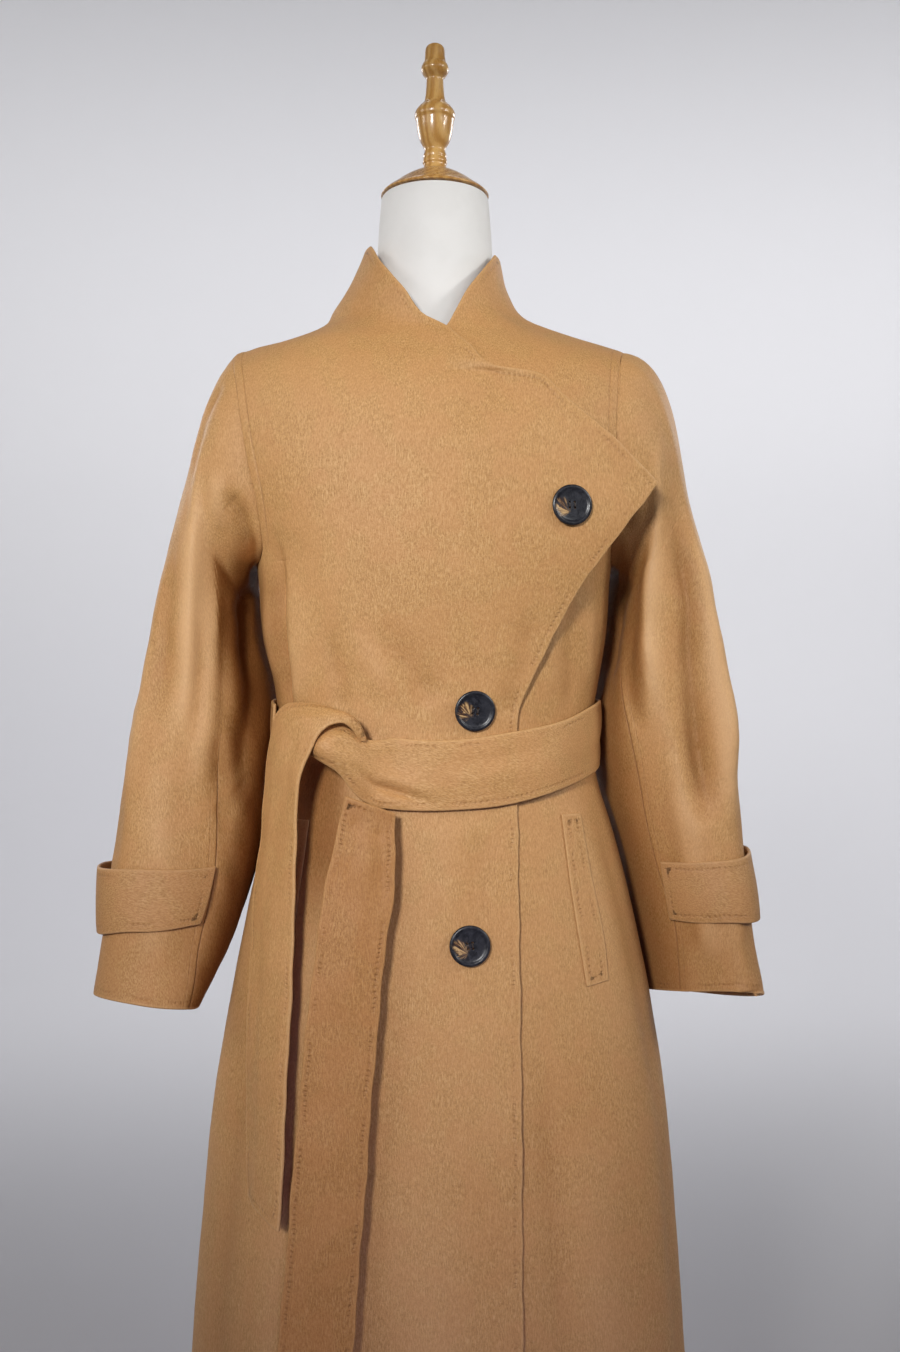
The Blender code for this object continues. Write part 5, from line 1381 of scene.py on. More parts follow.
END_RIGHT = (
    (0.5985, -0.1678, -0.1100, 0.5845, -0.1335, -0.1520),
    (0.6480, -0.1695, -0.1060, 0.6480, -0.1297, -0.1480),
    (0.7340, -0.1708, -0.0980, 0.7340, -0.1270, -0.1420),
    (0.7940, -0.1697, -0.0880, 0.7940, -0.1235, -0.1360),
    (0.8560, -0.1676, -0.0780, 0.8600, -0.1230, -0.1310),
    (0.9311, -0.1591, -0.0740, 0.9311, -0.1202, -0.1310),
    (0.9620, -0.1545, -0.0740, 0.9600, -0.1185, -0.1318),
    (0.9960, -0.1495, -0.0760, 0.9820, -0.1126, -0.1330),
    (1.0240, -0.1435, -0.0820, 0.9985, -0.1045, -0.1340),
    (1.0358, -0.1273, -0.0970, 1.0110, -0.0970, -0.1345),
    (1.0343, -0.1025, -0.1130, 1.0175, -0.0880, -0.1340),
    (1.0285, -0.0850, -0.1205, 1.0190, -0.0795, -0.1325),
    (1.0235, -0.0725, -0.1220, 1.0165, -0.0745, -0.1295),
    (1.0140, -0.0655, -0.1215, 1.0110, -0.0695, -0.1265),
    (1.0035, -0.0615, -0.1190, 1.0025, -0.0655, -0.1225),
)
END_LEFT = (
    (0.3650, -0.1390, -0.1680, 0.3500, -0.0750, -0.1720),
    (0.4500, -0.1345, -0.1640, 0.4500, -0.0700, -0.1670),
    (0.6000, -0.1228, -0.1550, 0.6000, -0.0590, -0.1580),
    (0.7500, -0.1100, -0.1450, 0.7500, -0.0480, -0.1480),
    (0.8300, -0.1010, -0.1400, 0.8300, -0.0400, -0.1430),
    (0.8800, -0.0935, -0.1365, 0.8850, -0.0330, -0.1395),
    (0.9280, -0.0830, -0.1345, 0.9220, -0.0325, -0.1355),
    (0.9560, -0.0770, -0.1335, 0.9400, -0.0330, -0.1300),
)
# Folds on a strip: knots are (share of the way along, share of the way
# across), then the flanks towards its start and its end side, depth and fades.
BAND_FOLDS = (
    # along the upper edge a soft roll, lit from above
    (((0.020, 0.30), (0.060, 0.16), (0.100, 0.10), (0.150, 0.09), (0.220, 0.09)), 0.0040, 0.0060, 0.0016, 0.20, 0.60),
    # the deep line that parts the lower lobe from the rest
    (((0.030, 0.62), (0.052, 0.60), (0.076, 0.66), (0.104, 0.74), (0.135, 0.84), (0.160, 0.93)), 0.0035, 0.0050, -0.0034, 0.25, 0.45),
    (((0.060, 0.52), (0.085, 0.56), (0.115, 0.64), (0.145, 0.74), (0.175, 0.82)), 0.0060, 0.0070, 0.0022, 0.30, 0.50),
    (((0.072, 0.86), (0.095, 0.88), (0.125, 0.93)), 0.0060, 0.0050, 0.0022, 0.35, 0.40),
    # a dimple where the strip is pulled under the loop
    (((0.026, 0.46), (0.045, 0.40), (0.070, 0.36)), 0.0045, 0.0045, -0.0020, 0.25, 0.55),
    # long soft lines over the front
    (((0.120, 0.36), (0.190, 0.34), (0.260, 0.30), (0.330, 0.22)), 0.0070, 0.0080, -0.0010, 0.30, 0.40),
    (((0.150, 0.58), (0.220, 0.60), (0.300, 0.66)), 0.0090, 0.0090, 0.0010, 0.30, 0.40),
    (((0.300, 0.80), (0.350, 0.74), (0.410, 0.60), (0.450, 0.48)), 0.0070, 0.0080, -0.0012, 0.30, 0.40),
    (((0.520, 0.30), (0.580, 0.36), (0.650, 0.40)), 0.0080, 0.0080, -0.0012, 0.35, 0.40),
    (((0.640, 0.70), (0.720, 0.62), (0.790, 0.60)), 0.0080, 0.0080, 0.0012, 0.35, 0.40),
    (((0.800, 0.34), (0.860, 0.40), (0.930, 0.44)), 0.0080, 0.0070, -0.0014, 0.35, 0.30),
)


def strip_surface(a, b, step, width, ends=("free", "free"), v_step=0.0026):
    """Fine grid between two edges given by rows of points."""
    centre = (a + b) / 2
    d = np.concatenate([[0], np.cumsum(np.linalg.norm(np.diff(centre, axis=0), axis=1))])
    s = spread(d[-1], step, *ends)
    v = spread(width, v_step, "free", "free") / width
    ea, eb = np.empty((len(s), 3)), np.empty((len(s), 3))
    for k in range(3):
        ea[:, k] = read(np.stack([d, a[:, k]], axis=1), 1, s)
        eb[:, k] = read(np.stack([d, b[:, k]], axis=1), 1, s)
    g = ea[:, None, :] + (eb - ea)[:, None, :] * v[None, :, None]
    return g, s / d[-1], v


def table_edges(table):
    rows = np.asarray(table, float)
    return rows[:, [1, 2, 0]], rows[:, [4, 5, 3]]


def fold_strip(g, nrm, s, v, folds, seed=0):
    """Moves a strip's grid out along its normals by its folds."""
    move = np.zeros(g.shape[:2])
    for i, (knots, left, right, depth, top, low) in enumerate(folds):
        flat, _ = smooth_curve(knots, 60)
        line = []
        for u, w in flat:
            j = np.interp(u, s, np.arange(len(s)))
            c = np.interp(w, v, np.arange(len(v)))
            j0, c0 = int(min(j, len(s) - 2)), int(min(c, len(v) - 2))
            fj, fc = j - j0, c - c0
            line.append((g[j0, c0] * (1 - fj) + g[j0 + 1, c0] * fj) * (1 - fc)
                        + (g[j0, c0 + 1] * (1 - fj) + g[j0 + 1, c0 + 1] * fj) * fc)
        move += crease_line(g, np.array(line), left, right, depth, (top, low), i + seed, nrm)
    return move


def facing(g, way):
    n = normals_of(g)
    flip = np.sign(np.einsum("ijk,ijk->ij", n, np.broadcast_to(way, n.shape)))
    return n * np.where(flip == 0, 1, flip)[..., None]


def outline(m):
    return [m[0], m[-1], m[:, 0], m[:, -1]]


def make_band(mat):
    """The twist under the loop and the band round the body, in one."""
    ta, tb = table_edges(TWIST)
    t = np.radians(np.concatenate([np.linspace(-12.5, 60, 26), np.linspace(65, 270, 60),
                                   np.linspace(275, 290, 4)]))
    edges = []
    tt = np.where(t > math.pi, t - 2 * math.pi, t)
    for f in (1.0, -1.0):
        z = belt_z(t) + f * BELT_WIDTH / 2
        p = skin(t, z, belt_out(tt))
        n = ring_normal(t, z)
        n[..., 2] = 0
        n /= np.linalg.norm(n, axis=-1, keepdims=True)
        edges.append(p + n * CLOTH / 2)
    a = np.vstack([ta, edges[0]])
    b = np.vstack([tb, edges[1]])
    g, s, v = strip_surface(a, b, 0.0040, BELT_WIDTH, v_step=0.0024)
    nrm = facing(g, np.array([0.0, -1.0, 0.0]))
    out = g * np.array([1.0, 1.0, 0.0])
    flip = np.sign(np.einsum("ijk,ijk->ij", nrm, out))
    nrm = nrm * np.where(flip == 0, 1, flip)[..., None]
    u = s[:, None]
    vv = v[None, :]
    # bands bow over the body: ring surface between the edges
    bulge = 4 * vv * (1 - vv)
    thick = 0.0085 * (1 - ease((u - 0.035) / 0.075)) + 0.0012
    move = bulge * thick
    move = move + fold_strip(g, nrm, s, v, BAND_FOLDS, 5)
    move = move + wave(g, 41, 0.06) * 0.0006
    mid = g + nrm * move[..., None]
    # its edges wander
    sway = 0.0009 * np.sin(s * 47.0) + 0.0006 * np.sin(s * 21.0 + 1.0)
    mid[..., 2] += sway[:, None] * (vv - 0.5)
    # the left edge of the twist is rolled in behind itself
    tuck = (1 - ease(u / 0.020)) * 0.010
    mid[..., 1] += tuck
    face = facing(mid, np.array([0.0, -1.0, 0.0]))
    flip = np.sign(np.einsum("ijk,ijk->ij", face, nrm))
    face = face * np.where(flip == 0, 1, flip)[..., None]
    return finish_cloth("belt_band_cloth", mid, face, mat, outline(mid), [])


END_RIGHT_FOLDS = (
    (((0.02, 0.26), (0.20, 0.28), (0.40, 0.30), (0.60, 0.30)), 0.0060, 0.0090, -0.0016, 0.20, 0.40),
    (((0.30, 0.62), (0.45, 0.60), (0.62, 0.62)), 0.0110, 0.0110, 0.0012, 0.35, 0.35),
    (((0.60, 0.34), (0.70, 0.36), (0.79, 0.42), (0.86, 0.50)), 0.0090, 0.0090, 0.0014, 0.35, 0.35),
    (((0.70, 0.74), (0.78, 0.72), (0.86, 0.66)), 0.0060, 0.0060, -0.0012, 0.35, 0.35),
    (((0.855, 0.20), (0.89, 0.42), (0.93, 0.60)), 0.0040, 0.0040, -0.0012, 0.30, 0.30),
)
END_LEFT_FOLDS = (
    (((0.62, 0.55), (0.74, 0.50), (0.86, 0.52), (0.95, 0.56)), 0.0110, 0.0110, 0.0016, 0.35, 0.20),
    (((0.30, 0.30), (0.36, 0.48), (0.40, 0.74)), 0.0070, 0.0080, 0.0010, 0.35, 0.35),
    (((0.50, 0.40), (0.62, 0.36), (0.76, 0.34)), 0.0120, 0.0120, -0.0012, 0.35, 0.35),
    (((0.10, 0.62), (0.22, 0.60), (0.34, 0.64)), 0.0130, 0.0130, -0.0010, 0.35, 0.35),
    (((0.84, 0.86), (0.90, 0.80), (0.97, 0.72)), 0.0045, 0.0060, -0.0022, 0.35, 0.10),
    (((0.86, 0.18), (0.92, 0.24), (0.98, 0.30)), 0.0045, 0.0060, -0.0018, 0.35, 0.10),
)


def make_end_right(mat):
    a, b = table_edges(END_RIGHT)
    g, s, v = strip_surface(a, b, 0.0036, 0.060, v_step=0.0024)
    nrm = facing(g, np.array([0.0, -1.0, 0.15]))
    u, vv = s[:, None], v[None, :]
    hang = 1 - ease((u - 0.62) / 0.14)
    # hanging, it turns its outer third away; over the loop it is rounded
    curl = -0.0042 * (1 - ease(vv / 0.42)) ** 1.5 * hang
    loop = ease((u - 0.70) / 0.12)
    arch = loop * (4 * vv * (1 - vv)) * 0.0050
    rim = -0.0022 * hang * np.exp(-((1 - vv) / 0.10) ** 2)
    move = curl + arch + rim + fold_strip(g, nrm, s, v, END_RIGHT_FOLDS, 9)
    move = move + wave(g, 51, 0.05) * 0.0005
    mid = g + nrm * move[..., None]
    mid[..., 0] += 0.0007 * np.sin(u * 26.0) * (vv - 0.5) + 0.0003 * np.sin(u * 71.0)
    face = facing(mid, np.array([0.0, -1.0, 0.15]))
    return finish_cloth("belt_end_right_cloth", mid, face, mat, outline(mid), [])


def make_end_left(mat):
    a, b = table_edges(END_LEFT)
    g, s, v = strip_surface(a, b, 0.0042, BELT_WIDTH, v_step=0.0026)
    nrm = facing(g, np.array([0.0, -1.0, 0.0]))
    u, vv = s[:, None], v[None, :]
    top = ease((u - 0.86) / 0.12)
    move = (0.0012 - 0.0030 * (2 * vv - 1) ** 2) * (1 - top) + top * 0.0030 * 4 * vv * (1 - vv)
    move = move + fold_strip(g, nrm, s, v, END_LEFT_FOLDS, 13)
    move = move + wave(g, 61, 0.07) * 0.0006
    mid = g + nrm * move[..., None]
    mid[..., 0] += 0.0008 * np.sin(u * 31.0) * (vv - 0.5) + 0.0004 * np.sin(u * 83.0)
    face = facing(mid, np.array([0.0, -1.0, 0.0]))
    # painted shadow at its top, where it goes under the band
    painted_shade = np.broadcast_to(0.20 * ease((u - 0.95) / 0.04), mid.shape[:2])
    return finish_cloth("belt_end_left_cloth", mid, face, mat, outline(mid), [], floats={"painted_shade": painted_shade})


# ------------------------------------------------------------ pocket welts


def make_welt(name, table, side, mat):
    length, width = table[-1][0] - table[0][0], 0.021
    hs = spread(length, 0.0030, "free", "free")
    vs = spread(width, 0.0018, "free", "free") / width
    lap = side < 0
    z = table[0][0] + np.repeat(hs[:, None], len(vs), axis=1)
    x0, x1 = side * read(table, 1, z[:, 0]), side * read(table, 2, z[:, 0])
    t0, t1 = angles_at(x0, z[:, 0]), angles_at(x1, z[:, 0])
    t = t0[:, None] + (t1 - t0)[:, None] * vs[None, :]
    # the lower end is cut on a slant
    z = z + 0.0032 * (vs[None, :] - 0.5) * (1 - ease(hs[:, None] / 0.03))
    base = ring_point(t, z)
    nrm = ring_normal(t, z)
    d = (lap_out(t, z) if lap else flat_out(t, z)) + body_drape(base)
    mid = base + nrm * (d + 0.0004 + 0.0006)[..., None]
    return finish_cloth(name, mid, nrm, mat, outline(mid), [], half=0.0007)

# ------------------------------------------------------- turned and hard parts


def lathe(name, profile, steps, mat, at=(0.0, 0.0, 0.0), fine=3):
    """Turned solid with a smooth profile of (height, radius) rows."""
    p = np.asarray(profile, float)
    bm = bmesh.new()
    rings = []
    for h, r in p:
        if r < 1e-7:
            rings.append([bm.verts.new((at[0], at[1], at[2] + h))])
        else:
            rings.append([bm.verts.new((at[0] + r * math.cos(2 * math.pi * i / steps),
                                        at[1] + r * math.sin(2 * math.pi * i / steps),
                                        at[2] + h)) for i in range(steps)])
    for lo, hi in zip(rings, rings[1:]):
        for i in range(steps):
            j = (i + 1) % steps
            if len(lo) == 1 and len(hi) == 1:
                continue
            if len(lo) == 1:
                bm.faces.new((lo[0], hi[i], hi[j]))
            elif len(hi) == 1:
                bm.faces.new((lo[i], lo[j], hi[0]))
            else:
                bm.faces.new((lo[i], lo[j], hi[j], hi[i]))
    bmesh.ops.recalc_face_normals(bm, faces=bm.faces)
    mesh = bpy.data.meshes.new(name)
    bm.to_mesh(mesh)
    bm.free()
    mesh.shade_smooth()
    mesh.set_sharp_from_angle(angle=math.radians(48))
    o = bpy.data.objects.new(name, mesh)
    bpy.context.scene.collection.objects.link(o)
    mesh.materials.append(mat)
    return o


def refine_profile(profile, parts):
    """More rows along a turned profile, on a smooth curve through them."""
    p = np.asarray(profile, float)
    d = np.concatenate([[0], np.cumsum(np.maximum(np.linalg.norm(np.diff(p, axis=0), axis=1), 1e-6))])
    s = np.sort(np.unique(np.concatenate([np.linspace(a, b, parts, endpoint=False)
                                          for a, b in zip(d[:-1], d[1:])] + [[d[-1]]])))
    h = read(np.stack([d, p[:, 0]], axis=1), 1, s)
    r = read(np.stack([d, p[:, 1]], axis=1), 1, s)
    return np.stack([h, np.maximum(r, 0)], axis=1)


BUTTON_PROFILE_COLUMNS = ("height share", "radius share")
BUTTON_PROFILE = (
    (0.00, 0.000), (0.00, 0.620), (0.10, 0.760), (0.30, 0.925), (0.48, 0.985), (0.62, 1.000),
    (0.78, 0.990), (0.92, 0.955), (1.00, 0.905), (1.00, 0.870), (0.93, 0.825),
    (0.82, 0.780), (0.745, 0.720), (0.700, 0.600), (0.670, 0.400), (0.655, 0.200), (0.650, 0.000),
)


def make_button(name, x, z, turn, mat, thread_mat):
    """Horn button with a raised rim, a shallow dish and four holes, and the
    thread that holds it."""
    r, h = BUTTON_D / 2, BUTTON_T
    profile = refine_profile([(a * h, b * r) for a, b in BUTTON_PROFILE], 3)
    o = lathe(name, profile, 72, mat)
    cutters = []
    for i, (sx, sy) in enumerate(((1, 1), (-1, 1), (-1, -1), (1, -1))):
        bm = bmesh.new()
        bmesh.ops.create_cone(bm, cap_ends=True, segments=20, radius1=0.00105,
                              radius2=0.00125, depth=h * 3)
        bmesh.ops.translate(bm, verts=bm.verts, vec=(sx * 0.0024, sy * 0.0024, h / 2))
        mesh = bpy.data.meshes.new("hole")
        bm.to_mesh(mesh)
        bm.free()
        c = bpy.data.objects.new("hole", mesh)
        bpy.context.scene.collection.objects.link(c)
        m = o.modifiers.new("hole", "BOOLEAN")
        m.operation = "DIFFERENCE"
        m.solver = "EXACT"
        m.object = c
        cutters.append(c)
    bpy.context.view_layer.update()
    deps = bpy.context.evaluated_depsgraph_get()
    mesh = bpy.data.meshes.new_from_object(o.evaluated_get(deps))
    o.modifiers.clear()
    old, o.data = o.data, mesh
    bpy.data.meshes.remove(old)
    for c in cutters:
        bpy.data.objects.remove(c)
    # two stitches of thread from hole to hole
    bm = bmesh.new()
    for sx in (1, -1):
        pts = []
        for k in range(13):
            f = k / 12.0
            y = (f * 2 - 1) * 0.0026
            zz = h * 0.66 + 0.0007 * math.sin(math.pi * f) - 0.0010 * (abs(2 * f - 1) ** 6)
            pts.append(Vector((sx * 0.0024, y, zz)))
        for off in (-0.00032, 0.00032):
            loops = []
            for p in pts:
                loops.append([bm.verts.new((p.x + off + 0.00034 * math.cos(a), p.y,
                                            p.z + 0.00034 * math.sin(a)))
                              for a in (0, 1.0472, 2.0944, 3.1416, 4.1888, 5.236)])
            for lo, hi in zip(loops, loops[1:]):
                for i in range(6):
                    j = (i + 1) % 6
                    bm.faces.new((lo[i], lo[j], hi[j], hi[i]))
            bm.faces.new(list(reversed(loops[0])))
            bm.faces.new(loops[-1])
    bmesh.ops.recalc_face_normals(bm, faces=bm.faces)
    tm = bpy.data.meshes.new(name + "_thread")
    bm.to_mesh(tm)
    bm.free()
    tm.shade_smooth()
    thread = bpy.data.objects.new(name + "_thread", tm)
    bpy.context.scene.collection.objects.link(thread)
    tm.materials.append(thread_mat)

    t = float(angles_at(x, z, True, True))
    here = np.array(t), np.array(z)
    nrm = ring_normal(*here, True)
    turns = np.radians(np.arange(0, 360, 15))
    zr = z + np.cos(turns) * BUTTON_D / 2
    tr = angles_at(x + np.sin(turns) * BUTTON_D / 2, zr, True, True)
    rim = ring_point(tr, zr, True)
    rim = rim + ring_normal(tr, zr, True) * (lap_out(tr, zr) + body_drape(rim))[..., None]
    p = skin(*here, lap_out(*here), True)
    p = p + nrm * (max(0.0, float(np.max((rim - p) @ nrm))) + 0.0007)
    quat = Vector(nrm).to_track_quat("Z", "Y")
    place = Matrix.Translation(Vector(p)) @ quat.to_matrix().to_4x4() @ Matrix.Rotation(math.radians(turn), 4, "Z")
    o.matrix_world = place
    thread.matrix_world = place
    return o, thread


# ------------------------------------------------------------ dress form


def make_form(mat):
    """Padded torso with its neck: a smooth loft through the level rings."""
    z = np.concatenate([np.linspace(FORM[0][0], 1.33, 90, endpoint=False),
                        np.linspace(1.33, FORM[-1][0] - 0.0030, 56, endpoint=False),
                        FORM[-1][0] - 0.0030 + 0.0030 * np.sin(np.linspace(0, math.pi / 2, 7))])
    seg = 144
    a = np.linspace(0, 2 * math.pi, seg, endpoint=False)
    half, front, back = (read(FORM, k, z)[:, None] for k in (1, 2, 3))
    shrink = np.ones(len(z))
    shrink[-7:] = 1 - 0.045 * (1 - np.cos(np.linspace(0, math.pi / 2, 7)))
    depth = np.where(np.cos(a)[None, :] > 0, front, back)
    pts = np.stack([half * np.sin(a)[None, :] * shrink[:, None],
                    -depth * np.cos(a)[None, :] * shrink[:, None],
                    np.repeat(z[:, None], seg, axis=1)], axis=-1)
    n = len(z)
    idx = np.arange(n * seg).reshape(n, seg)
    right = np.roll(idx, -1, axis=1)
    faces = np.stack([idx[:-1], right[:-1], right[1:], idx[1:]], axis=-1).reshape(-1, 4).tolist()
    faces.append(list(reversed(idx[0].tolist())))
    faces.append(idx[-1].tolist())
    mesh = bpy.data.meshes.new("form_torso_cover")
    mesh.from_pydata(pts.reshape(-1, 3).tolist(), [], faces)
    mesh.update()
    mesh.shade_smooth()
    mesh.set_sharp_from_angle(angle=math.radians(60))
    o = bpy.data.objects.new("form_torso_cover", mesh)
    bpy.context.scene.collection.objects.link(o)
    mesh.materials.append(mat)
    return o


def pole_profile():
    top, low = FORM[0][0] - GAP, BASE_T + GAP
    r = POLE_R
    return ((low, 0.0), (low, r * 1.78), (low + 0.0006, r * 1.8), (low + 0.0048, r * 1.8),
            (low + 0.0060, r * 1.74), (low + 0.0075, r * 1.3), (low + 0.0100, r * 1.03),
            (low + 0.0120, r), (0.300, r), (0.500, r), (top - 0.0320, r), (top - 0.0300, r * 1.04),
            (top - 0.0275, r * 1.4), (top - 0.0260, r * 1.48), (top - 0.0240, r * 1.5),
            (top - 0.0010, r * 1.5), (top, r * 1.46), (top, 0.0))


def base_profile():
    return ((0.0, 0.0), (0.0, BASE_R - 0.0030), (0.0006, BASE_R - 0.0012), (0.0020, BASE_R - 0.0003),
            (0.0040, BASE_R), (0.0110, BASE_R), (0.0150, BASE_R - 0.0010), (0.0175, BASE_R - 0.0032),
            (0.0190, BASE_R - 0.0066), (0.0196, BASE_R - 0.0100), (0.0200, BASE_R - 0.0130),
            (0.0212, BASE_R - 0.0145), (BASE_T, BASE_R - 0.0180), (BASE_T, 0.060), (BASE_T, 0.0))
# Names of the columns of a cloth piece's flat size as cut: width, length and area in metres.
FLAT_COLUMNS = ("width", "length", "area")

# --------------------------------------------------------------- materials


def socket(tree, value, target):
    if isinstance(value, bpy.types.NodeSocket):
        tree.links.new(value, target)
    else:
        target.default_value = value


def node(tree, kind, ins=(), **settings):
    """A node with its settings; ins maps an input's name or number to a value
    or to another node's output."""
    n = tree.nodes.new(kind)
    for k, v in settings.items():
        setattr(n, k, v)
    for k, v in dict(ins).items():
        socket(tree, v, n.inputs[k])
    return n


def calc(tree, operation, a, b=None, c=None, clamp=False):
    n = tree.nodes.new("ShaderNodeMath")
    n.operation = operation
    n.use_clamp = clamp
    for i, v in enumerate((a, b, c)):
        if v is not None:
            socket(tree, v, n.inputs[i])
    return n.outputs[0]


def band(tree, value, low, high, to_low=0.0, to_high=1.0, smooth=True):
    n = tree.nodes.new("ShaderNodeMapRange")
    n.interpolation_type = "SMOOTHSTEP" if smooth else "LINEAR"
    n.clamp = True
    socket(tree, value, n.inputs["Value"])
    for k, v in (("From Min", low), ("From Max", high), ("To Min", to_low), ("To Max", to_high)):
        n.inputs[k].default_value = v
    return n.outputs["Result"]


def mixed(tree, factor, a, b, blend="MIX"):
    n = tree.nodes.new("ShaderNodeMix")
    n.data_type = "RGBA"
    n.blend_type = blend
    n.clamp_factor = True
    socket(tree, factor, n.inputs[0])
    socket(tree, a, n.inputs[6])
    socket(tree, b, n.inputs[7])
    return n.outputs[2]


def noise(tree, vector, scale, detail=3.0, roughness=0.5, distortion=0.0, lacunarity=2.0):
    n = tree.nodes.new("ShaderNodeTexNoise")
    n.inputs["Scale"].default_value = scale
    n.inputs["Detail"].default_value = detail
    n.inputs["Roughness"].default_value = roughness
    n.inputs["Lacunarity"].default_value = lacunarity
    n.inputs["Distortion"].default_value = distortion
    socket(tree, vector, n.inputs["Vector"])
    return n.outputs[0]


def mapping(tree, vector, scale=(1, 1, 1), rotation=(0, 0, 0), location=(0, 0, 0)):
    n = tree.nodes.new("ShaderNodeMapping")
    socket(tree, vector, n.inputs["Vector"])
    n.inputs["Scale"].default_value = scale
    n.inputs["Rotation"].default_value = rotation
    n.inputs["Location"].default_value = location
    return n.outputs[0]


def attribute(tree, name):
    n = tree.nodes.new("ShaderNodeAttribute")
    n.attribute_type = "GEOMETRY"
    n.attribute_name = name
    return n.outputs["Fac"]


def blank(name):
    m = bpy.data.materials.new(name)
    m.use_nodes = True
    m.node_tree.nodes.clear()
    out = m.node_tree.nodes.new("ShaderNodeOutputMaterial")
    b = m.node_tree.nodes.new("ShaderNodeBsdfPrincipled")
    m.node_tree.links.new(b.outputs[0], out.inputs[0])
    return m, m.node_tree, b


# Colours of the felted wool: its body, its hollows between tufts, its raised
# fibre tips, and the line along a stitched or pressed edge.
WOOL_COLUMNS = ("body", "hollow", "tip", "line")
WOOL_CAMEL = ((0.512, 0.277, 0.094), (0.348, 0.170, 0.051), (0.602, 0.360, 0.155), (0.232, 0.094, 0.029))
# a darker copy for the cuff straps: painted shade
WOOL_CUFF_SHADED = ((0.448, 0.236, 0.080), (0.305, 0.145, 0.043), (0.530, 0.308, 0.134), (0.205, 0.082, 0.026))
# a darker, deeper copy for the left hanging end of the belt: painted shade
WOOL_END_SHADED = ((0.412, 0.196, 0.054), (0.272, 0.116, 0.030), (0.490, 0.262, 0.096), (0.185, 0.068, 0.019))


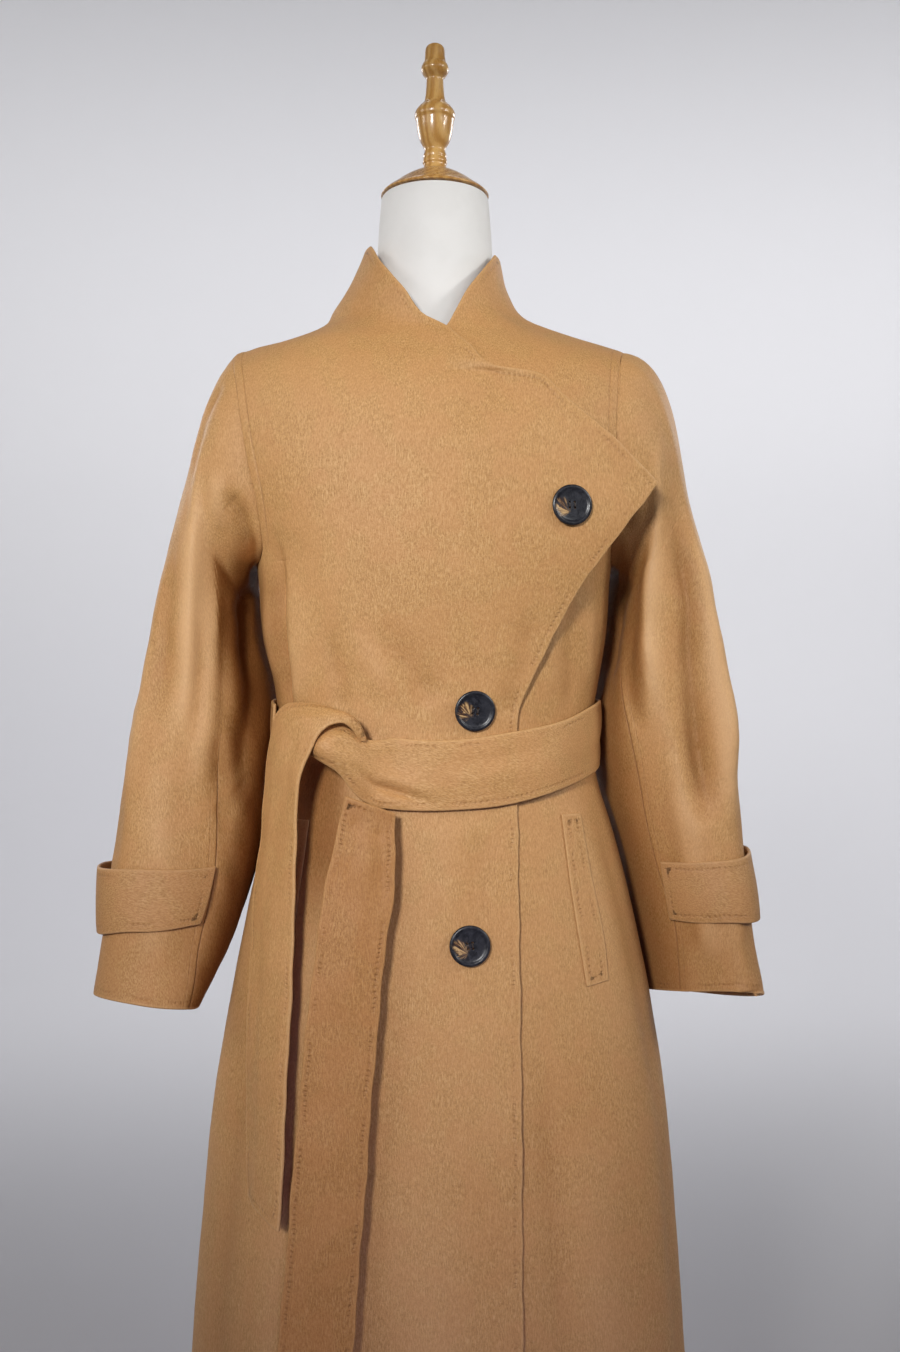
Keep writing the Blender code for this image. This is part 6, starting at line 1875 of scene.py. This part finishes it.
def wool(name, colours=WOOL_CAMEL, run=(0.0, 0.0, 0.0), fleece=1.0, stitch=0.0068, pitch=0.0047,
         offset=(0.0, 0.0, 0.0), pucker=1.0):
    """Double-faced wool with a short brushed nap. run turns the way the nap
    lies, fleece is how deep it is, stitch is how far from an edge the hand
    stitching pulls, and pitch how far apart the stitches are."""
    body, hollow, tip, line = [(*c, 1.0) for c in colours]
    m, tree, bsdf = blank(name)
    coords = tree.nodes.new("ShaderNodeTexCoord").outputs["Object"]
    co = mapping(tree, coords, rotation=run, location=offset)
    # clouds of colour, tufts, and single fibres that lie along the nap
    cloud = noise(tree, co, 7.0, 0.0)
    tinge = noise(tree, mapping(tree, co, location=(2.0, 0.7, 0.0)), 46.0, 0.0)
    tuft = noise(tree, mapping(tree, co, (1.0, 1.0, 0.55)), 760.0, 1.0, 0.90)
    fibre = noise(tree, mapping(tree, co, (1.0, 1.0, 0.16), rotation=(0.22, 0.0, 0.0)), 1250.0, 0.0)

    edge = attribute(tree, "edge")
    along = attribute(tree, "along")
    seam = attribute(tree, "seam")
    seam_on = attribute(tree, "seam_on")
    welt = attribute(tree, "welt")
    welt_on = attribute(tree, "welt_on")
    painted_shade = attribute(tree, "painted_shade")
    painted_highlight = attribute(tree, "painted_highlight")

    # the row of hand stitches: it wanders, and comes and goes
    loose = noise(tree, co, 44.0, 0.0)
    wander = calc(tree, "MULTIPLY", calc(tree, "SUBTRACT", loose, 0.5), 0.0040)
    off = calc(tree, "ABSOLUTE", calc(tree, "SUBTRACT", calc(tree, "ADD", edge, wander), stitch))
    row = band(tree, off, 0.0, 0.0022, 1.0, 0.0)
    phase = calc(tree, "ADD", calc(tree, "MULTIPLY", along, 6.2832 / pitch), calc(tree, "MULTIPLY", loose, 18.0))
    strength = band(tree, loose, 0.36, 0.60, 0.05, 1.0)
    row = calc(tree, "MULTIPLY", row, strength)
    pull = calc(tree, "MULTIPLY", row, band(tree, calc(tree, "SINE", phase), -0.3, 1.0))
    welt_row = calc(tree, "MULTIPLY", band(tree, calc(tree, "ABSOLUTE", calc(tree, "SUBTRACT", welt, ARM_WELT)), 0.0, 0.0010, 1.0, 0.0), welt_on)
    seam_deep = calc(tree, "MULTIPLY", band(tree, seam, 0.0, 0.0012, 1.0, 0.0), seam_on)

    tone = band(tree, calc(tree, "ADD", calc(tree, "MULTIPLY", tuft, 0.80), calc(tree, "MULTIPLY", fibre, 0.20)), 0.30, 0.64, 0.0, 1.0, False)
    colour = mixed(tree, tone, hollow, body)
    lift = band(tree, fibre, 0.50, 0.76, 0.0, 0.55, False)
    colour = mixed(tree, lift, colour, tip)
    # soft rose and gold tinges, a finger's breadth across
    colour = mixed(tree, band(tree, tinge, 0.38, 0.62, 0.0, 0.30), colour, (body[0] * 0.98, body[1] * 0.86, body[2] * 0.92, 1.0))
    colour = mixed(tree, band(tree, cloud, 0.35, 0.65, 0.0, 0.12), colour, tip)
    # painted highlight: paler where the mesh marks the crests of folds
    colour = mixed(tree, calc(tree, "MULTIPLY", painted_highlight, 0.62), colour, (min(tip[0] * 1.10, 1.0), tip[1] * 1.12, tip[2] * 1.25, 1.0))
    # painted shade: darker and deeper in colour where the mesh marks it
    colour = mixed(tree, painted_shade, colour, (0.43, 0.30, 0.21, 1.0), "MULTIPLY")
    mark = calc(tree, "MULTIPLY", calc(tree, "MAXIMUM", calc(tree, "MULTIPLY", row, 0.30), calc(tree, "MULTIPLY", pull, 0.80)), 0.34 * pucker)
    mark = calc(tree, "MAXIMUM", mark, calc(tree, "MULTIPLY", welt_row, 0.28))
    mark = calc(tree, "MAXIMUM", mark, calc(tree, "MULTIPLY", seam_deep, 0.50))
    colour = mixed(tree, mark, colour, line)
    # paler within about 3 mm of a raw edge
    colour = mixed(tree, band(tree, edge, 0.0006, 0.0034, 0.42, 0.0), colour, tip)
    tree.links.new(colour, bsdf.inputs["Base Color"])

    tree.links.new(band(tree, tuft, 0.3, 0.7, 0.68, 0.56, False), bsdf.inputs["Roughness"])

    height = calc(tree, "MULTIPLY", tuft, 0.43 * fleece)
    height = calc(tree, "SUBTRACT", height, calc(tree, "MULTIPLY", pull, 0.55 * pucker))
    height = calc(tree, "SUBTRACT", height, calc(tree, "MULTIPLY", row, 0.20 * pucker))
    height = calc(tree, "SUBTRACT", height, calc(tree, "MULTIPLY", welt_row, 0.35))
    bump = node(tree, "ShaderNodeBump", {"Strength": 1.0, "Distance": 0.0008})
    tree.links.new(height, bump.inputs["Height"])
    tree.links.new(bump.outputs[0], bsdf.inputs["Normal"])
    tree.links.new(band(tree, painted_shade, 0.0, 0.8, 0.50, 0.10, False), bsdf.inputs["Specular IOR Level"])
    return m


def jersey(name):
    """Taut knitted cover of the form: fine wales, a soft pale cloth."""
    m, tree, bsdf = blank(name)
    co = tree.nodes.new("ShaderNodeTexCoord").outputs["Object"]
    parts = node(tree, "ShaderNodeSeparateXYZ", {0: co})
    turn = calc(tree, "ARCTAN2", parts.outputs[0], parts.outputs[1])
    wale = calc(tree, "SINE", calc(tree, "MULTIPLY", turn, 380.0))
    course = calc(tree, "SINE", calc(tree, "ADD", calc(tree, "MULTIPLY", parts.outputs[2], 7400.0),
                                     calc(tree, "MULTIPLY", calc(tree, "ABSOLUTE", wale), 1.4)))
    knit = calc(tree, "MULTIPLY", calc(tree, "ADD", wale, 1.0), calc(tree, "ADD", course, 1.0))
    soft = noise(tree, co, 34.0, 3.0, 0.5)
    fuzz = noise(tree, co, 700.0, 2.0, 0.6)
    colour = mixed(tree, band(tree, soft, 0.35, 0.65, 0.0, 0.5), (0.760, 0.752, 0.735, 1.0), (0.815, 0.808, 0.795, 1.0))
    colour = mixed(tree, band(tree, knit, 0.0, 1.2, 0.16, 0.0), colour, (0.60, 0.59, 0.575, 1.0))
    tree.links.new(colour, bsdf.inputs["Base Color"])
    tree.links.new(band(tree, fuzz, 0.3, 0.7, 0.72, 0.90, False), bsdf.inputs["Roughness"])
    height = calc(tree, "ADD", calc(tree, "MULTIPLY", knit, 0.12), calc(tree, "MULTIPLY", fuzz, 0.20))
    bump = node(tree, "ShaderNodeBump", {"Strength": 0.5, "Distance": 0.0004})
    tree.links.new(height, bump.inputs["Height"])
    tree.links.new(bump.outputs[0], bsdf.inputs["Normal"])
    bsdf.inputs["Specular IOR Level"].default_value = 0.25
    bsdf.inputs["Sheen Weight"].default_value = 0.15
    return m


def turned_wood(name, light=(0.640, 0.375, 0.120), dark=(0.440, 0.205, 0.045), axis=(0.0, 0.0)):
    """Varnished turned wood: long grain up the axis, growth bands, gloss."""
    m, tree, bsdf = blank(name)
    co = tree.nodes.new("ShaderNodeTexCoord").outputs["Object"]
    long = mapping(tree, co, (1.0, 1.0, 0.07), location=(0.31, 0.12, 0.0))
    warp = noise(tree, mapping(tree, co, (1.0, 1.0, 0.30)), 26.0, 2.0)
    ringed = node(tree, "ShaderNodeTexWave", {"Scale": 46.0, "Distortion": 5.0, "Detail": 2.5, "Detail Scale": 1.6},
                  wave_type="BANDS", bands_direction="X")
    tree.links.new(mapping(tree, long, rotation=(0.0, 0.0, 0.7)), ringed.inputs["Vector"])
    streak = noise(tree, long, 620.0, 3.0, 0.6, 0.4)
    pore = noise(tree, mapping(tree, co, (1.0, 1.0, 0.05)), 1500.0, 1.0, 0.5)
    tone = calc(tree, "ADD", calc(tree, "MULTIPLY", ringed.outputs[1], 0.45), calc(tree, "MULTIPLY", streak, 0.55))
    tone = calc(tree, "ADD", tone, calc(tree, "MULTIPLY", calc(tree, "SUBTRACT", warp, 0.5), 0.5))
    colour = mixed(tree, band(tree, tone, 0.25, 0.85), (*dark, 1.0), (*light, 1.0))
    colour = mixed(tree, band(tree, pore, 0.62, 0.74, 0.0, 0.35), colour, (0.250, 0.105, 0.022, 1.0))
    tree.links.new(colour, bsdf.inputs["Base Color"])
    tree.links.new(band(tree, streak, 0.3, 0.7, 0.34, 0.24, False), bsdf.inputs["Roughness"])
    bump = node(tree, "ShaderNodeBump", {"Strength": 0.25, "Distance": 0.0003})
    tree.links.new(calc(tree, "ADD", streak, calc(tree, "MULTIPLY", pore, 0.5)), bump.inputs["Height"])
    tree.links.new(bump.outputs[0], bsdf.inputs["Normal"])
    bsdf.inputs["Specular IOR Level"].default_value = 0.45
    bsdf.inputs["Coat Weight"].default_value = 0.55
    bsdf.inputs["Coat Roughness"].default_value = 0.12
    return m


def horn(name, seed):
    """Dark polished horn with a paler streaked patch that fans from one side."""
    m, tree, bsdf = blank(name)
    co = tree.nodes.new("ShaderNodeTexCoord").outputs["Object"]
    co = mapping(tree, co, location=(0.0, 0.0, 0.0))
    parts = node(tree, "ShaderNodeSeparateXYZ", {0: co})
    x, y = parts.outputs[0], parts.outputs[1]
    shift = calc(tree, "MULTIPLY", calc(tree, "SUBTRACT", noise(tree, mapping(tree, co, location=(seed, 0.0, 0.0)), 150.0, 2.0), 0.5), 0.012)
    xx = calc(tree, "ADD", x, shift)
    # the patch lies at the left of the dish
    dx = calc(tree, "DIVIDE", calc(tree, "ADD", xx, 0.0088), 0.0072)
    dy = calc(tree, "DIVIDE", calc(tree, "ADD", y, 0.0012), 0.0088)
    far = calc(tree, "SQRT", calc(tree, "ADD", calc(tree, "MULTIPLY", dx, dx), calc(tree, "MULTIPLY", dy, dy)))
    patch = band(tree, far, 0.60, 1.10, 1.0, 0.0)
    fan = calc(tree, "ARCTAN2", calc(tree, "ADD", y, 0.0060), calc(tree, "ADD", x, 0.0030))
    streaks = noise(tree, node(tree, "ShaderNodeCombineXYZ", {0: calc(tree, "MULTIPLY", fan, 1.0), 1: calc(tree, "MULTIPLY", far, 0.16), 2: seed}).outputs[0], 5.2, 4.0, 0.62, 0.7)
    lines = band(tree, streaks, 0.46, 0.60)
    cream = calc(tree, "MULTIPLY", patch, lines)
    brown = calc(tree, "MULTIPLY", patch, band(tree, streaks, 0.36, 0.52))
    smoke = noise(tree, mapping(tree, co, location=(0.0, seed, 0.0)), 170.0, 3.0, 0.5, 1.2)
    colour = mixed(tree, band(tree, smoke, 0.35, 0.70), (0.0075, 0.0080, 0.0120, 1.0), (0.0260, 0.0270, 0.0340, 1.0))
    colour = mixed(tree, calc(tree, "MULTIPLY", brown, 0.85), colour, (0.120, 0.048, 0.016, 1.0))
    colour = mixed(tree, calc(tree, "MULTIPLY", cream, 0.90), colour, (0.560, 0.370, 0.170, 1.0))
    tree.links.new(colour, bsdf.inputs["Base Color"])
    scratch = noise(tree, mapping(tree, co, (1.0, 0.1, 1.0), rotation=(0.0, 0.0, 0.6)), 2600.0, 2.0)
    tree.links.new(band(tree, scratch, 0.3, 0.75, 0.26, 0.40, False), bsdf.inputs["Roughness"])
    bump = node(tree, "ShaderNodeBump", {"Strength": 0.15, "Distance": 0.0002})
    tree.links.new(calc(tree, "ADD", scratch, smoke), bump.inputs["Height"])
    tree.links.new(bump.outputs[0], bsdf.inputs["Normal"])
    bsdf.inputs["Specular IOR Level"].default_value = 0.5
    return m


def thread_stuff(name):
    m, tree, bsdf = blank(name)
    co = tree.nodes.new("ShaderNodeTexCoord").outputs["Object"]
    ply = noise(tree, mapping(tree, co, (1.0, 1.0, 1.0), rotation=(0.0, 0.0, 0.7)), 2400.0, 2.0)
    tree.links.new(mixed(tree, ply, (0.020, 0.014, 0.012, 1.0), (0.070, 0.048, 0.036, 1.0)), bsdf.inputs["Base Color"])
    tree.links.new(band(tree, ply, 0.3, 0.7, 0.6, 0.85), bsdf.inputs["Roughness"])
    bump = node(tree, "ShaderNodeBump", {"Strength": 0.6, "Distance": 0.0002})
    tree.links.new(ply, bump.inputs["Height"])
    tree.links.new(bump.outputs[0], bsdf.inputs["Normal"])
    return m


def brushed_steel(name):
    m, tree, bsdf = blank(name)
    co = tree.nodes.new("ShaderNodeTexCoord").outputs["Object"]
    lines = noise(tree, mapping(tree, co, (1.0, 1.0, 60.0)), 40.0, 4.0, 0.6)
    smear = noise(tree, co, 18.0, 3.0)
    tree.links.new(mixed(tree, smear, (0.60, 0.60, 0.61, 1.0), (0.72, 0.72, 0.72, 1.0)), bsdf.inputs["Base Color"])
    tree.links.new(band(tree, calc(tree, "ADD", calc(tree, "MULTIPLY", lines, 0.6), calc(tree, "MULTIPLY", smear, 0.4)), 0.3, 0.7, 0.24, 0.40, False), bsdf.inputs["Roughness"])
    bump = node(tree, "ShaderNodeBump", {"Strength": 0.12, "Distance": 0.0002})
    tree.links.new(lines, bump.inputs["Height"])
    tree.links.new(bump.outputs[0], bsdf.inputs["Normal"])
    bsdf.inputs["Metallic"].default_value = 1.0
    return m

# ------------------------------------------------------------- the object


def take(obj, slot, *nodes):
    """The piece stands for CAD nodes and rides the one body. slot is not used."""
    if nodes:
        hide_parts(*nodes)
    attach(obj, "root")
    return obj


def cloth(obj, node_names):
    take(obj, "wool", *node_names)
    return obj


WOOL_MAIN = wool("wool_camel")
WOOL_SLEEVE_R = wool("wool_sleeve_right", run=(0.0, 0.14, 0.0), offset=(0.3, 0.0, 0.1))
WOOL_SLEEVE_L = wool("wool_sleeve_left", run=(0.0, -0.14, 0.0), offset=(0.1, 0.2, 0.4))
WOOL_BAND = wool("wool_band", run=(0.0, 1.35, 0.0), offset=(0.2, 0.5, 0.0), stitch=0.0062)
WOOL_STRIP = wool("wool_strip", offset=(0.7, 0.1, 0.2), stitch=0.0060)
# the left hanging end in a darker copy of the wool: painted shade
WOOL_STRIP_SHADED = wool("wool_strip_shaded", WOOL_END_SHADED, offset=(0.4, 0.8, 0.1), stitch=0.0060, pucker=1.3)
# the cuff straps in a darker copy of the wool: painted shade
WOOL_STRAP = wool("wool_strap", WOOL_CUFF_SHADED, run=(0.0, 1.45, 0.0), offset=(0.9, 0.3, 0.0), stitch=0.0072)

torso = take(make_form(jersey("form_jersey")), "form_cover", "form_torso")
wood = turned_wood("turned_beech")
wood_knob = turned_wood("turned_beech_knob", (0.690, 0.415, 0.140), (0.500, 0.250, 0.060))
cap = take(lathe("neck_cap_turned", refine_profile(CAP_TURNING, 5), 128, wood, (0, 0, NECK_TOP_Z - 0.0003)),
           "turned_wood", "neck_cap")
knob = take(lathe("finial_turned", refine_profile(FINIAL_TURNING, 4), 96, wood_knob, (0, 0, NECK_TOP_Z - 0.0003)),
            "turned_wood", "finial")
pole = take(lathe("pole_turned", pole_profile(), 64, brushed_steel("satin_steel")), "pole_metal", "pole")
stand = take(lathe("base_turned", refine_profile(base_profile(), 2), 160, wood), "turned_wood", "base")

cloth(make_front_right(WOOL_MAIN), ["front_right"])
cloth(make_front_left(WOOL_MAIN), ["front_left"])
cloth(make_coat_back(WOOL_MAIN), ["coat_back"])
cloth(make_collar_back(WOOL_MAIN), ["collar_back"])
for which, side, table, shared, folds, mat in (("right", -1, SLEEVE_RIGHT, 108, FOLDS_RIGHT, WOOL_SLEEVE_R),
                                               ("left", 1, SLEEVE_LEFT, 132, FOLDS_LEFT, WOOL_SLEEVE_L)):
    for o, part in zip(make_sleeve(which, side, table, shared, folds, (mat, mat)), ("upper", "under")):
        key = f"sleeve_{part}_{which}"
        cloth(o, [key])
for which, side, table, edges in (("right", -1, SLEEVE_RIGHT, STRAP_RIGHT), ("left", 1, SLEEVE_LEFT, STRAP_LEFT)):
    key = f"cuff_strap_{which}"
    cloth(make_strap(key + "_cloth", which, side, table, edges, WOOL_STRAP), [key])
cloth(make_band(WOOL_BAND), ["belt_band", "belt_knot"])
cloth(make_end_right(WOOL_STRIP), ["belt_end_right"])
cloth(make_end_left(WOOL_STRIP_SHADED), ["belt_end_left"])
for which, table, side in (("left", WELT_LEFT, 1), ("right", WELT_RIGHT, -1)):
    key = f"pocket_welt_{which}"
    cloth(make_welt(key + "_cloth", table, side, WOOL_MAIN), [key])
thread_mat = thread_stuff("sewing_thread")
for i, (x, z) in enumerate(BUTTONS):
    face, thread = make_button(f"button_{i + 1}_horn", x, z, (4.0, -6.0, 9.0)[i], horn(f"horn_{i + 1}", 1.7 + 2.3 * i), thread_mat)
    take(face, "horn", f"button_{i + 1}")
    take(thread, "horn")

# ------------------------------------------------- floor, backdrop and light


def studio():
    """Pale seamless bowl: a floor that sweeps up into a wall all round."""
    r_floor, r_wall, high, bend = 3.6, 5.6, 6.5, 2.0
    profile = [(0.0, 0.0), (0.5, 0.0), (1.2, 0.0), (2.2, 0.0), (3.0, 0.0)]
    for k in range(25):
        a = math.pi / 2 * k / 24
        profile.append((r_floor + bend * math.sin(a), bend * (1 - math.cos(a))))
    profile += [(r_wall, 2.6), (r_wall, 3.4), (r_wall, 4.6), (r_wall, high)]
    seg = 128
    pts = [(0.0, 0.0, -0.0005)]
    faces = []
    for k, (r, h) in enumerate(profile[1:]):
        for i in range(seg):
            a = 2 * math.pi * i / seg
            pts.append((r * math.sin(a), -r * math.cos(a), h - 0.0005))
    for i in range(seg):
        faces.append((0, 1 + i, 1 + (i + 1) % seg))
    for k in range(len(profile) - 2):
        for i in range(seg):
            a, b = 1 + k * seg + i, 1 + k * seg + (i + 1) % seg
            faces.append((a, a + seg, b + seg, b))
    mesh = bpy.data.meshes.new("studio_floor_backdrop")
    mesh.from_pydata(pts, [], faces)
    mesh.update()
    mesh.shade_smooth()
    o = bpy.data.objects.new("studio_floor_backdrop", mesh)
    bpy.context.scene.collection.objects.link(o)
    m, tree, bsdf = blank("backdrop_paper")
    co = tree.nodes.new("ShaderNodeTexCoord").outputs["Object"]
    h = node(tree, "ShaderNodeSeparateXYZ", {0: co}).outputs[2]
    # painted shade: the paper is darker low down, towards the floor
    colour = mixed(tree, band(tree, h, 0.0, 2.4), (*STUDIO_LOW, 1.0), (*STUDIO_HIGH, 1.0))
    tree.links.new(colour, bsdf.inputs["Base Color"])
    bsdf.inputs["Roughness"].default_value = 0.92
    bsdf.inputs["Specular IOR Level"].default_value = 0.0
    mesh.materials.append(m)


def soft_light(name, place, aim, size, power, colour=(1.0, 1.0, 1.0)):
    data = bpy.data.lights.new(name, "AREA")
    data.shape = "RECTANGLE"
    data.size, data.size_y = size
    data.energy = power
    data.color = colour
    o = bpy.data.objects.new(name, data)
    bpy.context.scene.collection.objects.link(o)
    o.location = place
    o.rotation_mode = "QUATERNION"
    o.rotation_quaternion = (Vector(aim) - Vector(place)).to_track_quat("-Z", "Y")
    o.visible_camera = False
    o.visible_glossy = True
    return o


# greys of the backdrop paper low down and high up; the darker low grey is painted shade
STUDIO_LOW = (0.60, 0.60, 0.62)
STUDIO_HIGH = (0.70, 0.70, 0.715)
WALL_LIGHTS = (
    ("wall_low", (0.55, 2.20, 3.00), (0.55, 5.6, 1.2), (5.0, 1.0), 104.0, (0.990, 0.988, 1.0)),
    ("wall_high", (-0.10, 2.00, 4.60), (-0.30, 5.6, 1.2), (5.0, 1.0), 66.0, (0.990, 0.988, 1.0)),
)
# Round soft lamps: place, aim, half angle of the beam, radius, power, colour.
LAMP_COLUMNS = ("name", "place", "aim", "half", "radius", "power", "colour")
LAMPS = (
    ("key_left", (-0.86, -2.72, 1.95), (0.0, 0.0, 1.085), 15.4, 0.28, 292.0, (1.0, 0.985, 0.97)),
    ("window_left", (-2.4, -2.4, 1.9), (0.0, 0.0, 1.10), 13.5, 0.60, 34.0, (1.0, 0.98, 0.96)),
    ("window_right", (2.1, -2.4, 2.5), (0.0, 0.0, 1.20), 13.5, 0.50, 84.0, (0.95, 0.98, 1.0)),
    ("side_right", (2.6, -0.9, 2.3), (0.0, 0.0, 1.10), 17.0, 0.50, 128.0, (1.0, 0.98, 0.93)),
    ("side_left", (-2.6, -0.9, 2.1), (0.0, 0.0, 1.10), 17.0, 0.50, 62.0, (1.0, 0.98, 0.95)),
    ("neck_right", (2.3, -1.2, 1.9), (0.03, 0.0, 1.485), 4.4, 0.15, 64.0, (1.0, 0.99, 0.98)),
    ("low_fill", (0.3, -2.6, 0.6), (0.0, 0.0, 0.35), 15.5, 0.50, 88.0, (0.48, 0.40, 1.0)),
    ("behind_left", (-2.4, 2.4, 2.3), (0.0, 0.0, 1.00), 26.0, 0.50, 92.0, (1.0, 0.99, 0.98)),
    ("behind_right", (2.4, 2.4, 2.3), (0.0, 0.0, 1.00), 26.0, 0.50, 92.0, (1.0, 0.99, 0.98)),
)


def soft_lamp(name, place, aim, half, radius, power, colour):
    data = bpy.data.lights.new(name, "SPOT")
    data.spot_size = math.radians(2 * half)
    data.spot_blend = 1.0
    data.shadow_soft_size = radius
    data.energy = power
    data.color = colour
    o = bpy.data.objects.new(name, data)
    bpy.context.scene.collection.objects.link(o)
    o.location = place
    o.rotation_mode = "QUATERNION"
    o.rotation_quaternion = (Vector(aim) - Vector(place)).to_track_quat("-Z", "Y")
    o.visible_camera = False
    o.visible_glossy = name != "low_fill"


studio()
for row in WALL_LIGHTS:
    soft_light(*row)
for row in LAMPS:
    soft_lamp(*row)
world = bpy.data.worlds.new("studio_air")
world.use_nodes = True
world.node_tree.nodes["Background"].inputs[0].default_value = (0.98, 0.90, 1.0, 1.0)
world.node_tree.nodes["Background"].inputs[1].default_value = 0.05
bpy.context.scene.world = world

camera = bpy.data.objects.new("camera", bpy.data.cameras.new("camera"))
bpy.context.scene.collection.objects.link(camera)
camera.location = (0.0146, -1.275, 1.06)
camera.rotation_euler = (math.radians(90.0), 0.0, 0.0)
camera.data.lens = 35.0
camera.data.sensor_width = 36.0
camera.data.clip_start, camera.data.clip_end = 0.05, 60.0
bpy.context.scene.camera = camera
bpy.context.scene.view_settings.view_transform = "Standard"
bpy.context.scene.view_settings.look = "None"
